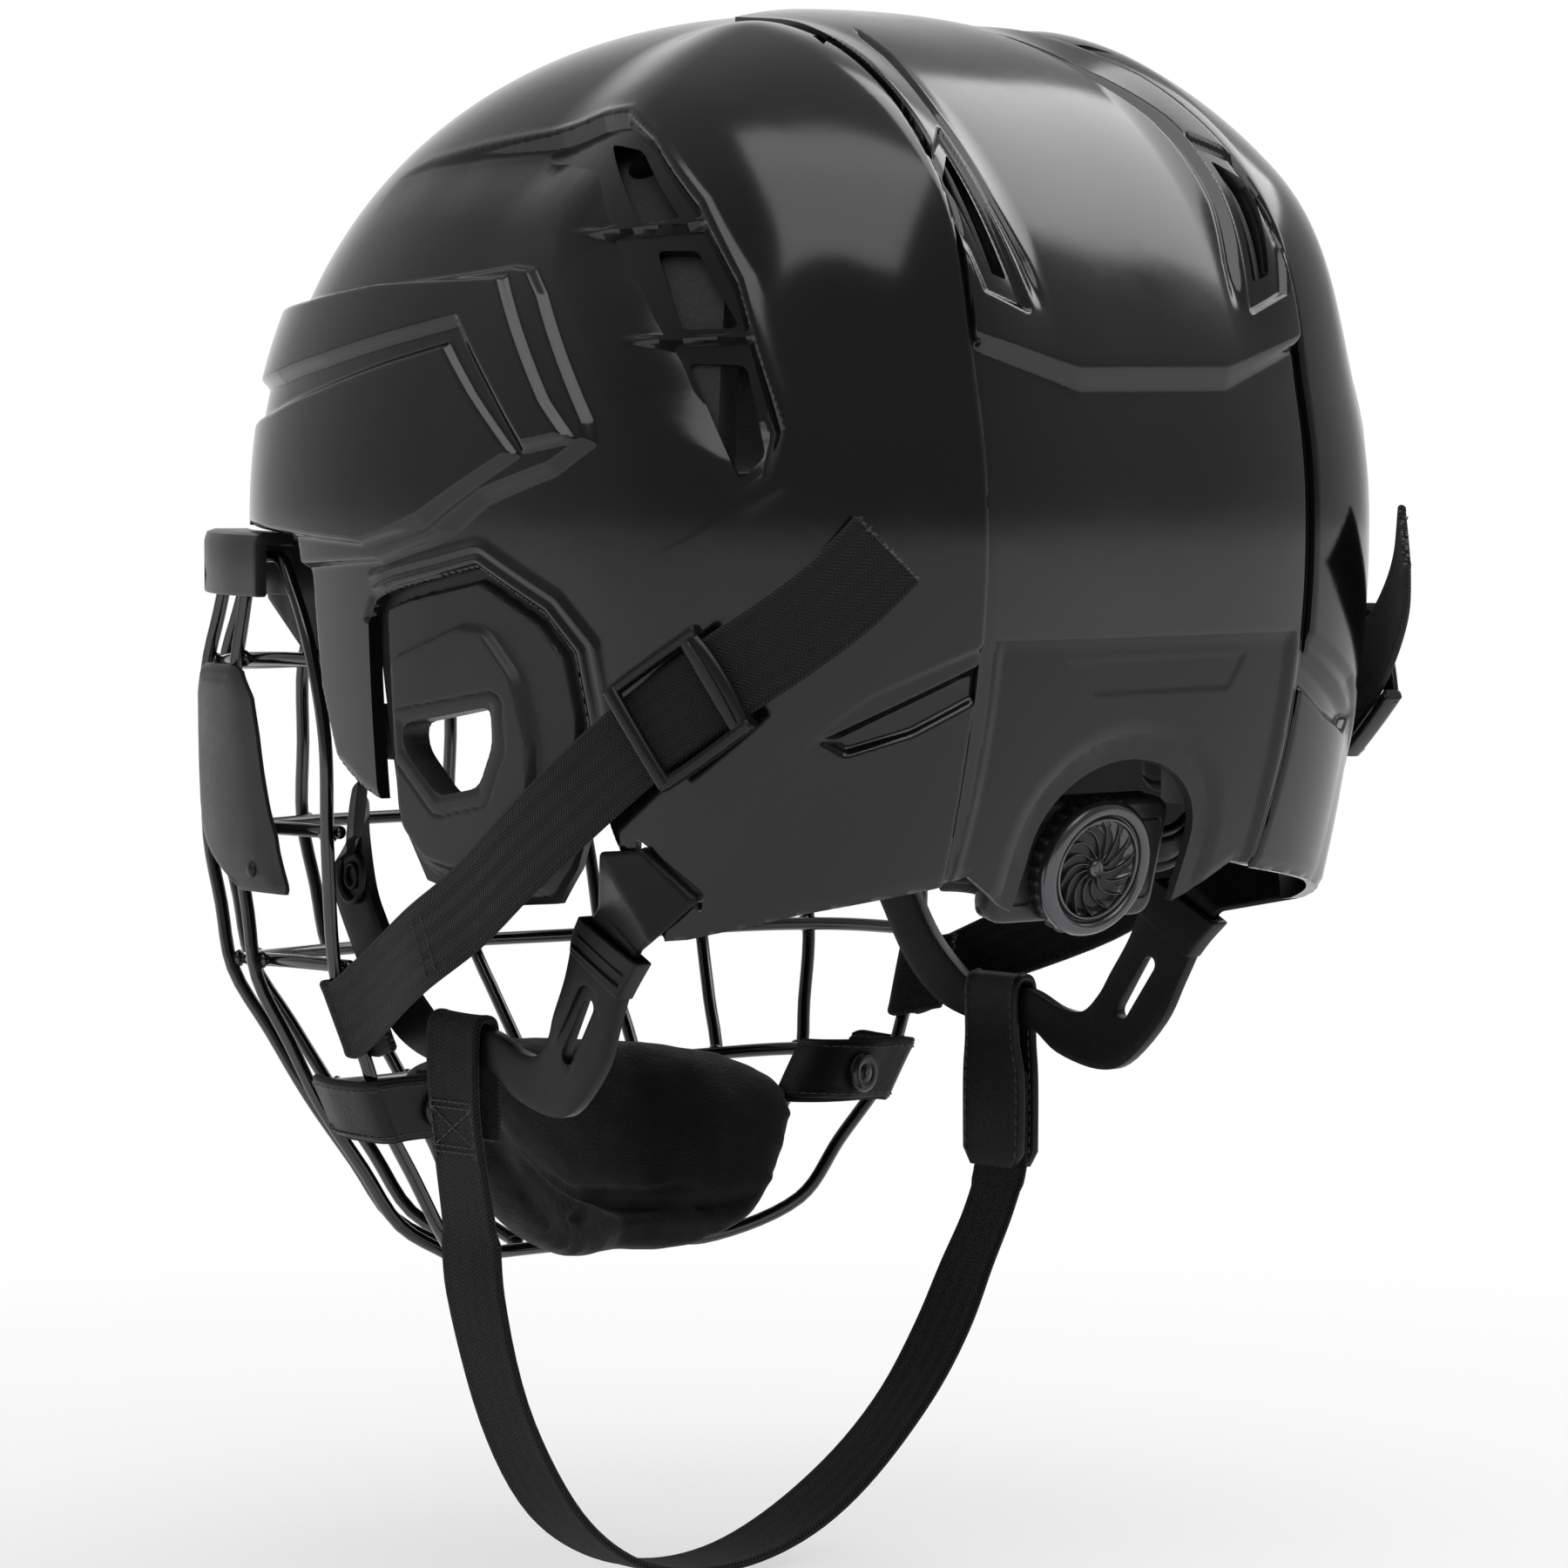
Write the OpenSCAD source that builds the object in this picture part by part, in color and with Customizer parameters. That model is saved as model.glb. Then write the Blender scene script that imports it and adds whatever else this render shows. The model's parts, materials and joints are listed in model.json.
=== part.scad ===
// Youth hockey helmet with wire cage: two-piece vented shell, foam liners,
// hinged cage with chin cup, webbing side straps, flexible ear harnesses,
// chin strap and a rear fit dial. Millimetres, +X wearer's left, -Y face, +Z up.
// The origin is the head's centre, midway between the ear holes.

/* [Shell] */
// Half width of the outer shell at its widest level
shell_half_w = 101; // [97:0.5:105]
// Reach of the shell in front of the head's centre
shell_front = 124; // [120:0.5:128]
// Reach of the shell behind the head's centre
shell_rear = 114; // [111:0.5:118]
// Height of the crown above the widest level
crown_h = 109; // [104:0.5:114]
// Wall of the front shell
shell_wall = 3.0; // [2.4:0.1:3.2]
// Height of the two ridges at the back of the crown
ridge_h = 6; // [3:0.5:7]
// How far the brow ledges stand out
brow_step = 4.2; // [3:0.2:4.6]
// Width of the rear shell's window between the front shell's edges, at its widest
window_half_w = 46; // [43:0.5:48]

/* [Liner] */
// Depth of the foam blocks
foam_t = 16; // [12:0.5:17]
// Depth of the comfort pads on the foam blocks
comfort_t = 5; // [4:0.5:6]

/* [Cage] */
// Diameter of the cage wire
wire_d = 3.0; // [2.6:0.1:3.2]
// Room for the wire inside each clip
clip_slot = 6.6; // [6.4:0.1:7]
// Wall of the two clips
clip_wall = 2.7; // [2.2:0.1:2.9]

/* [Straps] */
// Width of the webbing of the side straps
side_web_w = 18; // [15:0.5:19]
// Thickness of the webbing
web_t = 1.6; // [1.3:0.1:1.7]
// Width of the chin strap
chin_web_w = 17; // [15:0.5:19]
// Thickness of the flexible harness legs
harness_t = 3.0; // [2.4:0.1:3.2]

/* [Fit dial] */
// Diameter of the dial
dial_d = 30.8; // [27:0.2:32]
// Number of grips round the dial's rim
dial_grips = 30; // [20:2:36]
// Number of curved vanes on the dial's face
dial_vanes = 14; // [10:1:16]

/* [Hidden] */
widest_z = 46;
tail_k = 85;
plan_front = 2.3;
plan_rear = 3.2;
gap = 0.3;
// Extra room between curved faces that are cut into flat facets
facet_gap = 0.6;
kx = shell_half_w / 101;
kf = shell_front / 124;
kr = shell_rear / 114;
rear_off = -(shell_wall + gap);
rear_wall = 2.4;
flange_t = 2.4;
foam_off = rear_off - rear_wall - facet_gap;
foam_in = foam_off - foam_t;
shell_seat = -shell_wall - facet_gap;
cage_top = 38;
black = [0.06, 0.06, 0.065];
satin = [0.14, 0.14, 0.15];
foam_grey = [0.42, 0.42, 0.43];
steel = [0.30, 0.30, 0.31];
web_black = [0.08, 0.08, 0.08];

// Shape of the head shell

function ss(t) = let (c = min(1, max(0, t))) c * c * (3 - 2 * c);
function unit(a) = a / max(norm(a), 1e-9);

// Plan outline: a rounded oval, squarer at the back.
function plan(u) =
  let (s = sin(u), c = cos(u), p = c > 0 ? plan_front : plan_rear)
  pow(pow(abs(s), p) + pow(abs(c), p), -1 / p) * [s, -c];

// Point on the helmet's surface: u runs round from the face to the wearer's left
// and the nape, v up from the widest level, o is the offset along the surface.
function skin0(u, v, o) =
  let (e = plan(u), w = max(v, 0), c = pow(max(cos(w), 0), 0.90), s = pow(sin(w), 0.94),
       q = v < 0 ? tan(-v) : 0,
       reach = e[1] < 0 ? shell_front : shell_rear,
       tuck = e[1] > 0 ? 0.20 * q * q * e[1] * e[1] : 0)
  [(shell_half_w + o) * e[0] * c * (1 - 0.06 * q * q),
   (reach + o) * e[1] * c * (1 - tuck),
   widest_z + (crown_h + o) * s - tail_k * q];

function ridge(p) =
  ridge_h * ss((abs(p[0]) - 24) / 20) * (1 - ss((abs(p[0]) - 62) / 36))
  * ss((p[2] - 72) / 45) * ss(p[1] / 35);

function skin(u, v, o) = skin0(u, v, o + ridge(skin0(u, v, 0)));

function at_depth(u, v, o, ridged) = ridged ? skin(u, v, o) : skin0(u, v, o);

// Level of the surface's line v that lies at the height z, below the widest level.
function v_at(z) = -atan((widest_z - z) / tail_k);

// Point of the fit inside and under the shell, moved with the shell's size.
function fit(p) = [p[0] * kx, p[1] * (p[1] < 0 ? kf : kr), p[2]];

// Solids from point grids

function tri_volume(p, f) = p[f[0]] * cross(p[f[1]], p[f[2]]);
function total(a, i = 0, s = 0) = i >= len(a) ? s : total(a, i + 1, s + a[i]);

// Closed solid; the faces are turned round if they come out inside out.
module closed_solid(pts, tris) {
  inward = total([for (f = tris) tri_volume(pts, f)]) > 0;
  faces = inward ? [for (f = tris) [f[0], f[2], f[1]]] : tris;
  polyhedron(points = pts, faces = faces, convexity = 8);
}

function grid_tris(ni, nj, base, flip) =
  [for (i = [0:ni - 2], j = [0:nj - 2], k = [0, 1])
    let (a = base + i * nj + j, b = a + nj,
         f = k == 0 ? [a, a + 1, b + 1] : [a, b + 1, b])
    flip ? [f[0], f[2], f[1]] : f];

function border(ni, nj) = concat(
  [for (i = [0:ni - 2]) i * nj],
  [for (j = [0:nj - 2]) (ni - 1) * nj + j],
  [for (i = [ni - 1:-1:1]) i * nj + nj - 1],
  [for (j = [nj - 1:-1:1]) j]);

// Slab between two grids of the same size.
module slab(top, bottom) {
  ni = len(top);
  nj = len(top[0]);
  n = ni * nj;
  pts = concat([for (r = top) for (p = r) p], [for (r = bottom) for (p = r) p]);
  ring = border(ni, nj);
  m = len(ring);
  walls = [for (k = [0:m - 1], h = [0, 1])
    let (a = ring[k], b = ring[(k + 1) % m])
    h == 0 ? [a, b, b + n] : [a, b + n, a + n]];
  closed_solid(pts, concat(grid_tris(ni, nj, 0, false), grid_tris(ni, nj, n, true), walls));
}

function along(line, s) =
  let (k = len(line) - 1, q = s * k, i = min(max(floor(q), 0), k - 1))
  line[i] + (line[i + 1] - line[i]) * (q - i);

// Patch of the helmet's surface between two lines of (u, v) points,
// from offset lo to offset hi, its outer face drawn in by bevel.
module patch(a, b, lo, hi, m = 1, n = 2, bevel = 0, ridged = true) {
  ni = (len(a) - 1) * m + 1;
  function at(s, t) = along(a, s) + (along(b, s) - along(a, s)) * t;
  top = [for (i = [0:ni - 1]) [for (j = [0:n])
    let (s = bevel * 0.5 + i / (ni - 1) * (1 - bevel), q = at(s, bevel + j / n * (1 - 2 * bevel)))
    at_depth(q[0], q[1], hi, ridged)]];
  bottom = [for (i = [0:ni - 1]) [for (j = [0:n])
    let (q = at(i / (ni - 1), j / n)) at_depth(q[0], q[1], lo, ridged)]];
  slab(top, bottom);
}

// Whole domed wall between two offsets.
module dome(hi, lo, nu = 48, nv = 18) {
  low_v = -47;
  top_v = 84;
  n = nu * nv + 1;
  function layer(o) = concat(
    [for (j = [0:nv - 1], i = [0:nu - 1]) skin(i * 360 / nu, low_v + (top_v - low_v) * j / (nv - 1), o)],
    [skin(0, 90, o)]);
  function quads(base, flip) = [for (j = [0:nv - 2], i = [0:nu - 1], k = [0, 1])
    let (a = base + j * nu + i, b = base + j * nu + (i + 1) % nu, c = a + nu, d = b + nu,
         f = k == 0 ? [a, c, d] : [a, d, b])
    flip ? [f[0], f[2], f[1]] : f];
  function cap(base, flip) = [for (i = [0:nu - 1])
    let (a = base + (nv - 1) * nu + i, b = base + (nv - 1) * nu + (i + 1) % nu, p = base + n - 1)
    flip ? [a, b, p] : [a, p, b]];
  rim = [for (i = [0:nu - 1], k = [0, 1])
    let (a = i, b = (i + 1) % nu)
    k == 0 ? [a, b, b + n] : [a, b + n, a + n]];
  closed_solid(concat(layer(hi), layer(lo)),
    concat(quads(0, false), cap(0, false), quads(n, true), cap(n, true), rim));
}

// Cutter through the wall with the corners given as (u, v).
module slot_cut(corners, lo = -9, hi = 9) {
  hull_of([for (q = corners, o = [lo, hi]) skin(q[0], q[1], o)]);
}

// Convex solid through the given points.
module hull_of(pts) {
  hull()
    polyhedron(points = pts, faces = [for (i = [0:len(pts) - 3]) [i, i + 1, i + 2]]);
}

// Raised or flush panel made of flat facets between two lines of (u, v) points.
module facet_panel(a, b, lo, hi) {
  for (i = [0:len(a) - 2])
    hull_of([for (q = [a[i], a[i + 1], b[i], b[i + 1]], o = [lo, hi]) skin(q[0], q[1], o)]);
}

// Round wire along a line of points; sides set square to the middle of the cage.
module wire(path, closed = false, sides = 8, d = wire_d) {
  n = len(path);
  mid = fit([0, -50, -40]);
  sect = [for (i = [0:n - 1])
    let (a = closed ? path[(i + n - 1) % n] : path[max(i - 1, 0)],
         b = closed ? path[(i + 1) % n] : path[min(i + 1, n - 1)],
         t = unit(b - a),
         r = path[i] - mid,
         e = unit(r - t * (r * t)),
         f = cross(t, e))
    for (k = [0:sides - 1])
      let (w = 360 * (k + 0.5) / sides)
      path[i] + d / 2 * (e * cos(w) + f * sin(w))];
  side = [for (i = [0:(closed ? n - 1 : n - 2)], k = [0:sides - 1], h = [0, 1])
    let (a = i * sides + k, b = i * sides + (k + 1) % sides,
         c = ((i + 1) % n) * sides + k, e = ((i + 1) % n) * sides + (k + 1) % sides)
    h == 0 ? [a, b, e] : [a, e, c]];
  ends = closed ? [] : concat(
    [for (k = [1:sides - 2]) [0, k + 1, k]],
    [for (k = [1:sides - 2]) [(n - 1) * sides, (n - 1) * sides + k, (n - 1) * sides + k + 1]]);
  closed_solid(sect, concat(side, ends));
}

// Flat band along a line of points; half gives the half-width vector at each.
module band(path, half, t) {
  n = len(path);
  function nrm(i) =
    let (d = unit(path[min(i + 1, n - 1)] - path[max(i - 1, 0)])) unit(cross(d, half[i]));
  slab([for (i = [0:n - 1]) [path[i] - half[i] + nrm(i) * t / 2, path[i] + half[i] + nrm(i) * t / 2]],
       [for (i = [0:n - 1]) [path[i] - half[i] - nrm(i) * t / 2, path[i] + half[i] - nrm(i) * t / 2]]);
}

// Turns the child's +Z to the direction d and moves it to p.
module aim(p, d) {
  translate(p)
    rotate([0, acos(unit(d)[2]), atan2(d[1], d[0])])
      children();
}

module mirrored(side) {
  if (side > 0)
    children();
  else
    mirror([1, 0, 0])
      children();
}

// Shells

module window_prism(grow, y_front, z_low = -80, z_high = 200) {
  translate([0, 0, z_low])
    linear_extrude(z_high - z_low)
      polygon([[-(26 + grow) * kx, y_front], [(26 + grow) * kx, y_front],
        [(33 + grow) * kx, 40 * kr], [(38 + grow) * kx, 64 * kr],
        [(window_half_w - 3 + grow) * kx, 90 * kr], [(window_half_w + grow) * kx, 105 * kr],
        [(window_half_w + grow) * kx, 150], [-(window_half_w + grow) * kx, 150],
        [-(window_half_w + grow) * kx, 105 * kr], [-(window_half_w - 3 + grow) * kx, 90 * kr],
        [-(38 + grow) * kx, 64 * kr], [-(33 + grow) * kx, 40 * kr]]);
}

// Lines of (u, v) points that bound the features of one side.
brow_top = [[0, 22.5], [16, 22.5], [32, 22.5], [46, 23], [60, 24], [74, 25.5], [86, 27], [98, 28],
  [106, 19], [113, 9.5]];
brow_low = [[0, 13.5], [16, 13.5], [32, 13.5], [46, 13.5], [58, 14.5], [70, 16.5], [82, 19],
  [92, 21], [99, 14], [105, 7.5]];
panel_top = [[0, 9], [16, 9], [32, 9.3], [46, 10], [58, 11.5], [70, 14], [82, 17], [91, 19],
  [97, 13.5], [104, 7]];
panel_low = [[0, -0.5], [16, -0.5], [32, -0.5], [46, -0.5], [58, -1], [66, -1.5], [73, -2.5],
  [80, -2.5], [90, 1], [101, 4.5]];
ear_top = [[80, -10], [84, -8.4], [90, -6.8], [97, -5], [107, -11], [111, -16], [112.5, -24]];
ear_low = [[80, -50], [84, -50], [90, -50], [97, -50], [107, -50], [111, -50], [112.5, -50]];
scoop_front = [[80, 44], [88, 38], [98, 30], [108, 20], [118, 10], [127, 4]];
scoop_back = [[108, 49], [116, 45], [124, 36], [129, 27], [133, 15], [134, 6]];
strap_slot = [[118.6, -36.2], [126, -40.4], [125.6, -42], [118.4, -37.7]];
side_slots = [[[108, 45], [114, 43], [121, 34.6], [115.5, 34.6]],
  [[119, 30.5], [124, 30], [129, 21.5], [123, 21.5]],
  [[124, 17.5], [129.5, 17], [132, 7.5], [129, 5.5]]];
brow_slots = [[[7, 12.6], [24, 12.6], [24, 9.9], [7, 9.9]], [[29, 12.6], [43, 12.6], [43, 10.4],
  [29, 10.4]]];

module front_features() {
  patch(brow_top, brow_low, -2, brow_step, 1, 2, 0.1);
  patch(panel_top, panel_low, -2, brow_step * 0.75, 1, 2, 0.08);
}

module fins() {
  patch([[105, 32.9], [124.5, 33.9]], [[105, 31.7], [124.5, 32.3]], -2.6, 0.3, 4, 1);
  patch([[116, 20.4], [131, 20.6]], [[116, 19.2], [131, 19.2]], -2.6, 0.3, 4, 1);
}

module front_shell() {
  color(black)
  difference() {
    union() {
      difference() {
        dome(0, -shell_wall);
        for (side = [1, -1])
          mirrored(side)
            patch(scoop_front, scoop_back, -1.5, 9, 2, 3);
      }
      for (side = [1, -1])
        mirrored(side) {
          front_features();
          fins();
        }
    }
    window_prism(0, 8 * kr);
    patch([[-66.5, -1.4], [-50, -0.5], [-25, -0.5], [0, -0.5], [25, -0.5], [50, -0.5], [66.5, -1.4]],
      [[-66.5, -50], [-50, -50], [-25, -50], [0, -50], [25, -50], [50, -50], [66.5, -50]], -12, 14, 2, 6);
    for (side = [1, -1])
      mirrored(side) {
        patch([[62, -31], [72, -31], [81, -34]], [[62, -50], [72, -50], [81, -50]], -12, 12, 2, 3);
        patch(ear_top, ear_low, -12, 12, 1, 6);
        patch([[112, -29], [115.3, -36.3], [121, -44]], [[112, -50], [117, -50],
          [121, -50]], -12, 12, 1, 2);
        slot_cut(strap_slot);
        patch([[110, -44.5], [124, -44], [138, -42], [152, -40.5], [162, -39.4]], [[110, -50],
          [124, -50], [138, -50], [152, -50], [162, -50]], -12, 12, 3, 1);
        for (q = side_slots)
          slot_cut(q);
        for (q = brow_slots)
          slot_cut(q);
      }
  }
}

module rear_shell() {
  groove = [[149, 66], [153, 58], [156, 50], [158, 42], [159.5, 35], [160.5, 29], [161, 23]];
  color(satin)
  difference() {
    union() {
      intersection() {
        dome(rear_off, rear_off - rear_wall);
        window_prism(12, -4);
      }
      intersection() {
        dome(-1.2, -rear_wall - shell_wall);
        window_prism(-gap, 8 * kr + gap);
      }
      intersection() {
        dome(1.2, -shell_wall);
        window_prism(-gap, 8 * kr + gap);
        upper_block();
      }
    }
    for (side = [1, -1])
      mirrored(side) {
        for (i = [0:len(groove) - 2])
          hull_of([for (q = [groove[i], groove[i + 1]], o = [-0.8, 3], x = [-1, 1])
            skin(q[0], q[1], o) + [x * (o > 0 ? 2.4 : 1), 0, 0]]);
        slot_cut([[153.4, 43], [155.8, 43], [158, 25], [156, 24.4]]);
        patch([[150, -40.5], [158, -39.5], [164, -42], [172, -44]],
          [[150, -50], [158, -50], [164, -50], [172, -50]], -12, 12, 2, 1);
      }
    hull()
      for (a = [0:15:180])
        translate([22.5 * kx * cos(a), 96 * kr, -19 + 17 * sin(a)])
          rotate([90, 0, 0])
            cylinder(d = 1, h = 60, center = true, $fn = 6);
    translate([-22.9 * kx, 66 * kr, -70])
      cube([45.8 * kx, 60, 51]);
  }
}

// Region above the angular ledge across the back.
module upper_block() {
  rotate([90, 0, 180])
    translate([0, 0, -10])
      linear_extrude(180)
        polygon([[-60 * kx, 96], [-44 * kx, 85], [-22 * kx, 77], [22 * kx, 77], [44 * kx, 85],
          [60 * kx, 96],
          [60 * kx, 190], [-60 * kx, 190]]);
}

// Foam

module foam(a, b, lo, hi, m = 1, n = 4) {
  color(foam_grey)
    patch(a, b, lo, hi, m, n, 0.02, false);
}

module front_liner() {
  foam([[-74, 3], [-62, 2], [-50, 2], [-37, 2], [-25, 2], [-12, 2], [0, 2], [12, 2], [25, 2],
    [37, 2], [50, 2], [62, 2], [74, 3]],
    [[-74, 58], [-62, 60], [-50, 61], [-37, 62], [-25, 62], [-12, 62], [0, 62], [12, 62], [25, 62],
      [37, 62], [50, 61], [62, 60], [74, 58]],
    foam_in, shell_seat, 1, 6);
}

module rear_liner() {
  foam([[137, -18], [144, -18], [151, -18], [158, -18], [165, -18], [172, -18], [180, -18],
    [188, -18], [195, -18], [202, -18], [209, -18], [216, -18], [223, -18]],
    [[137, 60], [144, 60], [151, 60], [158, 60], [165, 60], [172, 60], [180, 60], [188, 60],
      [195, 60], [202, 60], [209, 60], [216, 60], [223, 60]],
    foam_in, foam_off, 1, 7);
}

module side_liner(side) {
  mirrored(side)
    foam([[78, 2], [84, 2], [90, 2], [96, 2], [102, 2], [108, 0], [114.5, -4], [117, -33],
      [122, -35], [127, -35]],
      [[78, 58], [84, 58], [90, 58], [96, 58], [102, 58], [108, 58], [114, 58], [118, 58],
        [122, 58], [127, 58]],
      foam_in, shell_seat, 1, 6);
}

module crown_pad() {
  color(foam_grey)
  slab([for (i = [0:8]) [for (j = [0:6]) crown_point(i / 4 - 1, j / 3 - 1, foam_off)]],
       [for (i = [0:8]) [for (j = [0:6]) crown_point(i / 4 - 1, j / 3 - 1, foam_off - foam_t * 0.8)]]);
}

// Point under the crown over a rounded square, from its place in plan.
function crown_point(a, b, o) =
  let (x = 36 * kx * a * (1 - 0.12 * b * b), y = 34 * b * (1 - 0.12 * a * a),
       r = norm([x / (shell_half_w + o), y / ((y < 0 ? shell_front : shell_rear) + o)]),
       w = acos(min(1, pow(r, 1 / 0.9))))
  [x, y, widest_z + (crown_h + o) * pow(sin(w), 0.94)];

module brow_pad() {
  color(web_black)
    patch([[-48, 5], [-36, 4], [-24, 4], [-12, 4], [0, 4], [12, 4], [24, 4], [36, 4], [48, 5]],
      [[-48, 21], [-36, 23], [-24, 24], [-12, 24], [0, 24], [12, 24], [24, 24], [36, 23], [48, 21]],
      foam_in - facet_gap - gap - comfort_t, foam_in - facet_gap - gap, 1, 3, -0.06);
}

module temple_pad(side) {
  color(web_black)
    mirrored(side)
      patch([[82, 6], [90, 5], [98, 5], [106, 6]], [[82, 26], [90, 28], [98, 28], [106, 26]],
        foam_in - facet_gap - comfort_t, foam_in - facet_gap, 2, 3, -0.06);
}

// Ear guards and cage clips

module ear_guard(side) {
  inner = shell_seat + 0.2;
  rim_top = [[77.5, -8], [83, -6], [90, -4.6], [97, -2.6], [109, -9], [113.5, -14], [115, -24]];
  rim_low = [[80.5, -36], [84, -41], [90, -42], [97, -42.5], [105.5, -42], [109, -39], [113, -32]];
  wall_top = [[81, -11], [84.5, -9.6], [90, -8.2], [97, -6.6], [106.3, -12], [110, -16.6], [111.4, -24]];
  wall_low = [[81, -35.5], [84.5, -40], [90, -41.5], [97, -42], [104.5, -41.5], [107.5, -39.5],
    [110.5, -36]];
  face_top = [[82.6, -18.5], [87, -17], [93, -15.4], [98, -19.4], [101, -22], [102.6, -27]];
  face_low = [[82.6, -36.5], [86, -40], [91, -40.6], [96, -41], [100, -41], [103.4, -41]];
  color(satin)
    mirrored(side)
      difference() {
        union() {
          facet_panel(rim_top, rim_low, inner - flange_t, inner);
          facet_panel(wall_top, wall_low, inner - 0.5, -1.2);
          facet_panel(face_top, face_low, -2, 1.3);
        }
        slot_cut([[84.6, -25.6], [99, -23], [99, -27.5], [96.4, -32], [89.5, -33.2], [84.6, -28.5]], -9, 9);
      }
}

clip_from = 0.815;
clip_to = 0.9895;
clip_drop = 8.8;

module cage_clip(side) {
  steps = [for (k = [0:5]) cage_point(clip_from + (clip_to - clip_from) * k / 5, cage_top)];
  s = clip_slot / 2;
  e = s + clip_wall;
  roof = 3 + clip_wall;
  hook = [[-e, -clip_drop], [-e, 2], [2.4 - e, roof], [e - 2.4, roof], [e, 2], [e, -clip_drop],
    [s, -clip_drop], [s, 3], [-s, 3], [-s, -clip_drop]];
  color(satin)
    mirrored(side) {
      clip_hook(steps, hook);
      clip_leg(steps, s);
    }
}

function out_dir(p, i) =
  let (n = len(p) - 1, d = unit(p[min(i + 1, n)] - p[max(i - 1, 0)]), o = [d[1], -d[0], 0])
  o[0] > 0 ? o : -o;

// The hook's section carried along the line of the wire that lies in it.
module clip_hook(p, hook) {
  n = len(p);
  m = len(hook);
  pts = [for (k = [0:n - 1], q = hook) p[k] + out_dir(p, k) * q[0] + [0, 0, q[1]]];
  side = [for (k = [0:n - 2], i = [0:m - 1], h = [0, 1])
    let (a = k * m + i, b = k * m + (i + 1) % m, c = a + m, d = b + m)
    h == 0 ? [a, b, d] : [a, d, c]];
  cap = [[0, 1, 8], [0, 8, 9], [1, 2, 8], [2, 3, 7], [2, 7, 8], [3, 4, 7], [4, 5, 6], [4, 6, 7]];
  front = [for (f = cap) [f[0], f[2], f[1]]];
  back = [for (f = cap) f + [1, 1, 1] * (n - 1) * m];
  closed_solid(pts, concat(side, front, back));
}

// Leg from the hook's inner wall, behind the side wire, to its seat under the temple.
module clip_leg(p, s) {
  half = clip_wall / 2 - 0.1;
  into = s + clip_wall / 2 + 0.25;
  line = concat([p[4] - out_dir(p, 4) * into, p[5] - out_dir(p, 5) * into],
    [fit([79.3, -59, 0]), fit([81.8, -50.5, 0]), fit([87.5, -45.5, 0])]);
  low = [29, 20, 6, 0, -3];
  high = [42, 42, 42, 40, 36];
  n = len(line) + 2;
  seat = shell_seat - half - 0.1;
  function mid(j, h) = j < len(line) ? [line[j][0], line[j][1], h] : skin(j == n - 2 ? 69 : 75,
    v_at(h), seat);
  function level(j) = j < len(line) ? [low[j], high[j]] : (j == n - 2 ? [-4, 34] : [-4, 30]);
  function side_dir(j, h) =
    let (d = unit(mid(min(j + 1, n - 1), h) - mid(max(j - 1, 0), h))) unit([-d[1], d[0], 0]);
  function row(j, o) = [for (h = level(j)) mid(j, h) + side_dir(j, h) * o];
  slab([for (j = [0:n - 1]) row(j, half)], [for (j = [0:n - 1]) row(j, -half)]);
}

// Cage

cage_z = [-119, -110, -82, -54, -25, 12, 38];
cage_a = [36, 52, 73, 84, 86, 87, 86];
cage_b = [14, 40, 62, 87, 95, 94, 82];
cage_c = [-70, -62, -56, -55, -56, -56, -56];

// Point on the cage's curved face at the height z, f of its half width from the middle.
function cage_at(f, z, inset) =
  let (a = (lookup(z, [for (i = [0:6]) [cage_z[i], cage_a[i]]]) - inset) * kx,
       b = (lookup(z, [for (i = [0:6]) [cage_z[i], cage_b[i]]]) - inset) * kf,
       c = lookup(z, [for (i = [0:6]) [cage_z[i], cage_c[i]]]) * kf)
  [a * f, c - b * pow(max(0, 1 - pow(abs(f), 2.4)), 1 / 2.4), z];
function cage_point(f, z) = cage_at(f, z, 0);

// The side wire stands a little further back below the lower crossbars.
function rim_at(z) = cage_point(1, z) + [0, z < -60 ? 2 : 0, 0];

rim_corner = [[0.99, 38], [0.996, 32], [0.9995, 20]];
rim_side = concat([for (q = rim_corner) cage_point(q[0], q[1])],
  [for (z = [0, -25, -54, -70, -82, -97, -110]) rim_at(z)]);
rim_half = concat(
  [for (f = [0.12, 0.3, 0.45, 0.6, 0.72, 0.815, 0.87, 0.92, 0.96]) cage_point(f, cage_top)],
  rim_side,
  [for (f = [0.98, 0.8, 0.5, 0.2]) cage_point(f, -119)]);
function flip_x(p) = [-p[0], p[1], p[2]];

module cage_rim() {
  n = len(rim_half);
  color(black)
    wire(concat(rim_half, [for (i = [n - 1:-1:0]) flip_x(rim_half[i])]), true);
}

upright_at = [0.25, 0.61, 0.815, 0.955];

module cage_uprights() {
  r = wire_d;
  levels = [cage_top - r, 25, 12, -7, -25, -40, -54, -68, -82, -97, -110, -119 + r];
  color(black)
    for (f = upright_at, side = [1, -1])
      wire([for (z = levels)
        let (p = cage_point(f, z)) [p[0] * side, p[1], p[2]]], false, 6);
}

bar_levels = [12, -25, -54, -82];
bar_rise = 4.5;

// The crossbars rise a little towards the sides.
function bar_point(f, z) = cage_at(f, z + bar_rise * pow(abs(f), 4), wire_d + 0.35);

module cage_crossbars() {
  turns = [-1, -0.985, -0.93, -0.84, -0.7, -0.5, -0.25, 0, 0.25, 0.5, 0.7, 0.84, 0.93, 0.985, 1];
  color(black)
    for (z = bar_levels)
      wire([for (f = turns) bar_point(f, z)], false, 6);
}

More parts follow.
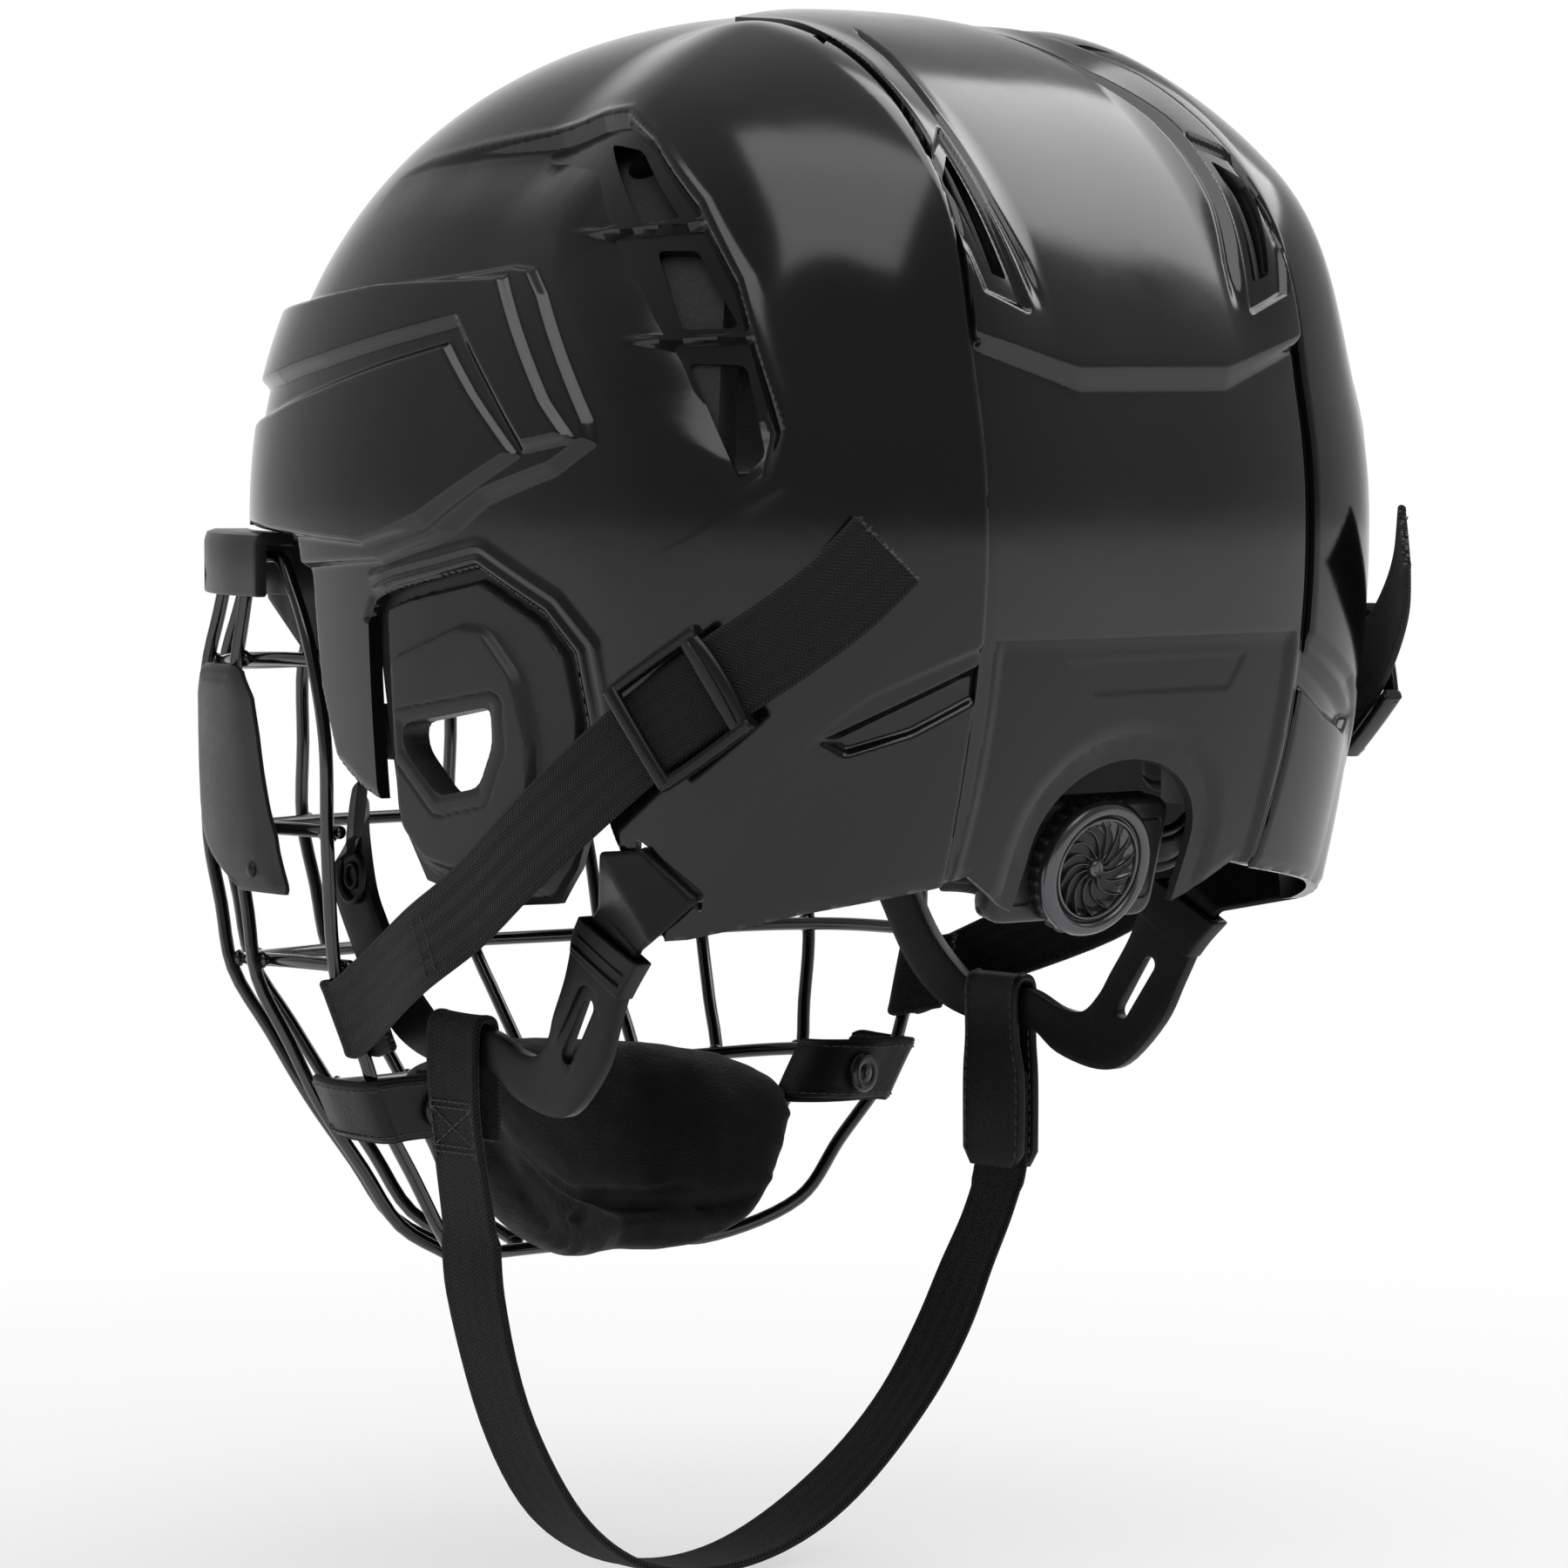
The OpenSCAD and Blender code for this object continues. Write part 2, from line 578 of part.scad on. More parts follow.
module cage_plate() {
  off = -(wire_d / 2 + 1.2);
  rows = [[14, 0.905, 0.975], [8, 0.885, 0.985], [-8, 0.885, 0.99], [-22, 0.90, 0.995],
    [-34, 0.965, 0.997]];
  color(black)
    slab([for (r = rows) [for (j = [0:3]) cage_at(r[1] + (r[2] - r[1]) * j / 3, r[0], off - 0.9)]],
         [for (r = rows) [for (j = [0:3]) cage_at(r[1] + (r[2] - r[1]) * j / 3, r[0], off + 0.7)]]);
}

// Chin cup

// The cup is a padded bowl with a full middle and drawn-in edges, open at the back.
module chin_cup() {
  na = 24;
  nb = 10;
  function at(a, b, o) =
    let (w = 100 * a, e = 5 + 68 * b)
    fit([(54 + o) * sin(w) * cos(e), -62 - (44 + o) * cos(w) * cos(e) + 14 * b * b,
      -64 - (50 + o) * sin(e)]);
  function plump(a, b) =
    let (q = 1 - pow(abs(a), 4), r = 1 - pow(abs(2 * b - 1), 4)) 2.4 + 9.5 * pow(max(0, q * r), 0.5)
      - 1.4 * ss(1 - abs(b - 0.62) / 0.07) * q;
  color(web_black)
    slab([for (i = [0:na]) [for (j = [0:nb]) at(2 * i / na - 1, j / nb, 0)]],
         [for (i = [0:na]) [for (j = [0:nb]) at(2 * i / na - 1, j / nb, -plump(2 * i / na - 1, j / nb))]]);
}

// Middle of the side wire's stretch that a loop of the width w goes round at the height z.
function wire_mid(z, w) = (rim_at(z) * 2 + rim_at(z + w / 2) + rim_at(z - w / 2)) / 4;
function wire_dir(z, w) = unit(rim_at(z + w / 2) - rim_at(z - w / 2));
loop_r = wire_d / 2 + 1.2 + web_t / 2;
tab_z = -81;
tab_w = 15;
tab_snap = [60.5, -50.2];

// Tab of the cup: from the cup's side, behind the side wire, round it and forward outside.
module cup_tab(side) {
  c = wire_mid(tab_z, tab_w);
  w = wire_dir(tab_z, tab_w) * tab_w / 2;
  path = concat([fit([52.25, -64, tab_z]), fit([52.55, -57, tab_z]), fit([55.9, -52, tab_z]),
      [tab_snap[0] * kx, tab_snap[1] * kf, tab_z], c + [-5, 3.6, 0]],
    [for (a = [100:-32:0]) c + loop_r * [cos(a), sin(a), 0]],
    [c + [loop_r + 0.4, -6, 0], c + [loop_r + 0.2, -11, 0], c + [loop_r - 1, -16, 0]]);
  color(web_black)
    mirrored(side)
      band(path, [for (p = path) w], web_t);
}

// Caps of the press studs on the inner face of the tabs.
module cup_snaps() {
  color(steel)
    for (side = [1, -1])
      mirrored(side)
        aim([tab_snap[0] * kx, tab_snap[1] * kf, tab_z] + [0.2, 1, 0] * (web_t / 2 + 0.9), [0.2, 1, 0])
          cylinder(d = 9, h = 1.8, $fn = 24);
}

// Side straps

// Stations of the side strap over the shell, as (u, v, offset).
strap_rise = 4.6;
strap_run = [[86, -46, 4.6], [95, -42.5, 4.6], [104, -37.5, strap_rise], [113, -31.5, strap_rise],
  [121, -25, strap_rise], [128, -19, strap_rise], [134, -13.5, strap_rise + 0.6],
  [139, -8, strap_rise + 2], [143, -2, strap_rise + 3.4]];
function strap_mid(k) = skin(strap_run[k][0], strap_run[k][1], strap_run[k][2]);
// Height of the strap's loop: its upper edge lies just under the crossbar's end.
loop_z = bar_levels[2] + bar_rise - wire_d / 2 - 0.7 - side_web_w / 2;

module side_strap(side) {
  c = wire_mid(loop_z, side_web_w);
  t = wire_dir(loop_z, side_web_w);
  over = [for (k = [0:len(strap_run) - 1]) strap_mid(k)];
  loop = [for (a = [-190:35:20]) c + loop_r * [cos(a), sin(a), 0]];
  path = concat([c + [0.8, 11, 2.2], c + [-0.9, 6, 1.2]], loop, [c + [6.4, 13, 5]], over);
  near = len(loop) + 3;
  color(web_black)
    mirrored(side)
      band(path, [for (i = [0:len(path) - 1]) width_dir(path, i, near, t) * side_web_w / 2], web_t);
}

// Direction across the webbing: along the wire at the loop, square to the run after it.
function width_dir(path, i, near, t) =
  let (n = len(path) - 1,
       d = unit(path[min(i + 1, n)] - path[max(i - 1, 0)]),
       o = unit([path[i][0], path[i][1] * 0.6, 0]),
       w = unit(cross(o, d)),
       s = w[2] < 0 ? -w : w)
  i < near ? t : s;

// Tri-glide buckle: two rails, and two bars over the webbing.
module strap_slider(side) {
  p = (strap_mid(4) + strap_mid(5)) / 2;
  d = unit(strap_mid(5) - strap_mid(4));
  o = unit([p[0], p[1] * 0.6, 0]);
  w = unit(cross(o, d));
  n = cross(d, w);
  s = n * o < 0 ? -1 : 1;
  m = [[d[0], w[0], s * n[0], p[0]], [d[1], w[1], s * n[1], p[1]], [d[2], w[2], s * n[2], p[2]],
    [0, 0, 0, 1]];
  hw = side_web_w / 2 + 0.6;
  rail = 2.6;
  under = web_t / 2 + 0.1;
  lift = web_t / 2 + 0.4;
  color(satin)
    mirrored(side)
      multmatrix(m) {
        for (k = [-1, 1])
          translate([-12.5, k > 0 ? hw : -hw - rail, -under])
            cube([25, rail, under + lift + 2.2]);
        translate([-12.5, -hw - 0.5, lift])
          cube([3, 2 * hw + 1, 2.2]);
        translate([7.5, -hw - 0.5, lift])
          cube([5, 2 * hw + 1, 2.2]);
      }
}

module shell_snap_studs() {
  p = (strap_mid(4) + strap_mid(5)) / 2;
  q = (skin(121, -25, 0) + skin(128, -19, 0)) / 2;
  n = unit([q[0] * pow(abs(q[0] / shell_half_w), 1.2), q[1] * pow(abs(q[1] / shell_rear), 1.2), 0]);
  color(steel)
    for (side = [1, -1])
      mirrored(side)
        aim(q + n * 0.5, n)
          cylinder(d = 9, h = norm(p - q) - web_t / 2 - 1.5, $fn = 24);
}

// Harness, chin strap

bar_z = -64.3;
bar_half = 4;
bar_x = 77.5;

// Front leg from its seat in the temple down to the bar that holds the chin strap:
// places, and half-width vectors across the leg.
leg_front = [[91, -38, -14], [88.2, -44, -16], [82.4, -50.2, -19], [78.3, -57.7, -24.5],
  [77, -58, -33], [77, -52.5, -43],
  [77, -45.5, -53], [77.2, -37.5, -60], [bar_x, -29, bar_z + 0.4], [bar_x, -20, bar_z],
    [bar_x, -9, bar_z - 0.4],
  [77.8, 0, -69], [78.4, 10, -70.5]];
leg_front_w = [[0, 1, 6], [0, 1, 5.5], [0, 2.5, 5.5], [0, 5, 3.8], [0, 6, 1], [0, 4.8, 2.9],
  [0, 4.2, 3.7], [0, 3.2, 4.2], [0, 1.2, bar_half], [0, 0, bar_half], [0, 0, bar_half + 0.2],
  [0, 0.5, 5], [0, -2.4, 6.4]];
// Rear leg from the bar's end up to the mouth of its collar.
leg_rear = [[78.4, 10, -70.5], [79, 15.5, -68], [80, 22.5, -60.3], [81, 27.5, -51.6], [81.8, 31.7, -42.6]];
leg_rear_w = [[0, -2.4, 6.4], [0, -4, 7.4], [0, -7.8, 5.2], [0, -7.8, 4.6], [0, -8.4, 4.4]];
mouth = [82.6, 36.6, -38];
mouth_w = [0, -8.9, 4.2];

module harness(side) {
  color(web_black)
    mirrored(side)
      difference() {
        union() {
          leg_hulls([for (p = leg_front) fit(p)], leg_front_w, harness_t / 2);
          leg_hulls([for (p = leg_rear) fit(p)], leg_rear_w, harness_t / 2);
          leg_hulls([fit([81.4, 30.4, -46]), fit([81.8, 32.6, -42.4]), fit(mouth)],
            [leg_rear_w[3], leg_rear_w[4] * 1.05, mouth_w * 1.07], harness_t / 2 + 1);
        }
        leg_hulls([fit([81.6, 32, -42.8]), fit(mouth + (mouth - [81.6, 32, -42.8]))],
          [strap_w0 * 1.06, strap_w0 * 1.06], strap_t / 2 + 0.3);
        hull()
          for (p = [fit([79.8, 19, -63.4]), fit([80.8, 26.2, -52.8])])
            translate(p)
              rotate([0, 90, 0])
                cylinder(d = 3.8, h = 20, center = true, $fn = 12);
        hull()
          for (p = [fit([79.8 + harness_t, 13.8, -68.6]), fit([80.8 + harness_t, 27, -51.6])])
            translate(p)
              rotate([0, 90, 0])
                cylinder(d = 7.2, h = 2 * harness_t - 1.6, center = true, $fn = 12);
      }
}

// Chain of flat links along the harness; the half-width vector lies in the leg's plane.
module leg_hulls(path, half, t) {
  for (i = [0:len(path) - 2])
    hull_of([for (k = [i, i + 1], s = [-1, 1], x = [-t, t]) path[k] + half[k] * s + [x, 0, 0]]);
}

// Upper strap of the harness: out of the collar, over the shell's edge and in through its slot.
strap_t = 1.6;
strap_w0 = [0, -6.6, 4.3];

module harness_strap(side) {
  slot_a = [118.9, -36.9];
  slot_b = [125.6, -41.1];
  edge_a = [114.2, -37.2];
  edge_b = [120, -44.2];
  function row(o) = [skin(slot_a[0], slot_a[1], o), skin(slot_b[0], slot_b[1], o)];
  function edge(o) = [skin(edge_a[0], edge_a[1], o), skin(edge_b[0], edge_b[1], o)];
  function mid(r) = (r[0] + r[1]) / 2;
  function across(r) = (r[0] - r[1]) / 2;
  color(web_black)
    mirrored(side) {
      leg_hulls([fit([81.9, 33, -41.6]), fit(mouth + [0.5, 2.3, 2.4]), mid(edge(2.1)), mid(row(1.7))],
        [strap_w0, strap_w0, across(edge(2.1)), across(row(1.7))], strap_t / 2);
      hull_of([for (o = [2.3, -6], k = [0, 1], z = [-0.6, 0.5]) row(o)[k] + [0, 0, z]]);
    }
}

strap_y = -20;
// Clearance between the chin strap and the harness bar, to the middle of the webbing
round_bar = harness_t / 2 + 0.3 + web_t / 2;
bar_top = bar_z + bar_half + 1.1 + web_t / 2;

module chin_strap() {
  x = bar_x;
  r = round_bar;
  pts = concat([[x - r, -82], [x - r, bar_top - 2]],
    [[x - r * 0.7, bar_top - 0.2], [x, bar_top + 0.4], [x + r * 0.7, bar_top - 0.2]],
    [[x + r, bar_top - 2], [x + r, -84], [76, -104], [74.5, -118], [65.7, -146], [52.4, -167],
     [38, -177.5], [22, -182], [4, -181.5], [-14, -176], [-32, -165.5], [-49, -150.5], [-60, -136],
     [-67.5, -122.5], [-74, -111], [-x, -101.5], [-x, -80]]);
  color(web_black)
    band([for (q = pts) [q[0] * kx, strap_y * kf, q[1]]], [for (q = pts) [0, chin_web_w / 2, 0]], web_t);
}

// Snap tab on the wearer's right: folded over the harness, its two leaves hold the strap's end.
module snap_tab() {
  x = bar_x;
  r = round_bar;
  n = web_t + 0.5;
  pts = [[-x + n, -99], [-x + n, -80], [-x + r, -72], [-x + r, bar_top - 2], [-x + r * 0.7, bar_top - 0.2],
    [-x, bar_top + 0.4], [-x - r * 0.7, bar_top - 0.2], [-x - r, bar_top - 2], [-x - r, -72],
    [-x - n, -80], [-x - n, -99]];
  color(web_black)
    band([for (q = pts) [q[0] * kx, strap_y * kf, q[1]]],
      [for (q = pts) [0, chin_web_w / 2 + (q[1] < -78 ? 1.2 : 0), 0]], web_t);
}

module snap_button() {
  leaf = (bar_x + web_t + 0.5) * kx;
  color(steel)
    translate([-leaf - web_t / 2 - 0.1, strap_y * kf, -88]) {
      rotate([0, -90, 0])
        difference() {
          cylinder(d = 13, h = 2.4, $fn = 28);
          translate([0, 0, 1.2])
            cylinder(d = 7.4, h = 3, $fn = 24);
        }
      rotate([0, -90, 0])
        cylinder(d = 5, h = 2.2, $fn = 20);
    }
}

// Fit adjuster

dial_tilt = 15;
dial_dir = [0, cos(dial_tilt), -sin(dial_tilt)];
dial_up = [0, sin(dial_tilt), cos(dial_tilt)];
dial_mid = fit([0, 89, -23]);
housing_t = 6.4;
slot_depth = 4.2;
arm_h = 10;
arm_t = 1.6;
arm_z = -8;
arm_x = 66.5;
slide_reach = 8;

// The housing behind the dial takes the ends of both arms in two slots.
module yoke_housing() {
  color(satin)
    aim(dial_mid - dial_dir * gap, -dial_dir)
      difference() {
        hull()
          for (k = [-1, 1], j = [-1, 1])
            translate([j * 9, k * 19 * kx, 0])
              cylinder(d = 8, h = housing_t, $fn = 16);
        for (k = [-1, 1])
          translate([0, k * 23 * kx, slot_depth])
            cube([arm_h + 1, 12 * kx, arm_t + 0.8], center = true);
      }
}

// Arms run level and straight where they pass through their guides.
module yoke_arm(side) {
  root = dial_mid - dial_dir * (gap + slot_depth);
  pts = concat([root + [17.6 * kx, 0, 0], root + [28.6 * kx, 0, 0]],
    [for (q = [[37, 81.6, -19.5], [47, 77.8, -16.4], [56, 73.2, -12.6], [63, 69.4, -9.4],
      [arm_x, 65, arm_z],
      [arm_x, 38, arm_z]]) fit(q)]);
  color(web_black)
    mirrored(side)
      band(pts, [for (i = [0:len(pts) - 1]) (i < 2 ? dial_up : [0, 0, 1]) * arm_h / 2], arm_t);
}

// Guide of an arm: a loop on a foot that follows the foam of the side liner.
module arm_guide(side) {
  ends = [46, 56];
  half_h = arm_h / 2 + 2.2;
  color(satin)
    mirrored(side)
      difference() {
        hull_of(concat(
          [for (y = ends, z = [-1, 1]) [arm_x * kx - arm_t / 2 - 1.7, y * kr, arm_z + z * half_h]],
          [for (u = [118.6, 124.6], z = [-1, 1]) skin0(u, v_at(arm_z + z * half_h), foam_in - gap)]));
        translate([arm_x * kx, 51 * kr, arm_z])
          cube([arm_t + 1, 60, arm_h + 1], center = true);
      }
}

// Pad that bears on the nape, its back along the housing's face.
module nape_pad() {
  color(web_black)
    slab([for (i = [0:12]) [for (j = [0:6]) pad_point(i / 6 - 1, j / 3 - 1, 0)]],
         [for (i = [0:12]) [for (j = [0:6]) pad_point(i / 6 - 1, j / 3 - 1, 1)]]);
}

function pad_point(a, b, side) =
  let (x = 30 * a, f = pow(max(0, (1 - pow(abs(a), 6)) * (1 - pow(abs(b), 4))), 0.5),
       deep = housing_t + 2 * gap + x * x / 300 + (side == 0 ? 0 : 1.4 + 5 * f))
  dial_mid - dial_dir * deep + [x * kx, 0, 0] + dial_up * (11 * b * (1 - 0.2 * a * a));

module fit_dial() {
  r = dial_d / 2;
  color(steel)
    aim(dial_mid, dial_dir) {
      difference() {
        linear_extrude(6)
          polygon([for (i = [0:2 * dial_grips - 1])
            let (w = 180 * i / dial_grips, q = i % 2 == 0 ? r : r - 0.7) q * [cos(w), sin(w)]]);
        translate([0, 0, 3])
          cylinder(r = r - 3, h = 4, $fn = 48);
      }
      translate([0, 0, 2.9])
        cylinder(d = 4.4, h = 2.2, $fn = 20);
      for (i = [0:dial_vanes - 1])
        rotate(360 * i / dial_vanes)
          translate([0, 0, 2.9])
            linear_extrude(1.7)
              polygon([[2.0, -0.35], [5, 0.5], [8, 1.9], [r - 2.8, 4.2], [r - 3.0, 5.0], [7.6, 2.9],
                [4.6, 1.3], [2.0, 0.35]]);
    }
}

// Assembly

front_shell();
rear_shell();
front_liner();
rear_liner();
side_liner(1);  // side_liner_left
side_liner(-1);  // side_liner_right
crown_pad();
brow_pad();
temple_pad(1);  // temple_pad_left
temple_pad(-1);  // temple_pad_right
ear_guard(1);  // ear_guard_left
ear_guard(-1);  // ear_guard_right
cage_clip(1);  // cage_clip_left
cage_clip(-1);  // cage_clip_right
cage_rim();
cage_uprights();
cage_crossbars();
cage_plate();
chin_cup();
cup_tab(1);  // cup_tab_left
cup_tab(-1);  // cup_tab_right
cup_snaps();
side_strap(1);  // side_strap_left
side_strap(-1);  // side_strap_right
strap_slider(1);  // strap_slider_left
strap_slider(-1);  // strap_slider_right
shell_snap_studs();
harness(1);  // harness_left
harness(-1);  // harness_right
harness_strap(1);  // harness_strap_left
harness_strap(-1);  // harness_strap_right
chin_strap();
snap_tab();
snap_button();
yoke_housing();
yoke_arm(1);  // yoke_arm_left
yoke_arm(-1);  // yoke_arm_right
arm_guide(1);  // arm_guide_left
arm_guide(-1);  // arm_guide_right
nape_pad();
fit_dial();
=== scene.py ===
import json
import math

import bmesh
import bpy
import numpy as np
from mathutils import Matrix, Vector
from mathutils.geometry import tessellate_polygon


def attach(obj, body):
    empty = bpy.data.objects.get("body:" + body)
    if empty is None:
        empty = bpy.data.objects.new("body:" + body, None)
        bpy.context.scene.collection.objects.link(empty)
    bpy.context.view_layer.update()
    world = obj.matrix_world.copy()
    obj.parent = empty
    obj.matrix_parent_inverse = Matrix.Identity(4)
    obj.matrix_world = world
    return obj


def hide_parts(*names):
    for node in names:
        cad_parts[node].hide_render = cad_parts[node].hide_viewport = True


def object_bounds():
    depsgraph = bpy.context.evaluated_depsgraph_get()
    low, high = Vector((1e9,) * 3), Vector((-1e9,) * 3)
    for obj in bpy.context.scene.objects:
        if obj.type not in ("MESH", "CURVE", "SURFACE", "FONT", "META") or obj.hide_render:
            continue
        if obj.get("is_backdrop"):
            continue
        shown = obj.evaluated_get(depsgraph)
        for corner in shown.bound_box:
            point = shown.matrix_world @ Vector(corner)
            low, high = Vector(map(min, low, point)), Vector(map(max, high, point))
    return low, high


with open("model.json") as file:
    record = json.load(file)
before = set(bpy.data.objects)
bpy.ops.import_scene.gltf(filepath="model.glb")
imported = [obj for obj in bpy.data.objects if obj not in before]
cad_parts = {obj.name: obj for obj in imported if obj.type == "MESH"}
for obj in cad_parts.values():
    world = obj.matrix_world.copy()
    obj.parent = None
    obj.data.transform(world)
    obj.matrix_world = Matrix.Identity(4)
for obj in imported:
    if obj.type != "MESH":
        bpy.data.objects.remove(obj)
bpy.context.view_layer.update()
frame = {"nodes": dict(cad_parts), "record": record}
NODES = frame["nodes"]

MM = 0.001
DEG = math.pi / 180


# Helmet surface: u is the angle round the head from straight ahead, v the angle up, both in degrees;
# o is an offset outwards. All lengths are in millimetres until a mesh is made.

SHELL_W, SHELL_F, SHELL_R, CROWN = 101.0, 124.0, 114.0, 109.0  # half width, front, rear, height
SIDES = ((1, "left"), (-1, "right"))
WIDEST, TAIL = 46.0, 85.0  # height of the widest level, reach of the skirt below it
WALL, GAP, FACET = 3.0, 0.3, 0.6  # shell wall, clearance between pieces, flatness of the CAD's facets
REAR_OFF = -(WALL + GAP)
REAR_WALL = 2.4
FOAM_OFF = REAR_OFF - REAR_WALL - FACET
FOAM_IN = FOAM_OFF - 16.0
SEAT = -WALL - FACET


def step(t):
    """Smooth step from 0 to 1."""
    t = np.clip(t, 0.0, 1.0)
    return t * t * (3 - 2 * t)


def skin0(u, v, o):
    """Point of the plain helmet surface."""
    u = np.asarray(u, float)
    v = np.asarray(v, float)
    s, c = np.sin(u * DEG), np.cos(u * DEG)
    p = np.where(c > 0, 2.3, 3.2)
    k = (np.abs(s) ** p + np.abs(c) ** p) ** (-1 / p)
    ex, ey = s * k, -c * k
    w = np.maximum(v, 0) * DEG
    cw = np.maximum(np.cos(w), 0) ** 0.90
    sw = np.sin(w) ** 0.94
    q = np.where(v < 0, np.tan(-np.minimum(v, 0) * DEG), 0)
    reach = np.where(ey < 0, SHELL_F, SHELL_R)
    tuck = np.where(ey > 0, 0.20 * q * q * ey * ey, 0)
    x = (SHELL_W + o) * ex * cw * (1 - 0.06 * q * q)
    y = (reach + o) * ey * cw * (1 - tuck)
    z = WIDEST + (CROWN + o) * sw - TAIL * q
    return np.stack(np.broadcast_arrays(x, y, z), -1)


def ridge(p):
    """Height of the two ridges that run back over the crown."""
    x, y, z = np.abs(p[..., 0]), p[..., 1], p[..., 2]
    return 6 * step((x - 24) / 20) * (1 - step((x - 62) / 36)) * step((z - 72) / 45) * step(y / 35)


def skin(u, v, o=0.0):
    """Point of the surface with its ridges."""
    return skin0(u, v, o + ridge(skin0(u, v, 0)))


def v_at(z):
    """Angle v of a level below the widest one."""
    return -math.atan((WIDEST - z) / TAIL) / DEG


# Mesh helpers

def add_object(name, verts, faces, mat, smooth=True, sharp=None, uv=None):
    """Object from places in millimetres; sharp is the angle above which an edge stays hard."""
    mesh = bpy.data.meshes.new(name)
    mesh.from_pydata((np.asarray(verts, float) * MM).tolist(), [], [list(map(int, f)) for f in faces])
    mesh.validate()
    mesh.update()
    obj = bpy.data.objects.new(name, mesh)
    bpy.context.scene.collection.objects.link(obj)
    if uv is not None:
        layer = mesh.uv_layers.new(name="UVMap")
        idx = np.empty(len(mesh.loops), dtype=np.int32)
        mesh.loops.foreach_get("vertex_index", idx)
        layer.data.foreach_set("uv", np.asarray(uv, float)[idx].ravel())
    if mat is not None:
        mesh.materials.append(mat)
    if smooth:
        shade(obj, sharp)
    return obj


def shade(obj, sharp=None):
    mesh = obj.data
    mesh.polygons.foreach_set("use_smooth", [True] * len(mesh.polygons))
    if sharp:
        mesh.set_sharp_from_angle(angle=sharp * DEG)
    mesh.update()


def recalc(obj):
    bm = bmesh.new()
    bm.from_mesh(obj.data)
    bmesh.ops.recalc_face_normals(bm, faces=bm.faces)
    bm.to_mesh(obj.data)
    bm.free()


def grid_faces(ni, nj, base=0, loop_i=False, loop_j=False):
    """Faces over a grid of ni x nj points stored from base on; loop_i and loop_j join its ends."""
    i, j = grid(np.arange(ni if loop_i else ni - 1), np.arange(nj if loop_j else nj - 1))
    i, j = i.ravel(), j.ravel()
    i2, j2 = (i + 1) % ni, (j + 1) % nj
    return np.stack([base + i * nj + j, base + i2 * nj + j, base + i2 * nj + j2, base + i * nj + j2], 1)


def run_lengths(line):
    """Length reached at each point of a line, from 0."""
    return np.r_[0, np.cumsum(np.linalg.norm(np.diff(line, axis=0), axis=1))]


def resample(pts, n):
    pts = np.asarray(pts, float)
    d = run_lengths(pts)
    t = np.linspace(0, d[-1], n)
    return np.stack([np.interp(t, d, pts[:, k]) for k in range(pts.shape[1])], 1)


def corner_curve(a, b, c, r, k):
    """Short curve that stands in for the corner b between a and c."""
    da, dc = np.linalg.norm((a - b)[:3]), np.linalg.norm((c - b)[:3])
    p0, p2 = b + (a - b) * min(0.45, r / da), b + (c - b) * min(0.45, r / dc)
    return [p0 * (1 - t) ** 2 + b * 2 * t * (1 - t) + p2 * t * t for t in np.linspace(0, 1, k)]


def soft_corners(poly, r, k=4):
    """Closed outline with each corner turned into a short curve."""
    p = np.asarray(poly, float)
    corners = zip(np.roll(p, 1, 0), p, np.roll(p, -1, 0))
    return np.array([q for a, b, c in corners for q in corner_curve(a, b, c, r, k)])


def soft_line(line, r, k=4):
    """Open line with each corner turned into a short curve."""
    p = np.asarray(line, float)
    inner = [q for a, b, c in zip(p[:-2], p[1:-1], p[2:]) for q in corner_curve(a, b, c, r, k)]
    return np.array([p[0]] + inner + [p[-1]])


def densify(line, far):
    """Points added to a line until none are much further apart than far."""
    p = np.asarray(line, float)
    out = [p[0]]
    for a, b in zip(p[:-1], p[1:]):
        k = max(1, int(np.linalg.norm((b - a)[:3]) / far))
        out += [a + (b - a) * t for t in np.arange(1, k + 1) / k]
    return np.array(out)


def spline(pts, per, closed=False):
    """Centripetal curve through the points, per places on each stretch."""
    p = np.asarray(pts, float)
    n = len(p)
    if closed:
        p = np.vstack([p[-1], p, p[0], p[1]])
    else:
        p = np.vstack([2 * p[0] - p[1], p, 2 * p[-1] - p[-2]])
    out = []
    for i in range(1, (n + 1) if closed else n):
        a, b, c, d = p[i - 1], p[i], p[i + 1], p[i + 2]
        t0 = 0.0
        t1, t2, t3 = np.cumsum([max(np.linalg.norm(e), 1e-6) ** 0.5 for e in (b - a, c - b, d - c)])
        t = np.linspace(t1, t2, per, endpoint=False)[:, None]
        a1 = (t1 - t) / (t1 - t0) * a + (t - t0) / (t1 - t0) * b
        a2 = (t2 - t) / (t2 - t1) * b + (t - t1) / (t2 - t1) * c
        a3 = (t3 - t) / (t3 - t2) * c + (t - t2) / (t3 - t2) * d
        b1 = (t2 - t) / (t2 - t0) * a1 + (t - t0) / (t2 - t0) * a2
        b2 = (t3 - t) / (t3 - t1) * a2 + (t - t1) / (t3 - t1) * a3
        out.append((t2 - t) / (t2 - t1) * b1 + (t - t1) / (t2 - t1) * b2)
    out = np.vstack(out)
    if not closed:
        out = np.vstack([out, p[-2]])
    return out


def grid(us, vs):
    """Two arrays with every pair of the values us and vs."""
    return np.meshgrid(us, vs, indexing="ij")


def unit(a):
    return a / np.maximum(np.linalg.norm(a, axis=-1, keepdims=True), 1e-9)


def turn(n):
    """n even angles of a full turn, in radians."""
    return np.arange(n) * 2 * math.pi / n


